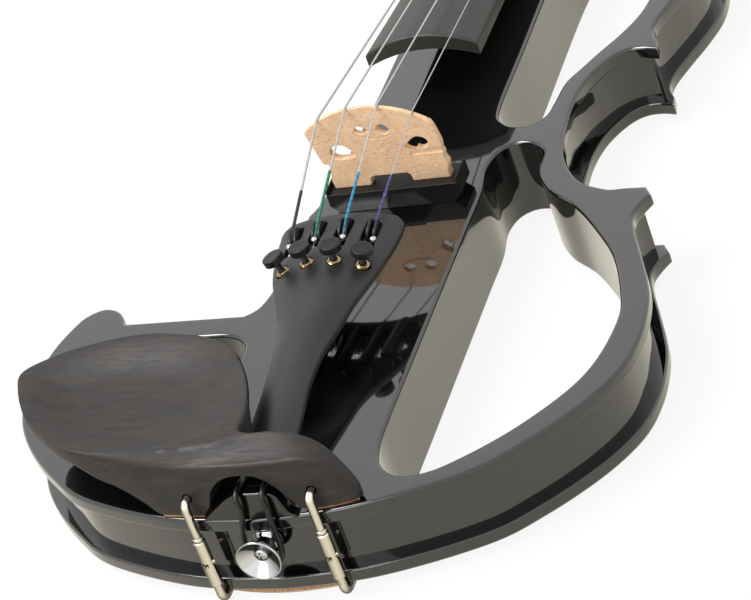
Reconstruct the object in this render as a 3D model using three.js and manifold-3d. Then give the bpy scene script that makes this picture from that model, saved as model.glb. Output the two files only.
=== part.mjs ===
// Electric violin with a skeleton body: a straight centre block that carries neck, bridge and
// tail, a treble frame that draws a violin's outline around two openings, and a short bass wing.
// Millimetres, +X to the treble side, +Y from the tail to the scroll, +Z up out of the top.
// While the pieces are shaped, Y is zero at the tail and Z is zero on the flat top of the body.
import * as THREE from "three";
import { mergeVertices } from "three/addons/utils/BufferGeometryUtils.js";
import Module from "manifold-3d";

const wasm = await Module();
wasm.setup();

// Shared clearances and tolerances
const FIT_GAP = 0.3;
const RUN_GAP = 0.1;
const CUT_OVERRUN_LENGTH = 2;
const MERGE_LENGTH = 0.0001;

// Body
const BODY_LENGTH = 360;
const BODY_HALF_WIDTH = 105.6;
const BODY_THICKNESS = 28.5;
const FLANGE_THICKNESS = 4.9;
const RIB_INSET_DEPTH = 3.5;
const BLOCK_HALF_WIDTH = 25;
const PLANK_HALF_WIDTH = 31;
const PLANK_WAIST_START_SHARE = 0.439;
const PLANK_WAIST_END_SHARE = 0.639;
const PLANK_WAIST_WIDTH = 1;

// Neck, fingerboard and nut
const STRING_LENGTH = 328;
const BRIDGE_Y = 165;
const NUT_Y = BRIDGE_Y + STRING_LENGTH;
const NUT_THICKNESS = 5.5;
const NUT_STEP_HEIGHT = 0.35;
const BOARD_LENGTH = 270;
const BOARD_TAPER_SHARE = 0.0326;
const BOARD_NUT_HALF_WIDTH = 12;
const BOARD_EDGE_HEIGHT = 5.3;
const BOARD_RADIUS = 42;
const BOARD_SLOPE_SHARE = 0.0656;
const BOARD_NUT_BASE_Z = -1.7;
const BOARD_HOLLOW_DEPTH = 4.6;
const BOARD_HOLLOW_FADE_LENGTH = 12;
const NECK_NUT_DEPTH = 12;
const NECK_HEEL_DEPTH = 13.6;
const NECK_EDGE_HEIGHT = 2.3;
const HEEL_LENGTH = 32;
const HEEL_HALF_WIDTH = 15.5;
const TENON_HALF_WIDTH = 13;
const TENON_LENGTH = 18;
const TENON_DEPTH = 22;

// Pegbox, scroll and pegs
const PEGBOX_START_HALF_WIDTH = 12;
const PEGBOX_END_HALF_WIDTH = 8.5;
const PEGBOX_WALL_THICKNESS = 4;
const PEGBOX_CHIN_DEPTH = 24;
const PEGBOX_CHIN_LENGTH = 20;
const PEGBOX_FLOOR_THICKNESS = 4.6;
const PEGBOX_HOLLOW_START_LENGTH = 4;
const PEGBOX_HOLLOW_LENGTH = 60;
const PEGBOX_RIM_FALL_HEIGHT = 5.5;
const SCROLL_RADIUS = 18;
const SCROLL_HALF_WIDTH = 20;
const SCROLL_THROAT_HALF_WIDTH = 6.5;
const SCROLL_FROM_NUT_LENGTH = 89;
const PEG_RADIUS = 3.4;
const PEG_DEPTH = 9;
const PEG_FIRST_LENGTH = 17;
const PEG_SPACING = 12.6;
const PEG_COLLAR_RADIUS = 5.2;
const PEG_COLLAR_LENGTH = 4;
const PEG_SHANK_LENGTH = 10;
const PEG_HEAD_LENGTH = 20;
const PEG_HEAD_HALF_WIDTH = 11.5;
const PEG_HEAD_HALF_THICKNESS = 3.9;
const PEG_END_HEIGHT = 1.2;

// Strings
const STRING_SPACING_NUT = 5.5;
const STRING_SPACING_BRIDGE = 11.2;
const STRING_CENTRE_X = -0.5;
const STRING_G_DIAMETER = 0.8;
const STRING_D_DIAMETER = 0.74;
const STRING_A_DIAMETER = 0.67;
const STRING_E_DIAMETER = 0.45;
const STRING_LIFT_HEIGHT = 0.12;
const WINDING_PITCH_LENGTH = 1.3;
const WINDING_CLEARANCE = 0.12;
const WINDING_TAIL_LENGTH = 3.4;
const WINDING_TAIL_GAP = 1;

// Bridge and the pickup block under it
const PICKUP_X = 2.5;
const PICKUP_HALF_LENGTH = 23.7;
const PICKUP_DEPTH = 12;
const PICKUP_SEAT_Z = 7.4;
const PICKUP_LUG_HEIGHT = 1.8;
const PICKUP_LUG_WIDTH = 0.7;
const PICKUP_CHAMFER_WIDTH = 3;
const BRIDGE_X = 1;
const BRIDGE_CROWN_X = -1.6;
const BRIDGE_CROWN_Z = 37.4;
const BRIDGE_RADIUS = 36.5;
const BRIDGE_FOOT_HALF_WIDTH = 20.8;
const BRIDGE_FOOT_LENGTH = 14;
const BRIDGE_ARCH_HEIGHT = 3.2;
const BRIDGE_SHOULDER_HALF_WIDTH = 23;
const BRIDGE_FOOT_THICKNESS = 4.4;
const BRIDGE_TOP_THICKNESS = 1.5;

// Tailpiece
const TAILPIECE_START_Y = 17;
const TAILPIECE_LENGTH = 107;
const TAILPIECE_HALF_WIDTH = 21.4;
const TAILPIECE_CROWN_START_Z = 10.6;
const TAILPIECE_CROWN_END_Z = 24.6;
const TAILPIECE_ARC_RADIUS = 30;
const TAILPIECE_EDGE_HEIGHT = 2.2;
const TAILPIECE_WALL_THICKNESS = 3;
const TAILPIECE_ROOT_DEPTH = 7;
const TAILPIECE_ROOT_SHARE = 0.45;

// Fine tuners
const TUNER_OUTER_X = 13.9;
const TUNER_INNER_X = 4.8;
const TUNER_FAN_RADIUS = 52;
const TUNER_SCREW_LENGTH = 25.8;
const TUNER_HOOK_LENGTH = 8.6;
const TUNER_EAR_RADIUS = 0.9;
const TUNER_EAR_HALF_LENGTH = 3.3;
const TUNER_SLOT_WIDTH = 4.6;
const TUNER_SLOT_LENGTH = 14.5;
const TUNER_SLOT_END_LENGTH = 5;
const TUNER_LEVER_WIDTH = 3.2;
const TUNER_LEVER_THICKNESS = 2;
const TUNER_HOOK_HEIGHT = 2.9;
const TUNER_ARM_DEPTH = 5.2;
const TUNER_BUSH_RADIUS = 2.3;
const TUNER_BUSH_BORE_RADIUS = 1.35;
const TUNER_BUSH_HEIGHT = 0.9;
const TUNER_BUSH_DEPTH = 2.4;
const TUNER_SCREW_RADIUS = 1.1;
const TUNER_KNOB_RADIUS = 3.65;
const TUNER_KNOB_THICKNESS = 2.5;
const TUNER_KNOB_HEIGHT = 4.2;

// Saddle, tailgut and end button
const SADDLE_Y = 0.4;
const SADDLE_DEPTH = 4.6;
const SADDLE_HEIGHT = 9.6;
const SADDLE_BASE_HALF_WIDTH = 16.6;
const GUT_DIAMETER = 1.9;
const GUT_X = 1.9;
const GUT_HALF_SPACING = 4.3;
const GUT_LOOP_HALF_WIDTH = 5.6;
const GUT_TAILPIECE_DEPTH = 5;
const BUTTON_Z = -10.2;
const BUTTON_RADIUS = 7.3;
const BUTTON_RIM_WIDTH = 0.7;
const BUTTON_NECK_RADIUS = 3.1;
const BUTTON_RING_RADIUS = 4.1;
const BUTTON_FLARE_LENGTH = 3.5;
const BUTTON_NECK_LENGTH = 4.6;
const BUTTON_BASE_RADIUS = 4.7;
const BUTTON_BASE_LENGTH = 2.4;
const BUTTON_DISH_DEPTH = 2.2;
const BUTTON_SCREW_HEAD_RADIUS = 2;
const BUTTON_SCREW_RADIUS = 1.3;
const BUTTON_SCREW_LENGTH = 24;

// Chinrest
const CHINREST_FRONT_Y = 1;
const CHINREST_SETBACK_DEPTH = 0.8;
const CHINREST_LENGTH = 90;
const CHINREST_WIDTH = 66.5;
const CHINREST_RIM_Z = 24;
const CHINREST_PLATE_BASE_Z = 13;
const CHINREST_DISH_DEPTH = 5;
const CHINREST_ARM_DEPTH = 12.5;
const CHINREST_ARM_TOP_Z = 20.8;
const CHINREST_ARM_HALF_WIDTH = 36;
const CORK_THICKNESS = 1.5;
const CORK_INSET_WIDTH = 1.4;
const CHINREST_FOOT_OUTER_WIDTH = 33;

// Chinrest clamp
const CLAMP_X = 20.5;
const CLAMP_Y = -1;
const CLAMP_ROD_RADIUS = 1.4;
const CLAMP_BARREL_RADIUS = 2.1;
const CLAMP_BARREL_LENGTH = 17.4;
const CLAMP_BARREL_TOP_Z = -5.8;
const CLAMP_BORE_DEPTH = 6.5;
const CLAMP_KEY_HOLE_RADIUS = 0.8;
const CLAMP_COLLAR_LENGTH = 1.3;
const CLAMP_COLLAR_RADIUS = 1.85;
const CLAMP_HOOK_Z = 8;
const CLAMP_HOOK_BEND_RADIUS = 1.9;
const CLAMP_FOOT_BEND_RADIUS = 3.2;
const CLAMP_HOOK_DEPTH = 7;
const CLAMP_FOOT_HALF_LENGTH = 30;
const CLAMP_FOOT_FRONT_Y = 1.3;
const CLAMP_FOOT_SHOULDER_Y = 6.5;
const CLAMP_FOOT_BACK_Y = 16;
const CLAMP_FOOT_THICKNESS = 1.6;
const CLAMP_FOOT_CORK_THICKNESS = 1.5;

// Electronics in the back of the centre block
const BAY_HALF_WIDTH = 19;
const BAY_JACK_LENGTH = 15;
const BAY_SWITCH_LENGTH = 6;
const BAY_DEPTH = 20.5;
const COVER_THICKNESS = 2;
const COVER_MARGIN_WIDTH = 2.6;
const BATTERY_LENGTH = 48.5;
const BATTERY_WIDTH = 26.5;
const BATTERY_HEIGHT = 17.2;
const BATTERY_GAP_LENGTH = 48;
const CONTROL_Z = -17;
const CONTROL_FIRST_LENGTH = 8;
const CONTROL_SPACING = 12.6;
const SWITCH_SPACING = 13.2;
const JACK_Y_SHARE = 0.203;
const JACK_RADIUS = 6.2;
const JACK_FLANGE_RADIUS = 7.6;
const JACK_FLANGE_THICKNESS = 1.5;
const JACK_LENGTH = 27;
const JACK_BORE_RADIUS = 3.3;
const KNOB_RADIUS = 5;
const KNOB_LENGTH = 6;
const KNOB_GAP = 0.6;
const KNOB_SHAFT_RADIUS = 2.6;
const POT_WIDTH = 12;
const POT_DEPTH = 7;
const BOARD_PLATE_THICKNESS = 1.6;
const BOARD_PLATE_MARGIN_WIDTH = 1;
const SWITCH_LENGTH = 5;
const SWITCH_TRAVEL_LENGTH = 2.5;
const SWITCH_HEIGHT = 3;
const SWITCH_STAND_HEIGHT = 1.6;
const PICKUP_HOLE_RADIUS = 2.2;

// Facets
const ROUND_SIDES = 24;
const SMALL_SIDES = 16;
const WIRE_SIDES = 5;
const ROD_SIDES = 10;
const GUT_SIDES = 8;
const ARC_STEPS = 10;
const CURVE_STEPS = 3;
const WINDING_LOOPS = 4;
const WINDING_STEPS = 16;
const SCROLL_TURNS = 2.5;
const SCROLL_STEPS = 24;
const SCROLL_DECAY_SHARE = 0.589;

// Outline points as shares of the body's half width and length, corner to corner. The openings
// and the wing's fillet count their width from the edge of the centre block beside them.
const LOWER_BOUT_SHARES = [
  [0, 0], [0.284, 0.009], [0.596, 0.042], [0.751, 0.077], [0.895, 0.1255], [0.978, 0.172],
  [1, 0.217], [0.989, 0.2615], [0.964, 0.2915], [0.907, 0.337], [0.8645, 0.3695],
  [0.845, 0.392], [0.855, 0.408], [0.877, 0.424],
];
const C_BOUT_SHARES = [
  [0.853, 0.4365], [0.78, 0.438], [0.718, 0.4395], [0.611, 0.46], [0.5255, 0.5085],
  [0.496, 0.575], [0.51, 0.621], [0.555, 0.653], [0.606, 0.669], [0.662, 0.6715], [0.7215, 0.667],
];
const UPPER_BOUT_SHARES = [
  [0.713, 0.6815], [0.6855, 0.7], [0.6875, 0.7215], [0.715, 0.7515], [0.7575, 0.793],
  [0.781, 0.833], [0.762, 0.883], [0.682, 0.936], [0.53, 0.9735], [0.36, 0.993], [0.246, 1],
];
const WING_END_SHARES = [
  [0.964, 0.2915], [0.9355, 0.311], [0.888, 0.3225], [0.8455, 0.3225], [0.806, 0.315],
  [0.765, 0.2965],
];
const WING_FILLET_SHARES = [[0.084, 0.293], [0.037, 0.301], [0.013, 0.3136], [0, 0.3283]];
const LOWER_OPENING_SHARES = [
  [0, 0.125], [0, 0.2], [0, 0.4], [0, 0.456], [-0.021, 0.497], [0.012, 0.52], [0.074, 0.529],
  [0.165, 0.526], [0.229, 0.512], [0.243, 0.48], [0.338, 0.445], [0.489, 0.4153], [0.658, 0.366],
  [0.748, 0.3335], [0.835, 0.28], [0.867, 0.2445], [0.806, 0.1675], [0.611, 0.107],
  [0.397, 0.0664], [0.26, 0.0494], [0.133, 0.048], [0.045, 0.064], [0.008, 0.09],
];
const UPPER_OPENING_SHARES = [
  [0, 0.9], [0, 0.7], [0.005, 0.589], [0.02, 0.575], [0.061, 0.5636], [0.11, 0.5583],
  [0.177, 0.5586], [0.231, 0.5714], [0.247, 0.5908], [0.264, 0.6256], [0.309, 0.6472],
  [0.371, 0.6753], [0.435, 0.7019], [0.494, 0.7367], [0.523, 0.79], [0.538, 0.833],
  [0.518, 0.873], [0.418, 0.918], [0.24, 0.9455], [0.083, 0.948], [0.02, 0.932],
];
const LEFT_OPENING_SHARES = [
  [0, 0.18], [0, 0.228], [0.008, 0.246], [0.042, 0.256], [0.105, 0.2633], [0.212, 0.266],
  [0.66, 0.262], [0.766, 0.246], [0.781, 0.21], [0.689, 0.163], [0.519, 0.137], [0.236, 0.131],
  [0.052, 0.14], [0.008, 0.152], [0, 0.166],
];
// Saddle and the arch over it, seen from the tail, as shares of the saddle's base half width and
// of the saddle's height or the arm's
const SADDLE_SHARES = [
  [0.86, 0], [0.79, 0.03], [0.7, 0.14], [0.635, 0.43], [0.55, 0.8], [0.42, 0.97], [0.12, 1],
  [-0.17, 1], [-0.29, 0.94], [-0.39, 0.86], [-0.6, 0.62], [-0.81, 0.34], [-1, 0.05], [-1, 0],
];
const ARCH_SHARES = [
  [-0.83, 0.22], [-0.803, 0.322], [-0.708, 0.498], [-0.528, 0.652], [-0.3, 0.75], [-0.05, 0.775],
  [0.227, 0.745], [0.428, 0.664], [0.595, 0.503], [0.716, 0.346], [0.82, 0.185], [0.95, 0.09],
];
// Chinrest plate, in plan, as shares of its reach to the bass side and of its span
const CHINREST_PLAN_SHARES = [
  [0.37, 0], [0.56, 0.08], [0.755, 0.27], [0.89, 0.47], [0.975, 0.62], [1, 0.76],
  [0.9, 0.875], [0.75, 0.955], [0.566, 0.995], [0.418, 0.973], [0.303, 0.928], [0.185, 0.81],
  [0.096, 0.627], [0.045, 0.413], [0.042, 0.266], [0.06, 0.14], [0.07, 0],
];
// Tailpiece: share of its length, then half width, height of the crown and radius of the arch
const TAILPIECE_SHARES = [
  [0, 0.39, 0, 0.5], [0.1, 0.395, 0.11, 0.5], [0.2, 0.38, 0.22, 0.5], [0.27, 0.362, 0.3, 0.52],
  [0.35, 0.374, 0.4, 0.5], [0.44, 0.414, 0.53, 0.44], [0.5, 0.464, 0.6, 0.44],
  [0.56, 0.535, 0.69, 0.52], [0.62, 0.625, 0.79, 0.68], [0.68, 0.735, 0.87, 0.88],
  [0.74, 0.836, 0.93, 1.08], [0.8, 0.908, 0.975, 1.22], [0.87, 0.968, 1, 1.32],
  [0.94, 1, 0.98, 1.55], [0.975, 0.99, 0.96, 1.8], [1, 0.86, 0.93, 2.1],
];
// Heel: share of its length, then depth below the fingerboard as a share of the way to full depth
const HEEL_SHARES = [[0, 1], [0.14, 0.985], [0.3, 0.88], [0.45, 0.62], [0.62, 0.3], [0.8, 0.09], [1, 0]];
// Order of the strings over the bridge from the bass side, and of their pegs from the nut
const STRINGS = [
  { name: "g", diameter: STRING_G_DIAMETER, peg: 0, side: -1 },
  { name: "d", diameter: STRING_D_DIAMETER, peg: 2, side: -1 },
  { name: "a", diameter: STRING_A_DIAMETER, peg: 3, side: 1 },
  { name: "e", diameter: STRING_E_DIAMETER, peg: 1, side: 1 },
].map((string, i, all) => ({ ...string, place: i - (all.length - 1) / 2 }));

// Finishes
const finish = (color, roughness, metalness) => ({ color, roughness, metalness });
const BLACK_LACQUER = finish(0x161616, 0.08, 0);
const EBONY = finish(0x2a2724, 0.45, 0);
const DARK_WOOD = finish(0x35302c, 0.4, 0);
const MAPLE = finish(0xe3bd8c, 0.55, 0);
const SATIN_BLACK = finish(0x3a3a3a, 0.4, 0);
const MATTE_BLACK = finish(0x1d1d1d, 0.6, 0);
const NICKEL = finish(0xd8cfb8, 0.22, 1);
const CHROME = finish(0xd5d6d8, 0.08, 1);
const BRASS = finish(0xc8a050, 0.25, 1);
const STEEL = finish(0xc4c6c8, 0.3, 1);
const CORK = finish(0xb07a4c, 0.85, 0);
const BOARD_GREEN = finish(0x23603a, 0.5, 0);
const BONE = finish(0x1b1a19, 0.4, 0);

// Geometry helpers
const v2 = (x, y) => new THREE.Vector2(x, y);
const v3 = (x, y, z) => new THREE.Vector3(x, y, z);

function solid(geometry) {
  geometry.deleteAttribute("normal");
  geometry.deleteAttribute("uv");
  const merged = mergeVertices(geometry, MERGE_LENGTH);
  const triVerts = new Uint32Array(merged.index.array);
  const vertProperties = merged.attributes.position.array;
  const made = new wasm.Manifold(new wasm.Mesh({ numProp: 3, vertProperties, triVerts }));
  if (made.volume() >= 0) return made;
  const turned = triVerts.slice();
  for (let i = 0; i < turned.length; i += 3) {
    turned[i + 1] = triVerts[i + 2];
    turned[i + 2] = triVerts[i + 1];
  }
  return new wasm.Manifold(new wasm.Mesh({ numProp: 3, vertProperties, triVerts: turned }));
}

const joined = (...solids) => solids.reduce((whole, piece) => whole.add(piece));
const cut = (body, ...tools) => tools.reduce((left, tool) => left.subtract(tool), body);

function box(low, high) {
  const size = high.clone().sub(low);
  const geometry = new THREE.BoxGeometry(size.x, size.y, size.z);
  geometry.translate(...low.clone().add(high).multiplyScalar(0.5));
  return solid(geometry);
}

// A flat outline pushed along one axis. Its own x and y become the two other axes, in order.
const SIDEWAYS = {
  x: new THREE.Matrix4().makeBasis(v3(0, 1, 0), v3(0, 0, 1), v3(1, 0, 0)),
  y: new THREE.Matrix4().makeBasis(v3(1, 0, 0), v3(0, 0, 1), v3(0, -1, 0)),
  z: new THREE.Matrix4(),
};

function extruded(outline, axis, low, high, holes = []) {
  const shape = new THREE.Shape(outline);
  shape.holes = holes.map((points) => new THREE.Path(points));
  const geometry = new THREE.ExtrudeGeometry(shape, { depth: high - low, bevelEnabled: false });
  geometry.applyMatrix4(SIDEWAYS[axis]);
  const start = axis === "y" ? high : low;
  geometry.translate(...v3(0, 0, 0).setComponent("xyz".indexOf(axis), start));
  return solid(geometry);
}

// A straight rod or cone between two points
function rod(from, to, radius, sides = ROUND_SIDES, endRadius = radius) {
  const along = to.clone().sub(from);
  const geometry = new THREE.CylinderGeometry(endRadius, radius, along.length(), sides);
  const turn = new THREE.Quaternion().setFromUnitVectors(v3(0, 1, 0), along.clone().normalize());
  geometry.applyQuaternion(turn);
  geometry.translate(...from.clone().add(to).multiplyScalar(0.5));
  return solid(geometry);
}

// A turned piece: pairs of radius and height, closed onto its axis, standing on base along axis
function turned(pairs, base, axis, sides = ROUND_SIDES) {
  const profile = pairs.map(([radius, height]) => v2(radius, height));
  const geometry = new THREE.LatheGeometry(profile, sides);
  geometry.applyQuaternion(new THREE.Quaternion().setFromUnitVectors(v3(0, 1, 0), axis));
  geometry.translate(...base);
  return solid(geometry);
}

// A solid through a row of flat rings with the same number of points
function loft(rings) {
  const count = rings[0].length;
  const positions = rings.flat().flatMap((point) => [point.x, point.y, point.z]);
  const index = [];
  for (let ring = 0; ring < rings.length - 1; ring++)
    for (let i = 0; i < count; i++) {
      const a = ring * count + i;
      const b = ring * count + ((i + 1) % count);
      index.push(a, b, b + count, a, b + count, a + count);
    }
  const last = (rings.length - 1) * count;
  for (const [a, b, c] of THREE.ShapeUtils.triangulateShape(flatRing(rings[0]), [])) index.push(a, b, c);
  for (const [a, b, c] of THREE.ShapeUtils.triangulateShape(flatRing(rings.at(-1)), []))
    index.push(last + a, last + c, last + b);
  const geometry = new THREE.BufferGeometry();
  geometry.setAttribute("position", new THREE.Float32BufferAttribute(positions, 3));
  geometry.setIndex(index);
  return solid(geometry);
}

// A ring that faces along Y seen flat
const flatRing = (ring) => ring.map((point) => v2(point.x, point.z));

// A route through given points that a tube follows exactly
class Route extends THREE.Curve {
  constructor(points) {
    super();
    this.points = points;
  }
  getPoint(t, target = new THREE.Vector3()) {
    const place = t * (this.points.length - 1);
    const i = Math.min(Math.floor(place), this.points.length - 2);
    return target.lerpVectors(this.points[i], this.points[i + 1], place - i);
  }
  getUtoTmapping(u) {
    return u;
  }
}

function tube(points, radius, sides = WIRE_SIDES) {
  const section = [];
  for (let i = 0; i < sides; i++) {
    const angle = (2 * Math.PI * i) / sides;
    section.push(v2(radius * Math.cos(angle), radius * Math.sin(angle)));
  }
  const extrudePath = new Route(points);
  const steps = points.length - 1;
  const settings = { steps, extrudePath, bevelEnabled: false };
  const geometry = new THREE.ExtrudeGeometry(new THREE.Shape(section), settings);
  return solid(geometry);
}

const smooth = (points, steps = CURVE_STEPS) =>
  new THREE.CatmullRomCurve3(points, false, "centripetal").getPoints(steps * (points.length - 1));
const smoothFlat = (points, steps = CURVE_STEPS) =>
  new THREE.SplineCurve(points).getPoints(steps * (points.length - 1));

// An arc of a circle about a centre, from one angle to another
function arc(centerX, centerY, radius, from, to, steps = ARC_STEPS) {
  const points = [];
  for (let i = 0; i <= steps; i++) {
    const angle = from + ((to - from) * i) / steps;
    points.push(v2(centerX + radius * Math.cos(angle), centerY + radius * Math.sin(angle)));
  }
  return points;
}

// The part, filled by the sections below
const pieces = new THREE.Group();

function place(name, made, look) {
  const data = made.getMesh();
  const geometry = new THREE.BufferGeometry();
  geometry.setAttribute("position", new THREE.Float32BufferAttribute(data.vertProperties, 3));
  geometry.setIndex(new THREE.Uint32BufferAttribute(data.triVerts, 1));
  const mesh = new THREE.Mesh(geometry, new THREE.MeshStandardMaterial({ ...look, flatShading: true }));
  mesh.name = name;
  pieces.add(mesh);
  return mesh;
}

// Levels and places that several pieces share
const PLANK_WAIST_START = PLANK_WAIST_START_SHARE * BODY_LENGTH;
const PLANK_WAIST_END = PLANK_WAIST_END_SHARE * BODY_LENGTH;
const BACK_Z = -BODY_THICKNESS;
const REST_Z = BACK_Z - CLAMP_FOOT_CORK_THICKNESS - CLAMP_FOOT_THICKNESS;
const boardBase = (y) => BOARD_NUT_BASE_Z + (NUT_Y - y) * BOARD_SLOPE_SHARE;
const boardHalfWidth = (y) => BOARD_NUT_HALF_WIDTH + (NUT_Y - y) * BOARD_TAPER_SHARE;
const arcRise = (x, halfWidth, radius) =>
  Math.sqrt(radius * radius - x * x) - Math.sqrt(radius * radius - halfWidth * halfWidth);
const arcDrop = (x, radius) => radius - Math.sqrt(radius * radius - x * x);

// Body outlines in plan
const fromShares = (shares, side = 1) =>
  shares.map(([x, y]) => v2(side * x * BODY_HALF_WIDTH, y * BODY_LENGTH));

const besideBlock = (shares, edge, side = 1) =>
  shares.map(([x, y]) => v2(side * (edge + x * (BODY_HALF_WIDTH - edge)), y * BODY_LENGTH));

const lowerBout = smoothFlat(fromShares(LOWER_BOUT_SHARES));
const trebleOutline = [
  ...lowerBout,
  ...smoothFlat(fromShares(C_BOUT_SHARES)),
  ...smoothFlat(fromShares(UPPER_BOUT_SHARES)),
];
const wingStart = fromShares([WING_END_SHARES[0]])[0].y;
const bassBout = lowerBout.filter((point) => point.y < wingStart).map((point) => v2(-point.x, point.y));
const wingEnd = smoothFlat(fromShares(WING_END_SHARES, -1));
const bassOutline = [...bassBout, ...wingEnd];

// A line of points moved sideways, to its left where the distance is positive
function offsetLine(points, distance) {
  const moved = points.map((point, i) => {
    const before = points[Math.max(i - 1, 0)];
    const after = points[Math.min(i + 1, points.length - 1)];
    const a = point.clone().sub(before);
    const b = after.clone().sub(point);
    if (a.lengthSq() === 0) a.copy(b);
    if (b.lengthSq() === 0) b.copy(a);
    a.normalize();
    b.normalize();
    const normal = v2(-a.y - b.y, a.x + b.x).normalize();
    const spread = Math.max(normal.dot(v2(-a.y, a.x)), 0.5);
    return point.clone().addScaledVector(normal, distance / spread);
  });
  return moved.filter((point, i) => {
    if (i === 0 || i === points.length - 1) return true;
    const way = points[i + 1].clone().sub(points[i - 1]);
    return moved[i + 1].clone().sub(point).dot(way) > 0 && point.clone().sub(moved[i - 1]).dot(way) > 0;
  });
}

function bodySolid() {
  const strip = smoothFlat([
    v2(-PLANK_HALF_WIDTH, PLANK_WAIST_START),
    v2((-PLANK_HALF_WIDTH - BLOCK_HALF_WIDTH) / 2, PLANK_WAIST_START + FLANGE_THICKNESS * 2),
    v2(-BLOCK_HALF_WIDTH - PLANK_WAIST_WIDTH, (PLANK_WAIST_START + PLANK_WAIST_END) / 2),
    v2(-BLOCK_HALF_WIDTH, PLANK_WAIST_END),
  ]);
  const treble = [v2(0, 0), ...trebleOutline.slice(1), v2(0, BODY_LENGTH)];
  const bass = [
    v2(0, 0),
    v2(0, PLANK_WAIST_END),
    ...strip.toReversed(),
    ...smoothFlat(besideBlock(WING_FILLET_SHARES, PLANK_HALF_WIDTH, -1)).toReversed(),
    ...bassOutline.slice(1).toReversed(),
  ];
  const blank = extruded(treble, "z", BACK_Z, 0).add(extruded(bass, "z", BACK_Z, 0)).add(
    box(v3(-BLOCK_HALF_WIDTH, PLANK_WAIST_START, BACK_Z), v3(0, BODY_LENGTH, 0)),
  );
  const through = (shares, edge, side) =>
    extruded(closedSmooth(besideBlock(shares, edge, side)), "z", BACK_Z - CUT_OVERRUN_LENGTH, CUT_OVERRUN_LENGTH);
  const chain = [...bassOutline.slice(1).toReversed(), ...trebleOutline];
  const groove = extruded(
    [...offsetLine(chain, -CUT_OVERRUN_LENGTH), ...offsetLine(chain, RIB_INSET_DEPTH).toReversed()],
    "z",
    BACK_Z + FLANGE_THICKNESS,
    -FLANGE_THICKNESS,
  );
  return cut(
    blank,
    groove,
    through(LOWER_OPENING_SHARES, PLANK_HALF_WIDTH, 1),
    through(UPPER_OPENING_SHARES, BLOCK_HALF_WIDTH, 1),
    through(LEFT_OPENING_SHARES, PLANK_HALF_WIDTH, -1),
  );
}

// A closed smooth outline through its points
function closedSmooth(points) {
  const curve = new THREE.CatmullRomCurve3(points.map((p) => v3(p.x, p.y, 0)), true, "centripetal");
  return curve.getPoints(CURVE_STEPS * points.length).slice(0, -1).map((p) => v2(p.x, p.y));
}

// Places along the centre block
const TONE_Y = WING_FILLET_SHARES.at(-1)[1] * BODY_LENGTH + CONTROL_FIRST_LENGTH;
const VOLUME_Y = TONE_Y + CONTROL_SPACING;
const SWITCH_Y = VOLUME_Y + SWITCH_SPACING;
const JACK_Y = JACK_Y_SHARE * BODY_LENGTH;
const BAY_START_Y = JACK_Y - BAY_JACK_LENGTH;
const BAY_END_Y = SWITCH_Y + BAY_SWITCH_LENGTH;
const BATTERY_BAY_Y = BAY_END_Y + BATTERY_GAP_LENGTH;
const BAY_FLOOR_Z = BACK_Z + BAY_DEPTH;
const BATTERY_FLOOR_Z = BACK_Z + COVER_THICKNESS + FIT_GAP * 2 + BATTERY_HEIGHT;
const BATTERY_BAY_HALF_WIDTH = BATTERY_WIDTH / 2 + FIT_GAP;
const BATTERY_BAY_END = BATTERY_BAY_Y + BATTERY_LENGTH + FIT_GAP * 2;
const KNOB_BORE = KNOB_SHAFT_RADIUS + RUN_GAP * 2;
const SWITCH_SLOT_HALF_LENGTH = SWITCH_LENGTH / 2 + SWITCH_TRAVEL_LENGTH + FIT_GAP;

function bayCut() {
  const low = BACK_Z - CUT_OVERRUN_LENGTH;
  const ledge = BACK_Z + COVER_THICKNESS;
  const hole = (halfWidth, start, end, floor, margin) =>
    joined(
      box(v3(-halfWidth, start, low), v3(halfWidth, end, floor)),
      box(v3(-halfWidth - margin, start - margin, low), v3(halfWidth + margin, end + margin, ledge)),
    );
  const leadStart = v3(0, BRIDGE_Y - PICKUP_DEPTH, BAY_FLOOR_Z - CUT_OVERRUN_LENGTH);
  const leadEnd = v3(0, BRIDGE_Y, CUT_OVERRUN_LENGTH);
  return joined(
    hole(BAY_HALF_WIDTH, BAY_START_Y, BAY_END_Y, BAY_FLOOR_Z, COVER_MARGIN_WIDTH),
    hole(BATTERY_BAY_HALF_WIDTH, BATTERY_BAY_Y, BATTERY_BAY_END, BATTERY_FLOOR_Z, COVER_MARGIN_WIDTH),
    rod(leadStart, leadEnd, PICKUP_HOLE_RADIUS, SMALL_SIDES),
  );
}

// Holes from the bass side of the block for the controls and the socket
function sideHoles() {
  const inside = -BAY_HALF_WIDTH + CUT_OVERRUN_LENGTH;
  const outside = -PLANK_HALF_WIDTH - CUT_OVERRUN_LENGTH;
  const bore = (y, radius) => rod(v3(outside, y, CONTROL_Z), v3(inside, y, CONTROL_Z), radius);
  const slot = box(
    v3(outside, SWITCH_Y - SWITCH_SLOT_HALF_LENGTH, CONTROL_Z - SWITCH_HEIGHT / 2 - FIT_GAP),
    v3(inside, SWITCH_Y + SWITCH_SLOT_HALF_LENGTH, CONTROL_Z + SWITCH_HEIGHT / 2 + FIT_GAP),
  );
  const socket = bore(JACK_Y, JACK_RADIUS + FIT_GAP);
  return joined(bore(VOLUME_Y, KNOB_BORE), bore(TONE_Y, KNOB_BORE), socket, slot);
}

function tenonCut() {
  return box(
    v3(-TENON_HALF_WIDTH - FIT_GAP, BODY_LENGTH - TENON_LENGTH - FIT_GAP, -TENON_DEPTH - FIT_GAP),
    v3(TENON_HALF_WIDTH + FIT_GAP, BODY_LENGTH + CUT_OVERRUN_LENGTH, CUT_OVERRUN_LENGTH),
  );
}

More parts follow.
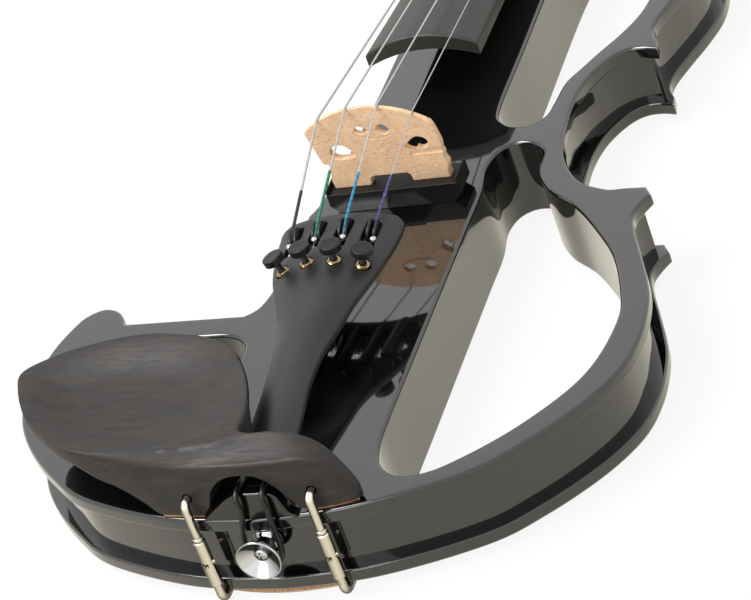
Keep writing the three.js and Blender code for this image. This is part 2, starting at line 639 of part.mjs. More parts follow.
const BUTTON_BORE = BUTTON_SCREW_RADIUS + FIT_GAP;
const BUTTON_BORE_END = RIB_INSET_DEPTH + BUTTON_SCREW_LENGTH + FIT_GAP;
const buttonBore = () =>
  rod(v3(0, -CUT_OVERRUN_LENGTH, BUTTON_Z), v3(0, BUTTON_BORE_END, BUTTON_Z), BUTTON_BORE, SMALL_SIDES);

function makeBody() {
  const whole = bodySolid();
  const reach = BODY_LENGTH + CUT_OVERRUN_LENGTH;
  const wide = BODY_HALF_WIDTH + CUT_OVERRUN_LENGTH;
  const low = BACK_Z - CUT_OVERRUN_LENGTH;
  const between = (left, right) =>
    whole.intersect(box(v3(left, -CUT_OVERRUN_LENGTH, low), v3(right, reach, CUT_OVERRUN_LENGTH)));
  const core = between(-BLOCK_HALF_WIDTH, BLOCK_HALF_WIDTH);
  const treble = between(BLOCK_HALF_WIDTH, wide);
  const bass = between(-wide, -BLOCK_HALF_WIDTH);
  const largest = (made) => made.decompose().sort((a, b) => b.volume() - a.volume())[0];
  place("centre_block", cut(core, bayCut(), sideHoles(), tenonCut(), buttonBore()), BLACK_LACQUER);
  place("treble_frame", largest(treble), BLACK_LACQUER);
  place("bass_wing", largest(cut(bass, sideHoles())), BLACK_LACQUER);
}

// Neck: heel, shaft, pegbox and scroll in one piece of wood
const PEGBOX_Y = NUT_Y + NUT_THICKNESS;
const SCROLL_Y = NUT_Y + SCROLL_FROM_NUT_LENGTH;
const SCROLL_Z = REST_Z + SCROLL_RADIUS;
const neckTop = (y) => boardBase(y) - FIT_GAP;
const pegboxRim = (y) => neckTop(PEGBOX_Y) - PEGBOX_RIM_FALL_HEIGHT * ((y - PEGBOX_Y) / (SCROLL_Y - PEGBOX_Y));
const pegAxisY = (peg) => PEGBOX_Y + PEG_FIRST_LENGTH + PEG_SPACING * peg;
const pegAxisZ = (peg) => pegboxRim(pegAxisY(peg)) - PEG_DEPTH;
const pegboxHalfWidth = (y) =>
  PEGBOX_START_HALF_WIDTH +
  (PEGBOX_END_HALF_WIDTH - PEGBOX_START_HALF_WIDTH) * ((y - PEGBOX_Y) / (SCROLL_Y - PEGBOX_Y));

function neckRing(y, top, depth, halfWidth) {
  const ring = [v3(halfWidth, y, top)];
  for (let i = 0; i <= ARC_STEPS; i++) {
    const angle = (Math.PI * i) / ARC_STEPS;
    const side = Math.sign(Math.cos(angle)) * Math.abs(Math.cos(angle)) ** 0.8;
    ring.push(v3(halfWidth * side, y, top - NECK_EDGE_HEIGHT - (depth - NECK_EDGE_HEIGHT) * Math.sin(angle)));
  }
  ring.push(v3(-halfWidth, y, top));
  return ring;
}

function neckShaft() {
  const heelEnd = BODY_LENGTH + HEEL_LENGTH;
  const rings = HEEL_SHARES.map(([along, deep]) => {
    const y = BODY_LENGTH + along * HEEL_LENGTH;
    const full = neckTop(y) - BACK_Z;
    const halfWidth = HEEL_HALF_WIDTH + (boardHalfWidth(heelEnd) - HEEL_HALF_WIDTH) * along;
    return neckRing(y, neckTop(y), NECK_HEEL_DEPTH + (full - NECK_HEEL_DEPTH) * deep, halfWidth);
  });
  rings.push(neckRing(PEGBOX_Y, neckTop(PEGBOX_Y), NECK_NUT_DEPTH, BOARD_NUT_HALF_WIDTH));
  return loft(rings);
}

const boxRing = (y, halfWidth, low, high) => [
  v3(halfWidth, y, high),
  v3(halfWidth, y, low),
  v3(-halfWidth, y, low),
  v3(-halfWidth, y, high),
];

function pegbox() {
  const chinY = PEGBOX_Y + PEGBOX_CHIN_LENGTH;
  const startLow = neckTop(PEGBOX_Y) - NECK_NUT_DEPTH;
  const chinLow = neckTop(PEGBOX_Y) - PEGBOX_CHIN_DEPTH;
  const throatY = SCROLL_Y - SCROLL_RADIUS / 2;
  const throatLow = REST_Z + (SCROLL_RADIUS - SCROLL_RADIUS * Math.cos(Math.PI / 6)) / 2;
  const half = (y) => pegboxHalfWidth(y);
  const rising = (PEGBOX_Y + chinY) / 2;
  const risingLow = (startLow + chinLow) / 2;
  const outer = loft([
    boxRing(PEGBOX_Y - CUT_OVERRUN_LENGTH, half(PEGBOX_Y), startLow, neckTop(PEGBOX_Y)),
    boxRing(PEGBOX_Y, half(PEGBOX_Y), startLow, pegboxRim(PEGBOX_Y)),
    boxRing(rising, half(chinY), risingLow - PEGBOX_WALL_THICKNESS, pegboxRim(rising)),
    boxRing(chinY, half(chinY), chinLow, pegboxRim(chinY)),
    boxRing(throatY, half(throatY), throatLow, pegboxRim(throatY)),
    boxRing(SCROLL_Y, SCROLL_THROAT_HALF_WIDTH, REST_Z, SCROLL_Z),
  ]);
  const start = PEGBOX_Y + PEGBOX_HOLLOW_START_LENGTH;
  const end = start + PEGBOX_HOLLOW_LENGTH;
  const hollow = (y, low) =>
    boxRing(y, half(y) - PEGBOX_WALL_THICKNESS, low + PEGBOX_FLOOR_THICKNESS, neckTop(start) + CUT_OVERRUN_LENGTH);
  const inner = loft([
    hollow(start, risingLow),
    hollow(chinY, chinLow),
    hollow(end, (chinLow + throatLow) / 2),
  ]);
  return { outer, inner };
}

// The volute: a spiral that steps outwards to both sides turn by turn, closed at its eyes
function volute() {
  const steps = SCROLL_STEPS * SCROLL_TURNS;
  const radius = (i) => SCROLL_RADIUS * SCROLL_DECAY_SHARE ** (i / SCROLL_STEPS);
  const halfWidth = (i) => {
    const rise = Math.min(i / (steps - SCROLL_STEPS), 1);
    return SCROLL_THROAT_HALF_WIDTH + (SCROLL_HALF_WIDTH - SCROLL_THROAT_HALF_WIDTH) * rise ** 1.15;
  };
  const positions = [];
  const corner = (i, at, side) => {
    const angle = -Math.PI / 2 + (2 * Math.PI * at) / SCROLL_STEPS;
    const y = SCROLL_Y + radius(at) * Math.cos(angle);
    const z = SCROLL_Z + radius(at) * Math.sin(angle);
    positions.push(side * halfWidth(i), y, z);
    return positions.length / 3 - 1;
  };
  const sides = [1, -1].map((side) => {
    const edge = [];
    const foot = [];
    for (let i = 0; i <= steps; i++) edge.push(corner(i, i, side));
    for (let i = 0; i <= steps - SCROLL_STEPS; i++) foot.push(corner(i, i + SCROLL_STEPS, side));
    return { edge, foot, eye: null };
  });
  const index = [];
  const face = (side, a, b, c, d) => {
    if (side === 0) index.push(a, b, c, a, c, d);
    else index.push(a, c, b, a, d, c);
  };
  sides.forEach(({ edge, foot }, side) => {
    const inner = steps - SCROLL_STEPS;
    for (let i = 0; i < inner; i++) {
      face(side, edge[i], edge[i + 1], foot[i + 1], foot[i]);
      face(side, foot[i], foot[i + 1], edge[i + 1 + SCROLL_STEPS], edge[i + SCROLL_STEPS]);
    }
    positions.push((side ? -1 : 1) * SCROLL_HALF_WIDTH, SCROLL_Y, SCROLL_Z);
    const eye = positions.length / 3 - 1;
    for (let i = inner; i < steps; i++) {
      if (side === 0) index.push(eye, edge[i], edge[i + 1]);
      else index.push(eye, edge[i + 1], edge[i]);
    }
    if (side === 0) index.push(eye, edge[steps], edge[inner]);
    else index.push(eye, edge[inner], edge[steps]);
  });
  const [right, left] = sides;
  for (let i = 0; i < SCROLL_STEPS; i++)
    face(0, right.edge[i], left.edge[i], left.edge[i + 1], right.edge[i + 1]);
  const first = SCROLL_STEPS;
  face(0, right.edge[0], right.foot[0], left.foot[0], left.edge[0]);
  face(0, right.foot[0], right.edge[first], left.edge[first], left.foot[0]);
  const geometry = new THREE.BufferGeometry();
  geometry.setAttribute("position", new THREE.Float32BufferAttribute(positions, 3));
  geometry.setIndex(index);
  return solid(geometry);
}

function makeNeck() {
  const { outer, inner } = pegbox();
  const tenonRing = (y) => boxRing(y, TENON_HALF_WIDTH, -TENON_DEPTH, neckTop(y));
  const tenon = loft([tenonRing(BODY_LENGTH - TENON_LENGTH), tenonRing(BODY_LENGTH + CUT_OVERRUN_LENGTH)]);
  const holes = STRINGS.map(({ peg }) =>
    rod(
      v3(-SCROLL_HALF_WIDTH, pegAxisY(peg), pegAxisZ(peg)),
      v3(SCROLL_HALF_WIDTH, pegAxisY(peg), pegAxisZ(peg)),
      PEG_RADIUS + RUN_GAP,
    ),
  );
  place("neck", cut(joined(neckShaft(), tenon, outer, volute()), inner, ...holes), BLACK_LACQUER);
}

function boardRing(y, hollow) {
  const half = boardHalfWidth(y);
  const base = boardBase(y);
  const ring = [];
  for (let i = 0; i <= ARC_STEPS; i++) {
    const x = half - (2 * half * i) / ARC_STEPS;
    ring.push(v3(x, y, base + BOARD_EDGE_HEIGHT + arcRise(x, half, BOARD_RADIUS)));
  }
  for (let i = 0; i <= ARC_STEPS; i++) {
    const x = -half + (2 * half * i) / ARC_STEPS;
    const share = 1 - (x / half) ** 2;
    ring.push(v3(x, y, base + hollow * BOARD_HOLLOW_DEPTH * share));
  }
  return ring.toReversed();
}

function makeFingerboard() {
  const start = NUT_Y - BOARD_LENGTH;
  const hollowEnd = BODY_LENGTH - TENON_LENGTH - BOARD_HOLLOW_FADE_LENGTH;
  const rings = [
    boardRing(start, 1),
    boardRing(hollowEnd, 1),
    boardRing(hollowEnd + BOARD_HOLLOW_FADE_LENGTH, 0),
    boardRing(NUT_Y - FIT_GAP, 0),
  ];
  place("fingerboard", loft(rings), EBONY);
}

const nutTop = (x) =>
  boardBase(NUT_Y) + BOARD_EDGE_HEIGHT + arcRise(x, BOARD_NUT_HALF_WIDTH, BOARD_RADIUS) + NUT_STEP_HEIGHT;

function makeNut() {
  const outline = [v2(BOARD_NUT_HALF_WIDTH, boardBase(NUT_Y)), v2(-BOARD_NUT_HALF_WIDTH, boardBase(NUT_Y))];
  for (let i = 0; i <= ARC_STEPS; i++) {
    const x = -BOARD_NUT_HALF_WIDTH + (2 * BOARD_NUT_HALF_WIDTH * i) / ARC_STEPS;
    outline.push(v2(x, nutTop(x)));
  }
  place("nut", extruded(outline, "y", NUT_Y, PEGBOX_Y - FIT_GAP), BONE);
}

// Bridge: feet, arch, kidneys that open to the sides, and a heart in two slots
const BRIDGE_HEIGHT = BRIDGE_CROWN_Z - PICKUP_SEAT_Z;
const bridgeTop = (x) => BRIDGE_CROWN_Z - arcDrop(x - BRIDGE_CROWN_X, BRIDGE_RADIUS);
const BRIDGE_SIDE_SHARES = [
  [0.915, 0], [0.925, 0.09], [0.87, 0.17], [0.885, 0.25], [0.945, 0.3], [0.78, 0.375], [0.66, 0.36],
  [0.52, 0.4], [0.46, 0.46], [0.5, 0.52], [0.62, 0.545], [0.78, 0.5], [0.86, 0.42], [0.93, 0.335],
  [0.985, 0.4], [1, 0.56], [1, 0.72],
];
const BRIDGE_TOP_SHARE = 0.97;
const BRIDGE_HEART_SHARES = [[0.05, 0.66], [0.17, 0.77], [0.28, 0.75], [0.24, 0.69], [0.13, 0.62]];

function makeBridge() {
  const along = (shares, side) =>
    shares.map(([x, z]) =>
      v2(BRIDGE_X + side * x * BRIDGE_SHOULDER_HALF_WIDTH, PICKUP_SEAT_Z + z * BRIDGE_HEIGHT),
    );
  const innerFoot = BRIDGE_FOOT_HALF_WIDTH - BRIDGE_FOOT_LENGTH;
  const archZ = PICKUP_SEAT_Z + BRIDGE_ARCH_HEIGHT;
  const inner = (side, z) => v2(BRIDGE_X + side * innerFoot, z);
  const right = [inner(1, archZ), inner(1, PICKUP_SEAT_Z), ...along(BRIDGE_SIDE_SHARES, 1)];
  const top = [];
  for (let i = 0; i <= ARC_STEPS; i++) {
    const x = BRIDGE_X + BRIDGE_SHOULDER_HALF_WIDTH * BRIDGE_TOP_SHARE * (1 - (2 * i) / ARC_STEPS);
    top.push(v2(x, bridgeTop(x)));
  }
  const left = along(BRIDGE_SIDE_SHARES, -1).toReversed();
  const outline = [...right, ...top, ...left, inner(-1, PICKUP_SEAT_Z), inner(-1, archZ)];
  const hearts = [1, -1].map((side) => along(BRIDGE_HEART_SHARES, side));
  const front = BRIDGE_Y - BRIDGE_FOOT_THICKNESS / 2;
  const back = BRIDGE_Y + BRIDGE_FOOT_THICKNESS / 2;
  const blank = extruded(outline, "y", front, back, hearts);
  const wedge = [
    v2(front, PICKUP_SEAT_Z),
    v2(back, PICKUP_SEAT_Z),
    v2(BRIDGE_Y + BRIDGE_TOP_THICKNESS / 2, BRIDGE_CROWN_Z + CUT_OVERRUN_LENGTH),
    v2(BRIDGE_Y - BRIDGE_TOP_THICKNESS / 2, BRIDGE_CROWN_Z + CUT_OVERRUN_LENGTH),
  ];
  const reach = BRIDGE_SHOULDER_HALF_WIDTH + CUT_OVERRUN_LENGTH;
  place("bridge", blank.intersect(extruded(wedge, "x", -reach, reach)), MAPLE);
}

function makePickup() {
  const half = PICKUP_HALF_LENGTH;
  const seat = half - PICKUP_LUG_WIDTH;
  const top = PICKUP_SEAT_Z + PICKUP_LUG_HEIGHT;
  const chamfer = PICKUP_CHAMFER_WIDTH;
  const side = (sign) => [
    v2(PICKUP_X + sign * (half - chamfer), 0),
    v2(PICKUP_X + sign * half, chamfer),
    v2(PICKUP_X + sign * half, top - PICKUP_LUG_HEIGHT / 2),
    v2(PICKUP_X + sign * (half - PICKUP_LUG_WIDTH / 3), top),
    v2(PICKUP_X + sign * seat, top),
    v2(PICKUP_X + sign * seat, PICKUP_SEAT_Z),
  ];
  const front = BRIDGE_Y - PICKUP_DEPTH / 2;
  const back = BRIDGE_Y + PICKUP_DEPTH / 2;
  place("bridge_pickup", extruded([...side(1), ...side(-1).toReversed()], "y", front, back), MATTE_BLACK);
}

// Tailpiece: an arched shell, hollow under its wide end
// Half width, crown and arch radius at any share of the tailpiece's length
function tailpieceAt(share) {
  const after = TAILPIECE_SHARES.findIndex((row) => row[0] >= share);
  const to = TAILPIECE_SHARES[Math.max(after, 1)];
  const from = TAILPIECE_SHARES[Math.max(after, 1) - 1];
  const mix = (i) => THREE.MathUtils.mapLinear(share, from[0], to[0], from[i], to[i]);
  return {
    half: mix(1) * TAILPIECE_HALF_WIDTH,
    crown: THREE.MathUtils.lerp(TAILPIECE_CROWN_START_Z, TAILPIECE_CROWN_END_Z, mix(2)),
    radius: mix(3) * TAILPIECE_ARC_RADIUS,
  };
}

function tailpieceTop(x, y) {
  const { crown, radius } = tailpieceAt((y - TAILPIECE_START_Y) / TAILPIECE_LENGTH);
  return crown - arcDrop(x, radius);
}

function tailpieceRing(share) {
  const y = TAILPIECE_START_Y + share * TAILPIECE_LENGTH;
  const { half, crown, radius } = tailpieceAt(share);
  const narrow = Math.max(1 - share / TAILPIECE_ROOT_SHARE, 0);
  const depth = THREE.MathUtils.lerp(TAILPIECE_WALL_THICKNESS, TAILPIECE_ROOT_DEPTH, narrow);
  const edge = crown - arcDrop(half, radius) - TAILPIECE_EDGE_HEIGHT;
  const ring = [];
  for (let i = 0; i <= ARC_STEPS; i++) {
    const x = half - (2 * half * i) / ARC_STEPS;
    ring.push(v3(x, y, crown - arcDrop(x, radius)));
  }
  for (let i = 0; i <= ARC_STEPS; i++) {
    const x = -half + (2 * half * i) / ARC_STEPS;
    const hollow = Math.max(crown - arcDrop(x, radius) - depth, edge);
    ring.push(v3(x, y, i === 0 || i === ARC_STEPS ? edge : hollow));
  }
  return ring.toReversed();
}

// The screws and hooks keep their distance from the wide end
const TAILPIECE_END_Y = TAILPIECE_START_Y + TAILPIECE_LENGTH;
const TUNER_SCREW_Y = TAILPIECE_END_Y - TUNER_SCREW_LENGTH;
const TUNER_HOOK_Y = TAILPIECE_END_Y - TUNER_HOOK_LENGTH;
const TUNER_SLOT_END = TAILPIECE_END_Y - TUNER_SLOT_END_LENGTH;

const TUNERS = STRINGS.map(({ name, place: spot }) => {
  const x = Math.abs(spot) > 1 ? Math.sign(spot) * TUNER_OUTER_X : Math.sign(spot) * TUNER_INNER_X;
  const seat = v3(x, TUNER_SCREW_Y, tailpieceTop(x, TUNER_SCREW_Y));
  return { name, x, seat, tilt: Math.asin(x / TUNER_FAN_RADIUS) };
});

// Turns a solid that was made upright over its seat to the fan angle of its tuner
function fanned(made, tuner) {
  const turn = new THREE.Matrix4().makeTranslation(tuner.seat);
  turn.multiply(new THREE.Matrix4().makeRotationY(tuner.tilt));
  turn.multiply(new THREE.Matrix4().makeTranslation(tuner.seat.clone().negate()));
  return made.transform(turn.toArray());
}

function tunerSlot(tuner) {
  const half = TUNER_SLOT_WIDTH / 2;
  const low = tuner.seat.z - TAILPIECE_ROOT_DEPTH * 2;
  const high = tuner.seat.z + TAILPIECE_ROOT_DEPTH;
  return fanned(
    box(v3(tuner.x - half, TUNER_SLOT_END - TUNER_SLOT_LENGTH, low), v3(tuner.x + half, TUNER_SLOT_END, high)),
    tuner,
  );
}

const bushHole = (tuner) =>
  fanned(
    rod(
      tuner.seat.clone().sub(v3(0, 0, TAILPIECE_ROOT_DEPTH)),
      tuner.seat.clone().add(v3(0, 0, TAILPIECE_ROOT_DEPTH)),
      TUNER_BUSH_RADIUS + FIT_GAP / 2,
      SMALL_SIDES,
    ),
    tuner,
  );

function makeTailpiece() {
  const shell = loft(TAILPIECE_SHARES.map(([share]) => tailpieceRing(share)));
  const gutHoles = [1, -1].map((side) =>
    rod(
      v3(side * GUT_HALF_SPACING, TAILPIECE_START_Y - CUT_OVERRUN_LENGTH, GUT_TAILPIECE_Z),
      v3(side * GUT_HALF_SPACING, TAILPIECE_START_Y + GUT_TAILPIECE_DEPTH + FIT_GAP, GUT_TAILPIECE_Z),
      GUT_DIAMETER / 2 + FIT_GAP,
      SMALL_SIDES,
    ),
  );
  const openings = [...TUNERS.map(tunerSlot), ...TUNERS.map(bushHole), ...gutHoles];
  place("tailpiece", cut(shell, ...openings), SATIN_BLACK);
}

// The lever hangs in its slot: a hook above the shell, and an arm below it back to the screw
const pivotZ = (tuner) =>
  tailpieceTop(tuner.x, TUNER_HOOK_Y) - TAILPIECE_WALL_THICKNESS - TUNER_EAR_RADIUS - FIT_GAP * 3;
const hookZ = (tuner) => tailpieceTop(tuner.x, TUNER_HOOK_Y) + TUNER_HOOK_HEIGHT;

function leverOutline(tuner) {
  const y = TUNER_HOOK_Y;
  const top = hookZ(tuner);
  const t = TUNER_LEVER_THICKNESS;
  const armZ = tuner.seat.z - TAILPIECE_WALL_THICKNESS - TUNER_ARM_DEPTH;
  return [
    v2(TUNER_SCREW_Y - t, armZ),
    v2(TUNER_SCREW_Y + t, armZ),
    v2(y + t / 2, armZ + t),
    v2(y + t, top - t),
    v2(y + t / 2, top - t / 2),
    v2(y, top - t),
    v2(y - t, top - t / 2),
    v2(y - t, armZ + 2 * t),
    v2(TUNER_SCREW_Y - t, armZ + t),
  ];
}

function makeTuner(tuner) {
  const { name, x, seat } = tuner;
  const half = TUNER_LEVER_WIDTH / 2;
  const up = (z) => seat.clone().add(v3(0, 0, z));
  const pivot = (side) => v3(x + side * TUNER_EAR_HALF_LENGTH, TUNER_HOOK_Y, pivotZ(tuner));
  const ears = rod(pivot(-1), pivot(1), TUNER_EAR_RADIUS, ROD_SIDES);
  const lever = extruded(leverOutline(tuner), "x", x - half, x + half).add(ears);
  const bushProfile = [
    [TUNER_BUSH_BORE_RADIUS, -TUNER_BUSH_DEPTH],
    [TUNER_BUSH_RADIUS, -TUNER_BUSH_DEPTH],
    [TUNER_BUSH_RADIUS, TUNER_BUSH_HEIGHT / 2],
    [TUNER_BUSH_RADIUS - TUNER_BUSH_HEIGHT / 2, TUNER_BUSH_HEIGHT],
    [TUNER_BUSH_BORE_RADIUS, TUNER_BUSH_HEIGHT],
    [TUNER_BUSH_BORE_RADIUS, -TUNER_BUSH_DEPTH],
  ];
  const armTop = -TAILPIECE_WALL_THICKNESS - TUNER_ARM_DEPTH + TUNER_LEVER_THICKNESS;
  const knobBase = TUNER_KNOB_HEIGHT;
  const screw = rod(up(armTop + FIT_GAP * 2), up(knobBase - FIT_GAP / 2), TUNER_SCREW_RADIUS, SMALL_SIDES);
  const bevel = TUNER_KNOB_THICKNESS / 6;
  const knobProfile = [
    [0, knobBase],
    [TUNER_KNOB_RADIUS - bevel, knobBase],
    [TUNER_KNOB_RADIUS, knobBase + bevel],
    [TUNER_KNOB_RADIUS, knobBase + TUNER_KNOB_THICKNESS - bevel],
    [TUNER_KNOB_RADIUS - bevel, knobBase + TUNER_KNOB_THICKNESS],
    [0, knobBase + TUNER_KNOB_THICKNESS],
  ];
  place(`tuner_lever_${name}`, fanned(lever, tuner), MATTE_BLACK);
  const upright = (profile) => fanned(turned(profile, seat, v3(0, 0, 1), SMALL_SIDES), tuner);
  place(`tuner_bush_${name}`, upright(bushProfile), BRASS);
  place(`tuner_screw_${name}`, fanned(screw, tuner), MATTE_BLACK);
  place(`tuner_knob_${name}`, upright(knobProfile), MATTE_BLACK);
}

// Saddle, tailgut and end button
const GUT_RADIUS = GUT_DIAMETER / 2;
const GUT_TAILPIECE_Z = TAILPIECE_CROWN_START_Z - TAILPIECE_ROOT_DEPTH / 2;

function makeSaddle() {
  const outline = SADDLE_SHARES.map(([x, z]) => v2(x * SADDLE_BASE_HALF_WIDTH, z * SADDLE_HEIGHT));
  place("saddle", extruded(outline, "y", SADDLE_Y, SADDLE_Y + SADDLE_DEPTH), EBONY);
}

// One strand comes over the saddle and down its face, round the button's neck, and back up
function makeTailgut() {
  const over = SADDLE_HEIGHT + GUT_RADIUS + FIT_GAP;
  const front = SADDLE_Y - GUT_RADIUS - FIT_GAP;
  const face = Math.min(front, -GUT_RADIUS - FIT_GAP);
  const loopY = -BUTTON_GAP_Y;
  const bow = GUT_LOOP_HALF_WIDTH;
  const strand = (side) => [
    v3(side * GUT_HALF_SPACING, TAILPIECE_START_Y + GUT_TAILPIECE_DEPTH, GUT_TAILPIECE_Z),
    v3(side * GUT_HALF_SPACING, TAILPIECE_START_Y - GUT_DIAMETER, GUT_TAILPIECE_Z),
    v3(GUT_X + side * GUT_HALF_SPACING, SADDLE_Y + SADDLE_DEPTH + GUT_RADIUS, over - GUT_RADIUS / 3),
    v3(GUT_X + side * GUT_HALF_SPACING, SADDLE_Y + SADDLE_DEPTH / 2, over + GUT_RADIUS / 4),
    v3(GUT_X + side * GUT_HALF_SPACING, face - GUT_RADIUS / 2, over - GUT_RADIUS),
    v3(GUT_X + side * GUT_HALF_SPACING, face - GUT_RADIUS / 3, SADDLE_HEIGHT / 2),
    v3(GUT_X / 2 + side * (GUT_HALF_SPACING + bow) / 2, face - GUT_RADIUS / 3, -GUT_DIAMETER),
    v3(side * bow, loopY, BUTTON_Z + BUTTON_RING_RADIUS / 2),
    v3(side * bow * 0.86, loopY, BUTTON_Z - bow * 0.55),
    v3(side * bow * 0.45, loopY, BUTTON_Z - bow),
  ];
  const turn = v3(0, loopY, BUTTON_Z - bow * 1.12);
  const route = smooth([...strand(1), turn, ...strand(-1).toReversed()], 2);
  place("tailgut", tube(route, GUT_RADIUS, GUT_SIDES), MATTE_BLACK);
}

// Button: base against the rib, ringed neck that carries the gut, flared and dished disc
const BUTTON_GAP_Y = BUTTON_NECK_LENGTH / 2 - RIB_INSET_DEPTH + BUTTON_BASE_LENGTH;

function makeButton() {
  const base = BUTTON_BASE_LENGTH;
  const neck = base + BUTTON_NECK_LENGTH;
  const rim = neck + BUTTON_FLARE_LENGTH;
  const bore = BUTTON_SCREW_RADIUS + FIT_GAP;
  const headBore = BUTTON_SCREW_HEAD_RADIUS + FIT_GAP;
  const profile = [
    [bore, 0],
    [BUTTON_BASE_RADIUS, 0],
    [BUTTON_BASE_RADIUS, base / 2],
    [BUTTON_NECK_RADIUS, base],
    [BUTTON_NECK_RADIUS, neck - BUTTON_RIM_WIDTH * 2],
    [BUTTON_RING_RADIUS, neck - BUTTON_RIM_WIDTH],
    [BUTTON_NECK_RADIUS, neck],
    [(BUTTON_NECK_RADIUS + BUTTON_RADIUS) / 2, neck + BUTTON_FLARE_LENGTH / 2],
    [BUTTON_RADIUS, rim - BUTTON_RIM_WIDTH],
    [BUTTON_RADIUS, rim],
    [headBore, rim - BUTTON_DISH_DEPTH],
    [headBore, rim - BUTTON_DISH_DEPTH * 1.6],
    [bore, rim - BUTTON_DISH_DEPTH * 1.6],
    [bore, 0],
  ];
  const seat = v3(0, RIB_INSET_DEPTH - FIT_GAP, BUTTON_Z);
  place("end_button", turned(profile, seat, v3(0, -1, 0)), CHROME);
  const headY = rim - BUTTON_DISH_DEPTH * 1.6 + FIT_GAP;
  const screw = [
    [0, -BUTTON_SCREW_LENGTH],
    [BUTTON_SCREW_RADIUS, -BUTTON_SCREW_LENGTH + BUTTON_SCREW_RADIUS * 2],
    [BUTTON_SCREW_RADIUS, headY],
    [BUTTON_SCREW_HEAD_RADIUS, headY],
    [BUTTON_SCREW_HEAD_RADIUS, headY + BUTTON_RIM_WIDTH],
    [0, headY + BUTTON_RIM_WIDTH * 1.4],
  ];
  const slot = BUTTON_SCREW_HEAD_RADIUS * 0.72;
  const narrow = slot / 4;
  const front = seat.y - headY - BUTTON_RIM_WIDTH * 0.5;
  const crossed = (halfX, halfZ) =>
    box(v3(-halfX, front - CUT_OVERRUN_LENGTH, BUTTON_Z - halfZ), v3(halfX, front, BUTTON_Z + halfZ));
  const blank = turned(screw, seat, v3(0, -1, 0), SMALL_SIDES);
  place("end_button_screw", cut(blank, crossed(slot, narrow), crossed(narrow, slot)), CHROME);
}

// Chinrest: a dished plate over the bass side, carried by an arm that spans the tailpiece
const planPoint = ([x, y]) => v2(-x * CHINREST_LENGTH, CHINREST_FRONT_Y + y * CHINREST_WIDTH);

// Front outline of the arm in x and z, with its feet and the arch over the saddle
function armOutline() {
  const foot = CORK_THICKNESS;
  const top = CHINREST_ARM_TOP_Z;
  const plate = CHINREST_PLATE_BASE_Z;
  const inner = SADDLE_BASE_HALF_WIDTH + FIT_GAP * 2;
  const lift = (share) => foot + (top - foot) * share;
  const arch = smoothFlat(ARCH_SHARES.map(([x, z]) => v2(x * SADDLE_BASE_HALF_WIDTH, z * top)));
  return [
    v2(-CHINREST_FOOT_OUTER_WIDTH, foot),
    v2(-inner, foot),
    ...arch,
    v2(inner, foot),
    v2(CHINREST_ARM_HALF_WIDTH, foot),
    v2(CHINREST_ARM_HALF_WIDTH * 0.985, lift(0.2)),
    v2(CHINREST_ARM_HALF_WIDTH * 0.92, lift(0.52)),
    v2(CHINREST_ARM_HALF_WIDTH * 0.82, lift(0.84)),
    v2(CHINREST_ARM_HALF_WIDTH * 0.66, lift(0.98)),
    v2(CHINREST_ARM_HALF_WIDTH * 0.5, top),
    v2(-CHINREST_LENGTH * 0.3, top),
    v2(-CHINREST_LENGTH * 0.45, (top + CHINREST_RIM_Z) / 2),
    v2(-CHINREST_LENGTH * 0.45, plate),
    v2(-CHINREST_LENGTH * 0.43, plate * 0.75),
  ];
}

// What lies outside the tail's edge moved inwards, which gives the arm its bowed front
function beyondTail(inset, top) {
  const tail = [...bassOutline.slice(1).toReversed(), ...trebleOutline].filter(
    (point) => Math.abs(point.x) < BODY_HALF_WIDTH * 0.62 && point.y < BODY_LENGTH / 4,
  );
  const strip = [...offsetLine(tail, -CUT_OVERRUN_LENGTH * 3), ...offsetLine(tail, inset).toReversed()];
  return extruded(strip, "z", -CUT_OVERRUN_LENGTH, top);
}

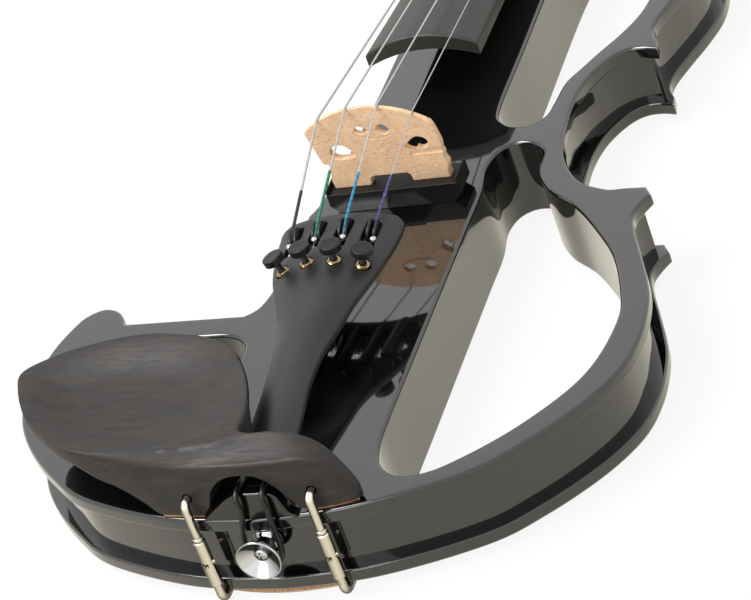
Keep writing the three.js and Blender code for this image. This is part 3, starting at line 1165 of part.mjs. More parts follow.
function makeChinrest() {
  const plan = CHINREST_PLAN_SHARES.map(planPoint).map((point) => v3(point.x, point.y, 0));
  const outline = smooth(plan, 2).map((point) => v2(point.x, point.y));
  const back = CHINREST_FRONT_Y + CHINREST_ARM_DEPTH;
  const base = CHINREST_PLATE_BASE_Z;
  const relief = box(
    v3(-CHINREST_LENGTH * 0.16, back + CUT_OVERRUN_LENGTH, base - CUT_OVERRUN_LENGTH),
    v3(0, CHINREST_FRONT_Y + CHINREST_WIDTH, base + CUT_OVERRUN_LENGTH * 1.2),
  );
  const plate = cut(extruded(outline, "z", CHINREST_PLATE_BASE_Z, CHINREST_RIM_Z), relief);
  const dishLength = CHINREST_LENGTH * 0.5;
  const dishWidth = CHINREST_WIDTH * 0.52;
  const dish = new THREE.SphereGeometry(1, SMALL_SIDES * 2, SMALL_SIDES);
  dish.scale(dishLength, dishWidth, CHINREST_DISH_DEPTH);
  dish.translate(-CHINREST_LENGTH * 0.5, CHINREST_FRONT_Y + CHINREST_WIDTH * 0.57, CHINREST_RIM_Z);
  const bar = cut(
    extruded(armOutline(), "y", CHINREST_FRONT_Y, back),
    beyondTail(CHINREST_SETBACK_DEPTH, CHINREST_ARM_TOP_Z - CUT_OVERRUN_LENGTH),
  );
  const trim = extruded(
    [
      v2(CHINREST_ARM_HALF_WIDTH * 0.45, back + CUT_OVERRUN_LENGTH),
      v2(CHINREST_ARM_HALF_WIDTH * 0.78, back - CHINREST_ARM_DEPTH * 0.3),
      v2(CHINREST_ARM_HALF_WIDTH + CUT_OVERRUN_LENGTH, CHINREST_FRONT_Y + CHINREST_ARM_DEPTH * 0.3),
      v2(CHINREST_ARM_HALF_WIDTH + CUT_OVERRUN_LENGTH, back + CUT_OVERRUN_LENGTH),
    ],
    "z",
    -CUT_OVERRUN_LENGTH,
    CHINREST_RIM_Z,
  );
  const holes = [1, -1].map((side) =>
    rod(
      v3(side * CLAMP_X, CHINREST_FRONT_Y - CUT_OVERRUN_LENGTH, CLAMP_HOOK_Z),
      v3(side * CLAMP_X, CHINREST_FRONT_Y + CLAMP_HOOK_DEPTH + FIT_GAP, CLAMP_HOOK_Z),
      CLAMP_ROD_RADIUS + FIT_GAP,
      SMALL_SIDES,
    ),
  );
  place("chinrest", cut(joined(plate, bar), solid(dish), trim, ...holes), DARK_WOOD);
  const corkStart = CHINREST_FRONT_Y + CORK_INSET_WIDTH;
  const corkEnd = back - CHINREST_ARM_DEPTH * 0.3;
  const corkInner = SADDLE_BASE_HALF_WIDTH + FIT_GAP * 3;
  const corkTrim = beyondTail(CHINREST_SETBACK_DEPTH + CORK_INSET_WIDTH / 2, CORK_THICKNESS * 2);
  const cork = (from, to) => cut(box(v3(from, corkStart, 0), v3(to, corkEnd, CORK_THICKNESS)), corkTrim);
  const outer = -CHINREST_FOOT_OUTER_WIDTH + CORK_INSET_WIDTH;
  place("chinrest_cork_bass", cork(outer, -corkInner), CORK);
  place("chinrest_cork_treble", cork(corkInner, CHINREST_ARM_HALF_WIDTH * 0.78), CORK);
}

// Clamp: two hooked rods with collars, two barrels that turn under them, and one foot under the back
const BARREL_BASE_Z = CLAMP_BARREL_TOP_Z - CLAMP_BARREL_LENGTH;
const COLLAR_BASE_Z = CLAMP_BARREL_TOP_Z + FIT_GAP;
const FOOT_TOP_Z = BACK_Z - CLAMP_FOOT_CORK_THICKNESS;

function makeClampSide(side, name) {
  const x = side * CLAMP_X;
  const bend = CLAMP_HOOK_BEND_RADIUS;
  const bendPoints = arc(CLAMP_Y + bend, CLAMP_HOOK_Z - bend, bend, Math.PI, Math.PI / 2, 4);
  const rodEnd = CLAMP_BARREL_TOP_Z - CLAMP_BORE_DEPTH + FIT_GAP;
  const hook = [
    v3(x, CLAMP_Y, rodEnd),
    ...bendPoints.map((point) => v3(x, point.x, point.y)),
    v3(x, CHINREST_FRONT_Y + CLAMP_HOOK_DEPTH, CLAMP_HOOK_Z),
  ];
  place(`clamp_hook_${name}`, tube(hook, CLAMP_ROD_RADIUS, ROD_SIDES), NICKEL);
  const at = (z) => v3(x, CLAMP_Y, z);
  const bore = CLAMP_ROD_RADIUS + RUN_GAP;
  const collar = cut(
    rod(at(COLLAR_BASE_Z), at(COLLAR_BASE_Z + CLAMP_COLLAR_LENGTH), CLAMP_COLLAR_RADIUS),
    rod(at(COLLAR_BASE_Z - CUT_OVERRUN_LENGTH), at(COLLAR_BASE_Z + CUT_OVERRUN_LENGTH), bore),
  );
  place(`clamp_collar_${name}`, collar, NICKEL);
  const keyReach = CLAMP_BARREL_RADIUS * 2;
  const keyHole = (way) => {
    const from = at(CLAMP_MIDDLE_Z).addScaledVector(way, -keyReach);
    const to = at(CLAMP_MIDDLE_Z).addScaledVector(way, keyReach);
    return rod(from, to, CLAMP_KEY_HOLE_RADIUS, ROD_SIDES);
  };
  const barrel = cut(
    rod(at(BARREL_BASE_Z), at(CLAMP_BARREL_TOP_Z), CLAMP_BARREL_RADIUS),
    rod(at(CLAMP_BARREL_TOP_Z - CLAMP_BORE_DEPTH), at(CLAMP_BARREL_TOP_Z + CUT_OVERRUN_LENGTH), bore),
    rod(at(BARREL_BASE_Z - CUT_OVERRUN_LENGTH), at(BARREL_BASE_Z + CLAMP_BORE_DEPTH), bore),
    keyHole(v3(1, 0, 0)),
    keyHole(v3(0, 1, 0)),
  );
  place(`clamp_barrel_${name}`, barrel, NICKEL);
}

const CLAMP_MIDDLE_Z = (CLAMP_BARREL_TOP_Z + BARREL_BASE_Z) / 2;

// Foot seen from above: a bowed tongue between the rods, and a wider strip behind them
function footPlan(inset) {
  const half = CLAMP_FOOT_HALF_LENGTH - inset;
  const tongue = CLAMP_X - CLAMP_ROD_RADIUS - FIT_GAP - inset;
  const shoulder = CLAMP_FOOT_SHOULDER_Y + inset;
  const front = CLAMP_FOOT_FRONT_Y + inset;
  const bow = [];
  for (let i = 0; i <= ARC_STEPS; i++) {
    const across = 1 - (2 * i) / ARC_STEPS;
    bow.push(v2(-tongue * across, front + (shoulder - front) * 0.4 * across ** 2));
  }
  const sideOf = (sign) => [
    v2(sign * tongue, shoulder),
    v2(sign * (half - shoulder / 2), shoulder),
    v2(sign * half, shoulder * 1.5),
    v2(sign * half, CLAMP_FOOT_BACK_Y - inset),
  ];
  return [...bow, ...sideOf(1), ...sideOf(-1).toReversed()];
}

function makeClampFoot() {
  const rodZ = REST_Z + CLAMP_ROD_RADIUS;
  const posts = [1, -1].map((side) => {
    const x = side * CLAMP_X;
    const bend = CLAMP_FOOT_BEND_RADIUS;
    const elbow = arc(CLAMP_Y + bend, rodZ + bend, bend, Math.PI, 1.5 * Math.PI, 4);
    const route = [
      v3(x, CLAMP_Y, BARREL_BASE_Z + CLAMP_BORE_DEPTH - FIT_GAP),
      ...elbow.map((point) => v3(x, point.x, point.y)),
      v3(x, CLAMP_FOOT_SHOULDER_Y - FIT_GAP, rodZ),
    ];
    return tube(route, CLAMP_ROD_RADIUS, ROD_SIDES);
  });
  const reach = CLAMP_ROD_RADIUS;
  const webs = [1, -1].map((side) =>
    box(
      v3(side * CLAMP_X - reach, CLAMP_FOOT_SHOULDER_Y / 2, REST_Z),
      v3(side * CLAMP_X + reach, CLAMP_FOOT_SHOULDER_Y + reach, FOOT_TOP_Z),
    ),
  );
  const bridged = box(
    v3(-CLAMP_X, CLAMP_FOOT_SHOULDER_Y + FIT_GAP, REST_Z),
    v3(CLAMP_X, CLAMP_FOOT_SHOULDER_Y + FIT_GAP * 6, FOOT_TOP_Z),
  );
  const plate = extruded(footPlan(FIT_GAP * 4), "z", REST_Z, FOOT_TOP_Z);
  place("clamp_foot", joined(plate, bridged, ...webs, ...posts), NICKEL);
  place("clamp_foot_cork", extruded(footPlan(0), "z", FOOT_TOP_Z, BACK_Z), CORK);
}

// Pegs and strings
function makePeg({ name, peg, side }) {
  const y = pegAxisY(peg);
  const z = pegAxisZ(peg);
  const wall = pegboxHalfWidth(y);
  const at = (x) => v3(side * x, y, z);
  const collarAt = wall + PEG_SHANK_LENGTH;
  const headAt = collarAt + PEG_COLLAR_LENGTH;
  const profile = [
    [0, -wall - PEG_END_HEIGHT],
    [PEG_RADIUS * 0.8, -wall - PEG_END_HEIGHT],
    [PEG_RADIUS, -wall],
    [PEG_RADIUS, collarAt],
    [PEG_COLLAR_RADIUS, collarAt + PEG_COLLAR_LENGTH / 4],
    [PEG_COLLAR_RADIUS, collarAt + PEG_COLLAR_LENGTH / 2],
    [PEG_RADIUS * 0.8, headAt],
    [PEG_RADIUS * 0.8, headAt + PEG_COLLAR_LENGTH],
    [0, headAt + PEG_COLLAR_LENGTH],
  ];
  const shaft = turned(profile, v3(0, y, z), v3(side, 0, 0));
  const head = new THREE.SphereGeometry(1, SMALL_SIDES, SMALL_SIDES / 2);
  head.rotateZ(Math.PI / 2);
  head.scale(PEG_HEAD_LENGTH / 2, PEG_HEAD_HALF_WIDTH, PEG_HEAD_HALF_THICKNESS);
  head.translate(...at(headAt + PEG_HEAD_LENGTH / 2));
  place(`peg_${name}`, joined(shaft, solid(head)), EBONY);
}

// The string leaves the winding at its top, so the helix starts there and runs to its peg's side
function windingRoute({ peg, side, diameter, place: spot }) {
  const radius = PEG_RADIUS + WINDING_CLEARANCE + diameter / 2;
  const z = pegAxisZ(peg);
  const y = pegAxisY(peg);
  const startX = side * (Math.abs(spot) > 1 ? WINDING_PITCH_LENGTH / 2 : -WINDING_PITCH_LENGTH);
  const points = [v3(startX, y - WINDING_TAIL_LENGTH, z + radius), v3(startX, y - WINDING_TAIL_LENGTH / 2, z + radius)];
  for (let i = 0; i <= WINDING_LOOPS * WINDING_STEPS; i++) {
    const angle = (2 * Math.PI * i) / WINDING_STEPS;
    const x = startX + (side * WINDING_PITCH_LENGTH * i) / WINDING_STEPS;
    points.push(v3(x, y + radius * Math.sin(angle), z + radius * Math.cos(angle)));
  }
  return points;
}

// Least distance between points of a route that lie at least half a loop apart, less its diameter
function leastSelfGap(points, diameter) {
  let least = Infinity;
  for (let i = 0; i < points.length; i++)
    for (let j = i + WINDING_STEPS / 2; j < points.length; j++)
      least = Math.min(least, points[i].distanceTo(points[j]) - diameter);
  return least;
}

function makeString(string) {
  const { name, place: spot, diameter } = string;
  const radius = diameter / 2;
  const tuner = TUNERS.find((each) => each.name === name);
  const lean = Math.sin(tuner.tilt) * (hookZ(tuner) - tuner.seat.z);
  const nutX = spot * STRING_SPACING_NUT;
  const bridgeX = STRING_CENTRE_X + spot * STRING_SPACING_BRIDGE;
  const winding = windingRoute(string);
  const tail = winding[0];
  const lift = radius + STRING_LIFT_HEIGHT;
  const nutZ = nutTop(nutX) + lift;
  const half = BRIDGE_TOP_THICKNESS / 2;
  const hookY = TUNER_HOOK_Y + TUNER_LEVER_THICKNESS + FIT_GAP;
  const points = [
    v3(tuner.x + lean, hookY, hookZ(tuner) - TUNER_LEVER_THICKNESS / 2),
    v3(bridgeX, BRIDGE_Y - half, bridgeTop(bridgeX) + lift),
    v3(bridgeX, BRIDGE_Y + half, bridgeTop(bridgeX) + lift),
    v3(nutX, NUT_Y, nutZ),
    v3(nutX, PEGBOX_Y, nutZ),
    v3(tail.x, tail.y - WINDING_TAIL_GAP, tail.z + WINDING_TAIL_GAP / 2),
  ];
  place(`string_${name}`, tube(points, radius), STEEL);
  place(`winding_${name}`, tube(winding, radius), STEEL);
  console.log(`winding_${name} least gap to itself: ${leastSelfGap(winding, diameter).toFixed(2)} mm`);
}

// Electronics
function makeCovers() {
  const cover = (name, halfWidth, start, end) => {
    const margin = COVER_MARGIN_WIDTH - FIT_GAP;
    const low = v3(-halfWidth - margin, start - margin, BACK_Z);
    const high = v3(halfWidth + margin, end + margin, BACK_Z + COVER_THICKNESS);
    place(name, box(low, high), MATTE_BLACK);
  };
  cover("back_cover", BAY_HALF_WIDTH, BAY_START_Y, BAY_END_Y);
  cover("battery_door", BATTERY_BAY_HALF_WIDTH, BATTERY_BAY_Y, BATTERY_BAY_END);
  const half = BATTERY_WIDTH / 2;
  const start = BATTERY_BAY_Y + FIT_GAP;
  const low = BACK_Z + COVER_THICKNESS + FIT_GAP;
  const high = v3(half, start + BATTERY_LENGTH, low + BATTERY_HEIGHT);
  place("battery", box(v3(-half, start, low), high), SATIN_BLACK);
}

function makeBoard() {
  const low = BACK_Z + COVER_THICKNESS + FIT_GAP;
  const wall = -BAY_HALF_WIDTH + FIT_GAP;
  const margin = BOARD_PLATE_MARGIN_WIDTH;
  const plateStart = JACK_Y + JACK_RADIUS + margin;
  const plate = box(
    v3(wall, plateStart, low),
    v3(BAY_HALF_WIDTH - margin, BAY_END_Y - margin, low + BOARD_PLATE_THICKNESS),
  );
  const housing = (y, length) =>
    box(
      v3(wall, y - length / 2, low),
      v3(wall + POT_DEPTH, y + length / 2, CONTROL_Z + POT_WIDTH / 2),
    );
  const lead = box(
    v3(-POT_WIDTH / 2, BAY_END_Y - POT_WIDTH - margin, low),
    v3(POT_WIDTH / 2, BAY_END_Y - margin, low + POT_WIDTH),
  );
  const pots = [VOLUME_Y, TONE_Y].map((y) => housing(y, POT_WIDTH));
  place("circuit_board", joined(plate, ...pots, housing(SWITCH_Y, POT_WIDTH * 0.9), lead), BOARD_GREEN);
}

function makeKnob(name, y) {
  const outer = -PLANK_HALF_WIDTH - KNOB_GAP;
  const inner = -BAY_HALF_WIDTH;
  const bevel = KNOB_GAP;
  const profile = [
    [0, 0],
    [KNOB_SHAFT_RADIUS, 0],
    [KNOB_SHAFT_RADIUS, inner - outer],
    [KNOB_RADIUS, inner - outer],
    [KNOB_RADIUS, inner - outer + KNOB_LENGTH - bevel],
    [KNOB_RADIUS - bevel, inner - outer + KNOB_LENGTH],
    [0, inner - outer + KNOB_LENGTH],
  ];
  place(name, turned(profile, v3(inner, y, CONTROL_Z), v3(-1, 0, 0)), SATIN_BLACK);
}

function makeSwitch() {
  const halfHeight = SWITCH_HEIGHT / 2;
  const halfLength = SWITCH_LENGTH / 2;
  const low = v3(-PLANK_HALF_WIDTH - SWITCH_STAND_HEIGHT, SWITCH_Y - halfLength, CONTROL_Z - halfHeight);
  const high = v3(-BAY_HALF_WIDTH, SWITCH_Y + halfLength, CONTROL_Z + halfHeight);
  place("power_switch", box(low, high), SATIN_BLACK);
}

function makeJack() {
  const face = -PLANK_HALF_WIDTH;
  const at = (x) => v3(x, JACK_Y, CONTROL_Z);
  const body = joined(
    rod(at(face - JACK_FLANGE_THICKNESS), at(face - FIT_GAP / 3), JACK_FLANGE_RADIUS),
    rod(at(face - FIT_GAP), at(face + JACK_LENGTH), JACK_RADIUS),
  );
  const bore = rod(at(face - CUT_OVERRUN_LENGTH), at(face + JACK_LENGTH * 0.85), JACK_BORE_RADIUS);
  place("output_jack", cut(body, bore), MATTE_BLACK);
}

makeBody();
makeNeck();
makeFingerboard();
makeNut();
makeBridge();
makePickup();
makeTailpiece();
TUNERS.forEach(makeTuner);
makeSaddle();
makeTailgut();
makeButton();
makeChinrest();
makeClampSide(-1, "bass");
makeClampSide(1, "treble");
makeClampFoot();
STRINGS.forEach(makePeg);
STRINGS.forEach(makeString);
makeCovers();
makeBoard();
makeKnob("volume_knob", VOLUME_Y);
makeKnob("tone_knob", TONE_Y);
makeSwitch();
makeJack();

// The part's origin is under the middle of its bounding box, on the plane it rests on
const bounds = new THREE.Box3().setFromObject(pieces);
const middle = bounds.getCenter(new THREE.Vector3());
pieces.position.set(-middle.x, -middle.y, -bounds.min.z);

const electricViolin = new THREE.Group();
electricViolin.name = "electric_violin";
electricViolin.add(pieces);

export default electricViolin;
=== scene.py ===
"""Electric violin with a skeleton body, built piece by piece round its frame of parts.

Sizes are millimetres in the maker's own frame: x to the treble side, y from the tail to the
scroll, z up from the flat top of the body. The function at() turns them into the scene's metres.
"""

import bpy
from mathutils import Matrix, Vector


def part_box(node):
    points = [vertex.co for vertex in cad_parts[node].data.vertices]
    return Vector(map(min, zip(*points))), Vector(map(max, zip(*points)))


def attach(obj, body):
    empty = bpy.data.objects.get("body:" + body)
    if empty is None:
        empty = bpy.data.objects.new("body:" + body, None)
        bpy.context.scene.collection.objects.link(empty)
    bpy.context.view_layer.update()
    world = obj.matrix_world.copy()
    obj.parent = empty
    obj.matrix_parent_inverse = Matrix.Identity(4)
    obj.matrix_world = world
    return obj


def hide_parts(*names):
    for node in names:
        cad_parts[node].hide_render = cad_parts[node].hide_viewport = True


bl_info = {
    "name": "Electric Violin",
    "version": (1, 0, 0),
    "blender": (4, 5, 0),
    "location": "View3D > Sidebar > Violin",
    "description": "Builds a skeleton-bodied electric violin round its frame of moving parts",
    "category": "Add Mesh",
}

import math

import bmesh
import bpy
import numpy as np
from bpy.props import FloatProperty, FloatVectorProperty, IntProperty, PointerProperty
from mathutils import Matrix, Vector
from mathutils.geometry import delaunay_2d_cdt

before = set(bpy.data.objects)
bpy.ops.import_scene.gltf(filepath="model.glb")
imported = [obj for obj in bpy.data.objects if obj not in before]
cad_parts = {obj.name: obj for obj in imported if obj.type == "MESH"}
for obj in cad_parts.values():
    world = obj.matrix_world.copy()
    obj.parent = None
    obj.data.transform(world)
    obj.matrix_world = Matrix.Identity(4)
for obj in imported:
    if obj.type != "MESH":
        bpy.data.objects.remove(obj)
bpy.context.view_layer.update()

MM = 0.001
# A wave texture's phase runs this many radians per unit, and most of a noise lies in the middle
WAVE_RATE = 20
PATTERN_MIDDLE = (0.35, 0.65)

# Body
BODY_LENGTH = 360
BODY_HALF_WIDTH = 105.6
BODY_THICKNESS = 28.5
BLOCK_HALF_WIDTH = 25
PLANK_HALF_WIDTH = 31
PLANK_WAIST_START = 0.439 * BODY_LENGTH
PLANK_WAIST_END = 0.639 * BODY_LENGTH
BACK_Z = -BODY_THICKNESS
FIT_GAP = 0.3
BODY_POINT_SPACING = 1.6
WAIST_SHOULDER_LENGTH = 9.8
# Rounding of the plates' inner edges at the groove's ends and along it, and the points between
UNDER_EDGES = (0.02, 0.8)
UNDER_FADE_POINTS = 5
PLAIN_SIDE_INSET = 0.05
# The ribs' line drops its points that lie nearer to the outline than this share of its depth
RIB_TRIM_SHARE = 0.97

# Meshes: limit of a mitred corner, rows and clearance of a face's inner points, as shares of
# their spacing, and the square of the room that a crease keeps from the rim
MITRE_LIMIT = 0.6
GRID_ROW_SHARE = 0.87
RIM_ROOM_SHARE = 0.55
CREASE_ROOM_SQUARED = 0.5

# Neck, fingerboard and nut
BRIDGE_Y = 165
NUT_Y = 493
NUT_THICKNESS = 5.5
NUT_STEP_HEIGHT = 0.35
BOARD_START_Y = 223
BOARD_TAPER_SHARE = 0.0326
BOARD_NUT_HALF_WIDTH = 12
BOARD_EDGE_HEIGHT = 5.3
BOARD_RADIUS = 42
BOARD_SLOPE_SHARE = 0.0656
BOARD_NUT_BASE_Z = -1.7
BOARD_HOLLOW_DEPTH = 4.6
BOARD_HOLLOW_END_Y = 330
NECK_NUT_DEPTH = 12
NECK_HEEL_DEPTH = 13.6
NECK_EDGE_HEIGHT = 2.3
HEEL_LENGTH = 32
HEEL_HALF_WIDTH = 15.5
TENON_HALF_WIDTH = 13
TENON_LENGTH = 18
NECK_ROUNDNESS = 0.8
BOARD_HOLLOW_FADE = 12
# How far the nut's crown falls behind, how far back the fall starts and over how much it runs
NUT_FALL = (0.25, 3, 2.2)

# Pegbox, scroll and pegs
PEGBOX_Y = NUT_Y + NUT_THICKNESS
PEGBOX_START_HALF_WIDTH = 12
PEGBOX_END_HALF_WIDTH = 8.5
PEGBOX_WALL_THICKNESS = 4
PEGBOX_CHIN_DEPTH = 24
PEGBOX_CHIN_LENGTH = 20
PEGBOX_FLOOR_THICKNESS = 4.6
PEGBOX_HOLLOW_START = 4
PEGBOX_HOLLOW_LENGTH = 60
PEGBOX_RIM_FALL = 5.5
SCROLL_Y = NUT_Y + 89
SCROLL_RADIUS = 18
SCROLL_HALF_WIDTH = 20
SCROLL_THROAT_HALF_WIDTH = 6.5
SCROLL_TURNS = 2.5
SCROLL_DECAY_SHARE = 0.589
SCROLL_SPREAD_POWER = 1.15
PEGBOX_OVERLAP = 2
PEGBOX_THROAT_RISE = 1.2
# Rounding of the pegbox's sides below and above, and the depth and length of the change
PEGBOX_EDGES = (3.4, 0.8)
PEGBOX_EDGE_DEPTH = 9
PEGBOX_EDGE_FADE = 7
REST_Z = BACK_Z - 3.1
SCROLL_Z = REST_Z + SCROLL_RADIUS
PEG_RADIUS = 3.4
PEG_DEPTH = 9
PEG_FIRST_LENGTH = 17
PEG_SPACING = 12.6
PEG_COLLAR_RADIUS = 5.2
PEG_COLLAR_LENGTH = 4
PEG_SHANK_LENGTH = 10
PEG_HEAD_LENGTH = 20
PEG_HEAD_HALF_WIDTH = 11.5
PEG_HEAD_HALF_THICKNESS = 3.9
PEG_CLEARANCE = 0.1
PEG_TAPER_SHARE = 0.8
# Depth of the head's hollow as a share of its thickness, and its fall across and along
PEG_HOLLOW_SHARE = 0.3
PEG_HOLLOW_FALL = (1.6, 1.4)

# Strings
STRING_SPACING_NUT = 5.5
STRING_SPACING_BRIDGE = 11.2
STRING_CENTRE_X = -0.5
STRING_LIFT = 0.12
WINDING_PITCH = 1.3
WINDING_CLEARANCE = 0.12
WINDING_TAIL = 3.4
WINDING_LOOPS = 4

# Bridge and the pickup block under it
PICKUP_X = 2.5
PICKUP_HALF_LENGTH = 23.7
PICKUP_DEPTH = 12
PICKUP_SEAT_Z = 7.4
PICKUP_LUG_HEIGHT = 1.8
PICKUP_LUG_WIDTH = 0.7
PICKUP_CHAMFER = 3
BRIDGE_CROWN_X = -1.6
BRIDGE_CROWN_Z = 37.4
BRIDGE_RADIUS = 36.5
BRIDGE_CROWN_ENDS = (21.6, -22.6)
BRIDGE_GROOVE_RADIUS = 0.42
BRIDGE_GROOVE_OFFSET = 0.1
BRIDGE_NOTCH_HALF_LENGTH = 0.75

# Tailpiece and fine tuners
TAILPIECE_START_Y = 17
TAILPIECE_LENGTH = 107
TAILPIECE_HALF_WIDTH = 21.4
TAILPIECE_CROWN_START_Z = 10.6
TAILPIECE_CROWN_END_Z = 24.6
TAILPIECE_ARC_RADIUS = 30
TAILPIECE_EDGE = 2.2
TAILPIECE_WALL = 3
TAILPIECE_ROOT_DEPTH = 7
TAILPIECE_ROOT_SHARE = 0.45
TUNER_SCREW_Y = 98.2
TUNER_HOOK_Y = 115.4
TUNER_OUTER_X = 13.9
TUNER_INNER_X = 4.8
TUNER_FAN_RADIUS = 52
TUNER_SLOT_WIDTH = 4.6
TUNER_SLOT_START = 104.5
TUNER_SLOT_END = 119
TUNER_BUSH_RADIUS = 2.3
TUNER_BUSH_BORE = 1.35
TUNER_SCREW_RADIUS = 1.1
TUNER_KNOB_RADIUS = 3.65
TUNER_KNOB_THICKNESS = 2.5
TUNER_KNOB_HEIGHT = 4.2
TUNER_HOOK_HEIGHT = 2.9
TUNER_LEVER_THICKNESS = 2
TUNER_LEVER_HALF_WIDTH = 1.6
TUNER_ARM_DEPTH = 5.2
TUNER_EAR_RADIUS = 0.9
TUNER_FORK_GAP = 1.2
TUNER_SLOT_SHIFT_Y = 0.8
BALL_RADIUS = 1.25
TUNER_EAR_HALF_LENGTH = 3.3
TUNER_THREAD_TURNS = 18
TUNER_THREAD_DEPTH = 0.13
TUNER_DISH_DEPTH = 0.12
TUNER_DISH_RADIUS = 2.6
TUNER_BUSH_CLEARANCE = 0.05
# The ball end and the bend over the lever: along and up from the lever's crest
BALL_PLACE = (-4.4, -4)
HOOK_PLACE = (1.2, -1.7)

# Saddle, tailgut and end button
SADDLE_Y = 0.4
SADDLE_DEPTH = 4.6
SADDLE_HEIGHT = 9.6
SADDLE_HALF_WIDTH = 16.6
GUT_RADIUS = 0.95
GUT_BORE_RADIUS = 1.25
GUT_BORE_DEPTH = 7.3
GUT_X = 1.9
GUT_HALF_SPACING = 4.3
GUT_LOOP = 5.6
GUT_LOOP_Y = -1.2
GUT_Z = TAILPIECE_CROWN_START_Z - TAILPIECE_ROOT_DEPTH / 2
BUTTON_Z = -10.2
BUTTON_RADIUS = 7.3
BUTTON_NECK_RADIUS = 3.1
BUTTON_SEAT_Y = 3.2
BUTTON_SCREW = [
    (0, -24), (1.3, -21.4), (1.3, 7.28), (2, 7.28), (2, 7.9), (1.7, 8.15), (0.9, 8.3), (0, 8.35),
]
BUTTON_SCREW_HEIGHT = 7.75
BUTTON_CROSS = (1.45, 0.32)

# Chinrest and its clamp
CHINREST_BASE_Z = 13
CHINREST_DISH_DEPTH = 6
CHINREST_BEVEL = 8.4
# Width over which the dish falls from its rim, and the oval that it fills
CHINREST_LIP = 17
DISH_CENTRE = (-45.5, 36)
DISH_REACH = (46, 32)
DISH_FULLNESS = 0.85
RIDGE_ENDS = (-62, 1)
# How much higher the plate's underside stands beside the arch than over the feet
PLATE_RISE = 2.4
# Rounding of the plate's upper rim at its far side and elsewhere, and of its plain lower rim
RIM_EDGES = (0.5, 1.1)
LOW_RIM_EDGE = 0.5
CORK_THICKNESS = 0.9
CLAMP_X = 20.5
CLAMP_Y = -1
CLAMP_ROD_RADIUS = 1.4
CLAMP_BARREL_RADIUS = 2.1
CLAMP_BARREL_TOP_Z = -5.8
CLAMP_BARREL_BASE_Z = -23.2
CLAMP_BORE_DEPTH = 6.5
CLAMP_HOOK_Z = 8
CLAMP_HOOK_BEND = 1.9
CLAMP_FOOT_BEND = 3.2
CLAMP_HOOK_BORE_DEPTH = 9.3
CLAMP_HOOK_END_Y = 8
CLAMP_POST_END_Y = 8.4
CLAMP_HOLE_RADIUS = 1
CLAMP_COLLAR = [(1.5, 0), (1.7, 0), (1.85, 0.15), (1.85, 1.1), (1.65, 1.3), (1.5, 1.3), (1.5, 0)]
# Edges of the foot from above: shoulder, bowed front and back
CLAMP_FOOT_EDGES = (6.5, 1.3, 16)
CLAMP_PLATE_MARGIN = 1.2
CLAMP_FOOT_BOW_SHARE = 0.4
CLAMP_FOOT_HALF_LENGTH = 30
FOOT_TOP_Z = BACK_Z - 1.5

# Electronics
CONTROL_Z = -17
CONTROL_SEAT_X = -19
KNOB_SHAFT_LENGTH = 12.6
# The ribs of a knob's grip: width, depth and length of each, their ring and its place
KNOB_RIB = (0.42, 0.6, 4.4)
KNOB_RIB_RADIUS = 4.78
KNOB_RIB_DISTANCE = 3.3
# How far the switch stands out, and half its length and height
SWITCH_REACH = 1.6
SWITCH_HALF = (2.5, 1.5)
SOCKET_DEPTH = 27
SOCKET_PROFILE = [
    (0, 0), (6.2, 0), (6.2, 27), (7.6, 27.1), (7.6, 27.9), (7.1, 28.5), (4.4, 28.5), (3.9, 28.2),
    (3.3, 27.6), (3.3, 4.05), (0, 4.05),
]
TONE_Y = 126.19
VOLUME_Y = 138.79
SWITCH_Y = 151.99
JACK_Y = 73.08
# Place along the body and radius of each hole through its side, and half the switch's slot
CONTROL_BORES = ((TONE_Y, 2.8), (VOLUME_Y, 2.8), (JACK_Y, 6.5))
CONTROL_BORE_END_X = -17
SWITCH_SLOT = (5.3, 1.8)
# Each bay's half width, start and end along the body
BAY = (19, 58.08, 157.99)
BATTERY_BAY = (13.55, 205.99, 255.09)
BAY_DEPTH = 20.5
BATTERY_DEPTH = 19.8
COVER_THICKNESS = 2
COVER_MARGIN = 2.6
COVER_SCREW_MARGIN = 3
COVER_SINK = [(0, -1), (2.1, -1), (2.1, 0.15), (1, 1.2), (0, 1.2)]
COVER_SCREW = [(0, 0.35), (1.55, 0.2), (1.75, 0.42), (0.95, 1.25), (0, 1.3)]

# Outlines as shares of the body's half width and length, corner to corner. The openings and the
# wing's fillet count their width from the edge of the centre block beside them.
LOWER_BOUT_SHARES = [
    (0, 0), (0.284, 0.009), (0.596, 0.042), (0.751, 0.077), (0.895, 0.1255), (0.978, 0.172),
    (1, 0.217), (0.989, 0.2615), (0.964, 0.2915), (0.907, 0.337), (0.8645, 0.3695),
    (0.845, 0.392), (0.855, 0.408), (0.877, 0.424),
]
C_BOUT_SHARES = [
    (0.853, 0.4365), (0.78, 0.438), (0.718, 0.4395), (0.611, 0.46), (0.5255, 0.5085),
    (0.496, 0.575), (0.51, 0.621), (0.555, 0.653), (0.606, 0.669), (0.662, 0.6715),
    (0.7215, 0.667),
]
UPPER_BOUT_SHARES = [
    (0.713, 0.6815), (0.6855, 0.7), (0.6875, 0.7215), (0.715, 0.7515), (0.7575, 0.793),
    (0.781, 0.833), (0.762, 0.883), (0.682, 0.936), (0.53, 0.9735), (0.36, 0.993), (0.246, 1),
]
WING_END_SHARES = [
    (0.964, 0.2915), (0.9355, 0.311), (0.888, 0.3225), (0.8455, 0.3225), (0.806, 0.315),
    (0.765, 0.2965),
]
WING_FILLET_SHARES = [(0.084, 0.293), (0.037, 0.301), (0.013, 0.3136), (0, 0.3283)]
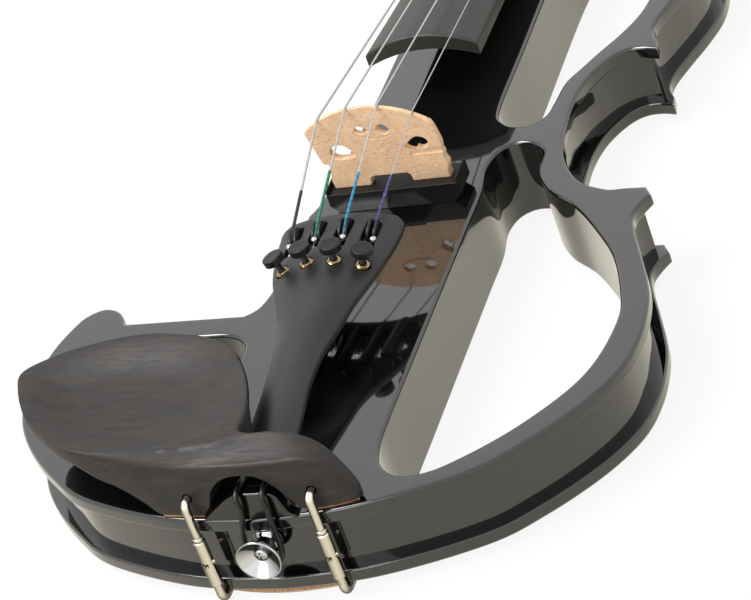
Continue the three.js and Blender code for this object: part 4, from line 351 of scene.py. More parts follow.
LOWER_OPENING_SHARES = [
    (0, 0.125), (0, 0.2), (0, 0.4), (0, 0.456), (-0.021, 0.497), (0.012, 0.52), (0.074, 0.529),
    (0.165, 0.526), (0.229, 0.512), (0.243, 0.48), (0.338, 0.445), (0.489, 0.4153),
    (0.658, 0.366), (0.748, 0.3335), (0.835, 0.28), (0.867, 0.2445), (0.806, 0.1675),
    (0.611, 0.107), (0.397, 0.0664), (0.26, 0.0494), (0.133, 0.048), (0.045, 0.064), (0.008, 0.09),
]
UPPER_OPENING_SHARES = [
    (0, 0.9), (0, 0.7), (0.005, 0.589), (0.02, 0.575), (0.061, 0.5636), (0.11, 0.5583),
    (0.177, 0.5586), (0.231, 0.5714), (0.247, 0.5908), (0.264, 0.6256), (0.309, 0.6472),
    (0.371, 0.6753), (0.435, 0.7019), (0.494, 0.7367), (0.523, 0.79), (0.538, 0.833),
    (0.518, 0.873), (0.418, 0.918), (0.24, 0.9455), (0.083, 0.948), (0.02, 0.932),
]
LEFT_OPENING_SHARES = [
    (0, 0.18), (0, 0.228), (0.008, 0.246), (0.042, 0.256), (0.105, 0.2633), (0.212, 0.266),
    (0.66, 0.262), (0.766, 0.246), (0.781, 0.21), (0.689, 0.163), (0.519, 0.137), (0.236, 0.131),
    (0.052, 0.14), (0.008, 0.152), (0, 0.166),
]
# Depth of the heel along its length, as a share of the way from the neck's depth to the back
HEEL_SHARES = [
    (0, 1), (0.14, 0.985), (0.3, 0.88), (0.45, 0.62), (0.62, 0.3), (0.8, 0.09), (1, 0),
]
# Saddle seen from the tail, and the arch of the chinrest's arm over it
SADDLE_SHARES = [
    (0.86, 0), (0.79, 0.03), (0.7, 0.14), (0.635, 0.43), (0.55, 0.8), (0.42, 0.97), (0.12, 1),
    (-0.17, 1), (-0.29, 0.94), (-0.39, 0.86), (-0.6, 0.62), (-0.81, 0.34), (-1, 0.05), (-1, 0),
]
ARM_UNDERSIDE = [
    (-90, 13), (-50, 13), (-46, 12.2), (-41, 9.2), (-36.5, 5.4), (-32.6, 1), (-31, 0.9),
    (-17.2, 0.9), (-13.8, 4.6), (-13.3, 6.7), (-11.75, 10.4), (-8.8, 13.6), (-5, 15.6),
    (-0.8, 16.1), (3.8, 15.5), (7.1, 13.8), (9.9, 10.5), (11.9, 7.2), (13.6, 3.8), (15.8, 1.4),
    (17.2, 0.9), (40, 0.9),
]
# The crisp line along the dish's front and the arm's back: x, y and height
CHINREST_RIDGE = [
    (-90, 30, 24), (-70, 18, 24), (-61.6, 11.5, 24), (-53, 8.6, 24), (-44.1, 7, 24),
    (-33, 6.4, 24), (-21.8, 6.4, 24), (-13, 7.2, 24), (-6.4, 8.9, 24), (-2.4, 12, 24),
    (1, 13.4, 23.9), (9, 13.4, 23.8), (14, 13.4, 23.2), (18.5, 13.4, 21.9), (23, 13.4, 19.4),
    (26.3, 13.4, 16.4), (29.6, 13.4, 11), (32, 13.4, 6.5), (40, 13.4, 3),
]
# Height of the arm's front edge
CHINREST_FRONT = [
    (-90, 23.6), (-62, 22.6), (-50, 21.3), (-40, 20.5), (-25, 20.3), (20, 20.3), (24, 19.3),
    (27.2, 16.6), (30, 11.8), (32, 7.2), (34, 3.4), (40, 3),
]
CHINREST_FRONT_Y = 3
CHINREST_PLAN = [
    (-33, 4.1), (-24, 2.9), (-12, 1.6), (0, 1.2), (12, 1.6), (24, 2.9), (29.5, 4.2), (32.6, 5.6),
    (33.9, 7.3), (32.4, 9.6), (27.5, 11.4), (20, 12.6), (8, 13.1), (0.5, 13), (-1.9, 14.4),
    (-1.8, 19), (-3.4, 29.6), (-8.6, 42.9), (-16.6, 54.9), (-27.3, 62.5), (-37.6, 65.5),
    (-51, 67), (-67.4, 64.5), (-80.8, 59.2), (-89.8, 51.6), (-87.6, 42.4), (-78.6, 26.6),
    (-70, 18), (-61.4, 11.4), (-52, 7.8), (-42, 5.6),
]
CORK_PLANS = {
    "bass": [(-31.8, 4.4), (-24, 3.4), (-17.5, 2.8), (-17.5, 9.7), (-31.6, 9.7)],
    "treble": [(17.5, 2.8), (24, 3.6), (29, 4.9), (32.6, 6.4), (31.6, 8.9), (27, 9.7),
               (17.5, 9.7)],
}
# Tailpiece: share of its length, then half width, height of the crown and radius of the arch
TAILPIECE_SHARES = [
    (0, 0.39, 0, 0.5), (0.1, 0.395, 0.11, 0.5), (0.2, 0.38, 0.22, 0.5), (0.27, 0.362, 0.3, 0.52),
    (0.35, 0.374, 0.4, 0.5), (0.44, 0.414, 0.53, 0.44), (0.5, 0.464, 0.6, 0.44),
    (0.56, 0.535, 0.69, 0.52), (0.62, 0.625, 0.79, 0.68), (0.68, 0.735, 0.87, 0.88),
    (0.74, 0.836, 0.93, 1.08), (0.8, 0.908, 0.975, 1.22), (0.87, 0.968, 1, 1.32),
    (0.94, 1, 0.98, 1.55), (0.975, 0.99, 0.96, 1.8), (1, 0.86, 0.93, 2.1),
]
# Bridge seen from the tail: left side from the foot up, then the right side
BRIDGE_LEFT = [
    (-18.8, 7.4), (-19.2, 10.6), (-18.7, 14.2), (-18.6, 16.8), (-20.2, 17.2), (-21.3, 21),
    (-22.6, 26), (-23.5, 29.6),
]
BRIDGE_RIGHT = [
    (22.8, 7.4), (22.6, 9.6), (23.4, 12.4), (22.6, 14.7), (23, 16.5), (22.6, 18),
    (23, 19.4), (22.7, 24), (22.1, 27.8),
]
# Inner ends of the two feet
BRIDGE_FEET = (-5.7, 9.5)
BRIDGE_ARCH_Z = 10.7
BRIDGE_KIDNEYS = [
    [(-16.6, 20.9), (-15.2, 18.9), (-12.6, 18.3), (-10.4, 18.7), (-7.8, 19.4), (-9.4, 21.9),
     (-11.6, 23.6), (-14.4, 23.8), (-16, 22.7)],
    [(10.4, 20.3), (12.6, 22.8), (15, 24), (17.6, 23.3), (18.8, 21.4), (16.9, 19.4),
     (15.4, 19.1), (14.4, 19.8), (13.4, 18.6), (11.8, 19)],
]
BRIDGE_HEARTS = [
    [(-5.7, 28.6), (-4.4, 30.1), (-2.6, 29.8), (-0.9, 28), (-2.2, 27.2), (-4.2, 27.4)],
    [(2.1, 28.8), (4.1, 30.1), (5.7, 29.4), (6.7, 27.6), (5.2, 26.3), (3.4, 27)],
]
BRIDGE_ARC = [(-5.6, 27), (-3.6, 25.9), (-0.6, 25.2), (2.6, 25), (5.2, 25.4), (6.9, 26.4)]
BRIDGE_STEP = ((11.5, 17.2), (25, 19.4))
BRIDGE_STEP_DEPTH = 0.45

# Place over the bridge, peg, side of its head, shift of its slot and length of its silk
STRINGS = [
    {"name": "g", "place": -1.5, "peg": 0, "side": -1, "shift": -0.2, "silk": 17.5},
    {"name": "d", "place": -0.5, "peg": 2, "side": -1, "shift": -0.7, "silk": 22.3},
    {"name": "a", "place": 0.5, "peg": 3, "side": 1, "shift": -1, "silk": 20.4},
    {"name": "e", "place": 1.5, "peg": 1, "side": 1, "shift": -1.1, "silk": 20.8},
]
FRAY_DISTANCE = 12.5

block_low, block_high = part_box("centre_block")
nut_low, nut_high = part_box("nut")
ORIGIN = Vector(((block_low.x + block_high.x) / 2, nut_low.y - NUT_Y * MM, block_high.z))


def at(x, y, z):
    """A place given in the maker's millimetres, in the scene's metres."""
    return ORIGIN + Vector((x, y, z)) * MM


def linear(code):
    """An sRGB hex colour as linear red, green and blue, with full alpha."""
    channels = [int(code[i : i + 2], 16) / 255 for i in (1, 3, 5)]
    curve = [c / 12.92 if c <= 0.04045 else ((c + 0.055) / 1.055) ** 2.4 for c in channels]
    return (*curve, 1.0)


# ---- Properties ----


def length_property(name, description, value):
    """A size in millimetres as a length property in metres."""
    return FloatProperty(
        name=name, description=description, default=value * MM, min=0, unit="LENGTH", precision=5
    )


def colour_property(name, description, code):
    """A colour property that starts from an sRGB hex value."""
    return FloatVectorProperty(
        name=name, description=description, subtype="COLOR", size=4, min=0, max=1,
        default=linear(code),
    )


class ViolinSizes(bpy.types.PropertyGroup):
    """Sizes of the violin's edges, strings and small fittings"""

    edge: length_property("Edge rounding", "Radius of the body's lacquered edges", 1.2)
    flange: length_property("Flange thickness", "Plates that stand out past the ribs", 4.9)
    rib_inset: length_property("Rib inset", "Depth of the ribs behind the plates' edge", 3.5)
    string_g: length_property("G string", "Diameter of the G string", 0.8)
    string_d: length_property("D string", "Diameter of the D string", 0.74)
    string_a: length_property("A string", "Diameter of the A string", 0.67)
    string_e: length_property("E string", "Diameter of the E string", 0.45)
    silk: length_property("Silk thickness", "How far the silk stands off the string", 0.14)
    bridge_foot: length_property("Bridge foot", "Thickness of the bridge at its feet", 4.2)
    bridge_top: length_property("Bridge top", "Thickness of the bridge at its crown", 1.3)
    knob_ribs: IntProperty(
        name="Knob ribs", description="Ribs round each control knob", default=24, min=6, max=60
    )
    tuner_facets: IntProperty(
        name="Tuner facets", description="Facets round each fine tuner's head", default=16, min=6
    )


class ViolinColours(bpy.types.PropertyGroup):
    """Colours of the violin's finishes"""

    lacquer: colour_property("Lacquer", "Body and neck", "#0c0c0d")
    ebony: colour_property("Board wood", "Fingerboard, nut, saddle and pegs", "#2a2825")
    chinrest: colour_property("Chinrest wood", "Chinrest plate and arm", "#1f1c1a")
    chinrest_streaks: colour_property("Chinrest streaks", "Brown streaks in its wood", "#2e2621")
    maple: colour_property("Maple", "Bridge", "#f7d2aa")
    maple_flecks: colour_property("Maple flecks", "Darker flecks in the bridge", "#df9a72")
    satin: colour_property("Satin plastic", "Tailpiece and knobs", "#1d1d1d")
    matte: colour_property("Matte plastic", "Pickup block and covers", "#0b0b0b")
    nickel: colour_property("Nickel", "Chinrest clamps", "#fbf3e3")
    chrome: colour_property("Chrome", "End button", "#dfe0e2")
    brass: colour_property("Brass", "Tuner bushes", "#cfb583")
    steel: colour_property("String metal", "Wound strings", "#c9cacb")
    cork: colour_property("Cork", "Pads under the chinrest and its clamp", "#b3835c")
    silk_g: colour_property("G silk", "Thread round the G string's end", "#1c1c1e")
    silk_d: colour_property("D silk", "Thread round the D string's end", "#167a55")
    silk_a: colour_property("A silk", "Thread round the A string's end", "#1c86b0")
    silk_e: colour_property("E silk", "Thread round the E string's end", "#523a7c")


class ViolinStage(bpy.types.PropertyGroup):
    """Camera, lamps and floor"""

    lens: FloatProperty(
        name="Lens", description="Focal length of the camera", default=169.42, min=1,
        unit="CAMERA",
    )
    world: FloatProperty(
        name="Surround", description="Strength of the light from all round", default=0.55, min=0
    )
    key: FloatProperty(
        name="Key lamp", description="Power of the large lamp overhead", default=26, min=0,
        unit="POWER",
    )
    floor: length_property("Floor", "Width of the pale floor", 6000)


# ---- Shapes ----


def mix(a, b, share):
    """The value that lies a share of the way from a to b."""
    return a + (b - a) * share


def ease(share):
    """A share from 0 to 1 with a soft start and end."""
    share = min(max(share, 0), 1)
    return share * share * (3 - 2 * share)


def fade(value, start, reach):
    """A soft rise from 0 to 1 that begins at a start and ends a reach further on."""
    return ease((value - start) / reach)


def table(rows, x, column=1):
    """A column of a sorted table, read between its rows."""
    return float(np.interp(x, [row[0] for row in rows], [row[column] for row in rows]))


def smooth_table(rows, x, column=1, spread=2.5):
    """A column of a sorted table with its corners rounded off."""
    return sum(table(rows, x + spread * k, column) for k in (-1, -0.5, 0, 0.5, 1)) / 5


def spline(points, steps=6, closed=False, even=False):
    """A smooth line through flat or spatial points: centripetal, or evenly spaced where even."""
    points = [Vector(p) for p in points]
    count = len(points)
    made = []
    for i in range(count if closed else count - 1):
        p1, p2 = points[i], points[(i + 1) % count]
        if closed:
            p0, p3 = points[i - 1], points[(i + 2) % count]
        else:
            p0 = points[i - 1] if i else (p1 if even else p1 * 2 - p2)
            p3 = points[i + 2] if i + 2 < count else (p2 if even else p2 * 2 - p1)
        power = 0 if even else 0.5
        t0, t1, t2 = (max((b - a).length, 1e-6) ** power
                      for a, b in ((p0, p1), (p1, p2), (p2, p3)))
        m1 = ((p1 - p0) / t0 - (p2 - p0) / (t0 + t1) + (p2 - p1) / t1) * t1
        m2 = ((p2 - p1) / t1 - (p3 - p1) / (t1 + t2) + (p3 - p2) / t2) * t1
        for k in range(steps):
            t = k / steps
            t_2, t_3 = t * t, t * t * t
            made.append(
                p1 * (2 * t_3 - 3 * t_2 + 1) + m1 * (t_3 - 2 * t_2 + t)
                + p2 * (3 * t_2 - 2 * t_3) + m2 * (t_3 - t_2)
            )
    return made if closed else [*made, points[-1]]


def dense(points, spacing, closed=True):
    """A polyline with points added so that none lie further apart than the spacing."""
    made = []
    count = len(points)
    for i in range(count if closed else count - 1):
        a, b = Vector(points[i]), Vector(points[(i + 1) % count])
        steps = max(math.ceil((b - a).length / spacing), 1)
        made += [a.lerp(b, k / steps) for k in range(steps)]
    return made if closed else [*made, Vector(points[-1])]


def thinned(points, spacing, corner=math.radians(25)):
    """A closed line without points that crowd each other; its corners stay."""
    count = len(points)
    sharp = []
    for i in range(count):
        a = points[i] - points[i - 1]
        b = points[(i + 1) % count] - points[i]
        sharp.append(a.length > 1e-6 and b.length > 1e-6 and a.angle(b) > corner)
    corners = [points[i] for i in range(count) if sharp[i]]
    made = []
    for i, point in enumerate(points):
        if sharp[i]:
            made.append(point)
        elif made and (point - made[-1]).length < spacing:
            continue
        elif all((point - other).length >= spacing for other in corners):
            made.append(point)
    return made


def area(loop):
    """Signed area of a flat loop, positive where it runs anticlockwise."""
    return sum(a.x * b.y - b.x * a.y for a, b in zip(loop, loop[1:] + loop[:1])) / 2


def oriented(loops):
    """The outer loop anticlockwise and its holes clockwise, so the material lies to the left."""
    turned = []
    for i, loop in enumerate(loops):
        loop = [Vector(p) for p in loop]
        turned.append(loop if (area(loop) > 0) == (i == 0) else loop[::-1])
    return turned


def inset(loop, distance, closed=True):
    """A line moved to its left by a distance, or by one distance for each point."""
    moved = []
    for i, here in enumerate(loop):
        before = loop[i - 1] if closed or i else here
        after = loop[(i + 1) % len(loop)] if closed or i + 1 < len(loop) else here
        a, b = here - before, after - here
        a = a.normalized() if a.length > 1e-9 else b.normalized()
        b = b.normalized() if b.length > 1e-9 else a
        normal = Vector((-a.y - b.y, a.x + b.x)).normalized()
        spread = max(normal.dot(Vector((-a.y, a.x))), MITRE_LIMIT)
        step = distance[i] if isinstance(distance, list) else distance
        moved.append(here + normal * (step / spread))
    return moved


def inside(points, loops):
    """Which of an array of flat points lie in the region between the loops."""
    odd = np.zeros(len(points), bool)
    for loop in loops:
        start = np.array([tuple(p) for p in loop])
        end = np.roll(start, -1, axis=0)
        for (ax, ay), (bx, by) in zip(start, end):
            if ay == by:
                continue
            level = (points[:, 1] >= min(ay, by)) & (points[:, 1] < max(ay, by))
            odd ^= level & (points[:, 0] < ax + (points[:, 1] - ay) * (bx - ax) / (by - ay))
    return odd


def filled(loops, spacing=None, creases=()):
    """Triangles over the region between loops, with edges along any creases. Returns inner
    points, and faces that count the loops' points first, in order, and the inner points after."""
    rim = [p for loop in loops for p in loop]
    edges, start = [], 0
    for loop in loops:
        edges += [(start + i, start + (i + 1) % len(loop)) for i in range(len(loop))]
        start += len(loop)
    inner = []
    flat = np.array([tuple(p) for p in rim])
    for crease in creases:
        kept = [p for p in crease if inside(np.array([tuple(p)]), loops)[0]
                and np.min(np.sum((flat - np.array(p)) ** 2, axis=1)) > CREASE_ROOM_SQUARED]
        first = len(rim) + len(inner)
        inner += kept
        edges += [(first + i, first + i + 1) for i in range(len(kept) - 1)]
    if spacing:
        flat = np.array([tuple(p) for p in rim + inner])
        low, high = flat.min(axis=0), flat.max(axis=0)
        xs = np.arange(low[0] + spacing / 2, high[0], spacing)
        ys = np.arange(low[1] + spacing / 2, high[1], spacing * GRID_ROW_SHARE)
        grid = np.array([(x + (j % 2) * spacing / 2, y) for j, y in enumerate(ys) for x in xs])
        if len(grid):
            grid = grid[inside(grid, loops)]
        for point in grid:
            if np.min(np.sum((flat - point) ** 2, axis=1)) > (RIM_ROOM_SHARE * spacing) ** 2:
                inner.append(Vector(point))
    verts, _, faces, origins, _, _ = delaunay_2d_cdt(rim + inner, edges, [], 0, 1e-7)
    known = [origin[0] if origin else None for origin in origins]
    extra = list(inner)
    for i, source in enumerate(known):
        if source is None:
            known[i] = len(rim) + len(extra)
            extra.append(verts[i])
    middles = np.array([tuple(sum((verts[i] for i in face), Vector((0, 0))) / 3)
                        for face in faces])
    faces = [face for face, kept in zip(faces, inside(middles, loops)) if kept]
    return extra, [tuple(known[i] for i in face) for face in faces]


def facing_tail(u, v, height):
    """A plate drawn as seen from the tail: across, up and along."""
    return u, height, v


def facing_side(u, v, height):
    """A plate drawn as seen from the side: along, up and across."""
    return height, u, v


def flat(value):
    """A height function, made from a plain height where needed."""
    return value if callable(value) else lambda u, v: value


def stack(rings, start=0):
    """Quads between rings of equal length, closed round each ring."""
    faces = []
    count = rings[0]
    for ring in range(rings[1] - 1):
        for i in range(count):
            a, b = start + ring * count + i, start + ring * count + (i + 1) % count
            faces.append((a, b, b + count, a + count))
    return faces


def slab(loops, lower, upper, rounding, arrange=None, spacing=None, steps=4, low_rounding=None,
         creases=()):
    """A plate over a flat region with rounded edges. Lower and upper are its two faces' heights,
    or functions of the flat place, as are the roundings; arrange turns flat place and height
    into x, y and z, and creases are lines kept crisp in the upper face."""
    arrange = arrange or (lambda u, v, h: (u, v, h))
    low_rounding = rounding if low_rounding is None else low_rounding
    lower, upper = flat(lower), flat(upper)
    loops = oriented(loops)
    points, faces = [], []
    caps = {"top": [], "bottom": []}
    for loop in loops:
        start = len(points)
        count = len(loop)
        rings = []
        turns = [math.pi / 2 * k / steps for k in range(steps + 1)]
        for way, radius, height in ((-1, flat(rounding), upper), (1, flat(low_rounding), lower)):
            reach = [radius(p.x, p.y) for p in loop]
            side = []
            for angle in turns:
                ring = inset(loop, [r * (1 - math.sin(angle)) for r in reach])
                side.append([(p, height(p.x, p.y) + way * r * (1 - math.cos(angle)))
                             for p, r in zip(ring, reach)])
            rings += side if way < 0 else side[::-1]
        for ring in rings:
            points += [arrange(p.x, p.y, height) for p, height in ring]
        faces += stack((count, len(rings)), start)
        caps["top"].append(([p for p, _ in rings[0]], start))
        caps["bottom"].append(([p for p, _ in rings[-1]], start + (len(rings) - 1) * count))
    for side, height in (("top", upper), ("bottom", lower)):
        rims = caps[side]
        extra, made = filled([loop for loop, _ in rims], spacing,
                             creases if side == "top" else ())
        index = [start + i for loop, start in rims for i in range(len(loop))]
        index += [len(points) + i for i in range(len(extra))]
        points += [arrange(p.x, p.y, height(p.x, p.y)) for p in extra]
        faces += [tuple(index[i] for i in face) for face in made]
    return points, faces


def loft(rings):
    """A closed skin through rings with the same number of points, with flat ends."""
    count = len(rings[0])
    points = [tuple(p) for ring in rings for p in ring]
    ends = [tuple(range(count)), tuple(range(len(points) - count, len(points)))]
    return points, stack((count, len(rings))) + ends


def turned(profile, seat, axis, sides=48):
    """A turned piece from pairs of radius and height, standing on its seat along an axis."""
    turn = Vector((0, 0, 1)).rotation_difference(Vector(axis)).to_matrix()
    points, faces, rows = [], [], []
    for radius, height in profile:
        start, count = len(points), sides if radius else 1
        for i in range(count):
            angle = 2 * math.pi * i / sides
            points.append(Vector((radius * math.cos(angle), radius * math.sin(angle), height)))
        rows.append([start + i % count for i in range(sides)])
    for low, high in zip(rows, rows[1:]):
        for i in range(sides):
            face = [low[i], low[(i + 1) % sides], high[(i + 1) % sides], high[i]]
            face = [v for k, v in enumerate(face) if v != face[k - 1]]
            if len(face) > 2:
                faces.append(tuple(face))
    return [tuple(Vector(seat) + turn @ p) for p in points], faces


def tube(route, radius, sides=16):
    """A closed round rod along a route."""
    route = [Vector(p) for p in route]
    rings = []
    side = (route[1] - route[0]).orthogonal()
    turns = [2 * math.pi * k / sides for k in range(sides)]
    for i, here in enumerate(route):
        ahead = (route[min(i + 1, len(route) - 1)] - route[max(i - 1, 0)]).normalized()
        side = (side - ahead * side.dot(ahead)).normalized()
        up = ahead.cross(side)
        rings.append([here + radius * (side * math.cos(a) + up * math.sin(a)) for a in turns])
    return loft(rings)


def arc(centre, radius, start, end, steps):
    """Flat points along an arc of a circle, angles in degrees."""
    turn = [math.radians(mix(start, end, i / steps)) for i in range(steps + 1)]
    x, y = centre
    return [Vector((x + radius * math.cos(a), y + radius * math.sin(a))) for a in turn]


def joined(*parts):
    """Several meshes' points and faces as one."""
    points, faces = [], []
    for more, added in parts:
        start = len(points)
        points += more
        faces += [tuple(start + i for i in face) for face in added]
    return points, faces


def moved(part, change):
    """A mesh's points passed through a function of x, y and z."""
    return [change(*p) for p in part[0]], part[1]


def oblong(low_x, low_y, high_x, high_y):
    """A rectangle's four corners."""
    return [(low_x, low_y), (high_x, low_y), (high_x, high_y), (low_x, high_y)]


def box(low, high, rounding=0):
    """A block between two corners, with its top and bottom edges rounded."""
    loop = [Vector(p) for p in oblong(*low[:2], *high[:2])]
    return slab([loop], low[2], high[2], rounding, steps=3 if rounding else 1)


def bore(seat, axis, radius, start, end, sides):
    """A plain rod along an axis, used to cut a hole."""
    return turned([(0, start), (radius, start), (radius, end), (0, end)], seat, axis, sides)


def stand(name, data, place=(0, 0, 0), turn=(0, 0, 0)):
    """A mesh, camera or lamp as an object of the scene."""
    obj = bpy.data.objects.new(name, data)
    obj.location, obj.rotation_euler = place, turn
    bpy.context.scene.collection.objects.link(obj)
    return obj


def piece(name, part, material, smooth=35, merge=1e-6):
    """A scene object from a mesh in the maker's millimetres, closed, with its faces outwards."""
    points, faces = part
    mesh = bpy.data.meshes.new(name)
    mesh.from_pydata([at(*p) for p in points], [], faces)
    shape = bmesh.new()
    shape.from_mesh(mesh)
    bmesh.ops.remove_doubles(shape, verts=shape.verts, dist=merge)
    bmesh.ops.dissolve_degenerate(shape, dist=merge / 2, edges=shape.edges)
    bmesh.ops.recalc_face_normals(shape, faces=shape.faces)
    shape.to_mesh(mesh)
    shape.free()
    obj = stand(name, mesh)
    mesh.materials.append(material)
    mesh.shade_smooth()
    mesh.set_sharp_from_angle(angle=math.radians(smooth))
    return obj


def settle(obj):
    """Makes what a piece's modifiers show its own plain mesh."""
    graph = bpy.context.evaluated_depsgraph_get()
    mesh = bpy.data.meshes.new_from_object(obj.evaluated_get(graph), depsgraph=graph)
    obj.modifiers.clear()
    old, obj.data = obj.data, mesh
    bpy.data.meshes.remove(old)
    mesh.name = obj.name


def even_shading(obj):
    """Lets broad faces set the shading, so that narrow rounded edges leave them flat."""
    weigh = obj.modifiers.new("Shading", "WEIGHTED_NORMAL")
    weigh.keep_sharp = True
    weigh.weight = 100
    settle(obj)


def combined(obj, part, operation, smooth):
    """Cuts another shape out of a piece, or joins it on."""
    other = piece(obj.name + "_tool", part, obj.data.materials[0])
    join = obj.modifiers.new("Combine", "BOOLEAN")
    join.operation = operation
    join.solver = "EXACT"
    join.object = other
    settle(obj)
    old = other.data
    bpy.data.objects.remove(other)
    bpy.data.meshes.remove(old)
    obj.data.set_sharp_from_angle(angle=math.radians(smooth))


def belongs(obj, body, slot, *nodes):
    """Hands a finished piece to its moving body and hides the nodes that it stands for. Its slot
    is not used.
    """
    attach(obj, body)
    if nodes:
        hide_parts(*nodes)


def crafted(name, part, look, body, slot, *nodes, add=(), cut=(), smooth=35, even=False):
    """A finished piece: joined with some shapes, cut by others, shaded and handed to its body."""
    obj = piece(name, part, finishes()[look], smooth)
    for operation, others in (("UNION", add), ("DIFFERENCE", cut)):
        for other in others:
            combined(obj, other, operation, smooth)
    if even:
        even_shading(obj)
    belongs(obj, body, slot, *nodes)


# ---- Node trees ----


def add_node(tree, kind, settings=None, links=None):
    """Adds a node. Settings are its options or unlinked sockets, links the sources of sockets."""
    node = tree.nodes.new(kind)
    for key, value in (settings or {}).items():
        if isinstance(key, int) or key in node.inputs:
            node.inputs[key].default_value = value
        else:
            setattr(node, key, value)
    for key, source in (links or {}).items():
        tree.links.new(source, node.inputs[key])
    return node


def empty_tree(owner):
    """A material's or world's node tree, emptied."""
    owner.use_nodes = True
    owner.node_tree.nodes.clear()
    return owner.node_tree


def shape_tree(name, inputs):
    """An empty geometry tree with named inputs; returns it with its first and last node."""
    tree = bpy.data.node_groups.new(name, "GeometryNodeTree")
    tree.is_modifier = True
    face = tree.interface
    face.new_socket("Geometry", in_out="INPUT", socket_type="NodeSocketGeometry")
    face.new_socket("Geometry", in_out="OUTPUT", socket_type="NodeSocketGeometry")
    for label, kind, value in inputs:
        socket = face.new_socket(label, in_out="INPUT", socket_type=kind)
        if value is not None:
            socket.default_value = value
    return tree, add_node(tree, "NodeGroupInput"), add_node(tree, "NodeGroupOutput")


def grown(name, tree, values, points=(), edges=()):
    """An object that a geometry tree makes from a line of points, as a plain mesh."""
    mesh = bpy.data.meshes.new(name)
    mesh.from_pydata([at(*p) for p in points], edges, [])
    obj = stand(name, mesh)
    grow = obj.modifiers.new(tree.name, "NODES")
    grow.node_group = tree
    for item in tree.interface.items_tree:
        if item.item_type == "SOCKET" and item.in_out == "INPUT" and item.name in values:
            grow[item.identifier] = values[item.name]
    settle(obj)
    if len(obj.data.polygons) == 0:
        raise RuntimeError(f"{name} came out empty")
    return obj


def dressed(tree, shape, first, last):
    """Ends a geometry tree: the shape made real, with the material that the tree is given."""
    real = add_node(tree, "GeometryNodeRealizeInstances", links={0: shape.outputs[0]})
    add_node(tree, "GeometryNodeSetMaterial", links={
        "Geometry": real.outputs[0], "Material": first.outputs["Material"],
    })
    tree.links.new(tree.nodes[-1].outputs[0], last.inputs[0])
    return tree


def line_tree():
    """Round wire or thread along a line of points: strings, silks, gut and rods."""
    tree = bpy.data.node_groups.get("Wire along a line")
    if tree:
        return tree
    tree, first, last = shape_tree("Wire along a line", [
        ("Radius", "NodeSocketFloat", 0.4 * MM),
        ("Sides", "NodeSocketInt", 12),
        ("Material", "NodeSocketMaterial", None),
    ])
    line = add_node(tree, "GeometryNodeMeshToCurve", links={"Mesh": first.outputs["Geometry"]})
    ring = add_node(tree, "GeometryNodeCurvePrimitiveCircle", links={
        "Radius": first.outputs["Radius"], "Resolution": first.outputs["Sides"],
    })
    swept = add_node(tree, "GeometryNodeCurveToMesh", {"Fill Caps": True}, {
        "Curve": line.outputs[0], "Profile Curve": ring.outputs[0],
    })
    return dressed(tree, swept, first, last)


def wire(name, route, radius, look, sides, body, slot, *nodes):
    """A wire along a route, in millimetres, with soft shading and crisp cut ends."""
    edges = [(i, i + 1) for i in range(len(route) - 1)]
    values = {"Radius": radius * MM, "Sides": sides, "Material": finishes()[look]}
    obj = grown(name, line_tree(), values, route, edges)
    obj.data.shade_smooth()
    obj.data.set_sharp_from_angle(angle=math.radians(60))
    belongs(obj, body, slot, *nodes)


def rib_tree():
    """Small upright ribs round a circle, for the grips of the control knobs."""
    tree = bpy.data.node_groups.get("Ribs round a knob")
    if tree:
        return tree
    tree, first, last = shape_tree("Ribs round a knob", [
        ("Count", "NodeSocketInt", 24),
        ("Radius", "NodeSocketFloat", 5 * MM),
        ("Rib", "NodeSocketVector", (0.3 * MM, 0.4 * MM, 4 * MM)),
        ("Seat", "NodeSocketVector", (0, 0, 0)),
        ("Turn", "NodeSocketVector", (0, 0, 0)),
        ("Material", "NodeSocketMaterial", None),
    ])
    circle = add_node(tree, "GeometryNodeMeshCircle", links={
        "Vertices": first.outputs["Count"], "Radius": first.outputs["Radius"],
    })
    place = add_node(tree, "GeometryNodeInputPosition")
    away = add_node(tree, "FunctionNodeAlignRotationToVector", {"axis": "X"}, {
        "Vector": place.outputs[0],
    })
    rib = add_node(tree, "GeometryNodeMeshCube", links={"Size": first.outputs["Rib"]})
    spread = add_node(tree, "GeometryNodeInstanceOnPoints", links={
        "Points": circle.outputs[0], "Instance": rib.outputs[0], "Rotation": away.outputs[0],
    })
    stood = add_node(tree, "GeometryNodeTransform", links={
        "Geometry": spread.outputs[0], "Translation": first.outputs["Seat"],
        "Rotation": first.outputs["Turn"],
    })
    return dressed(tree, stood, first, last)


# ---- Finishes ----


def shade(colour, factor):
    """A colour made lighter or darker."""
    return (*(min(channel * factor, 1) for channel in colour[:3]), 1.0)


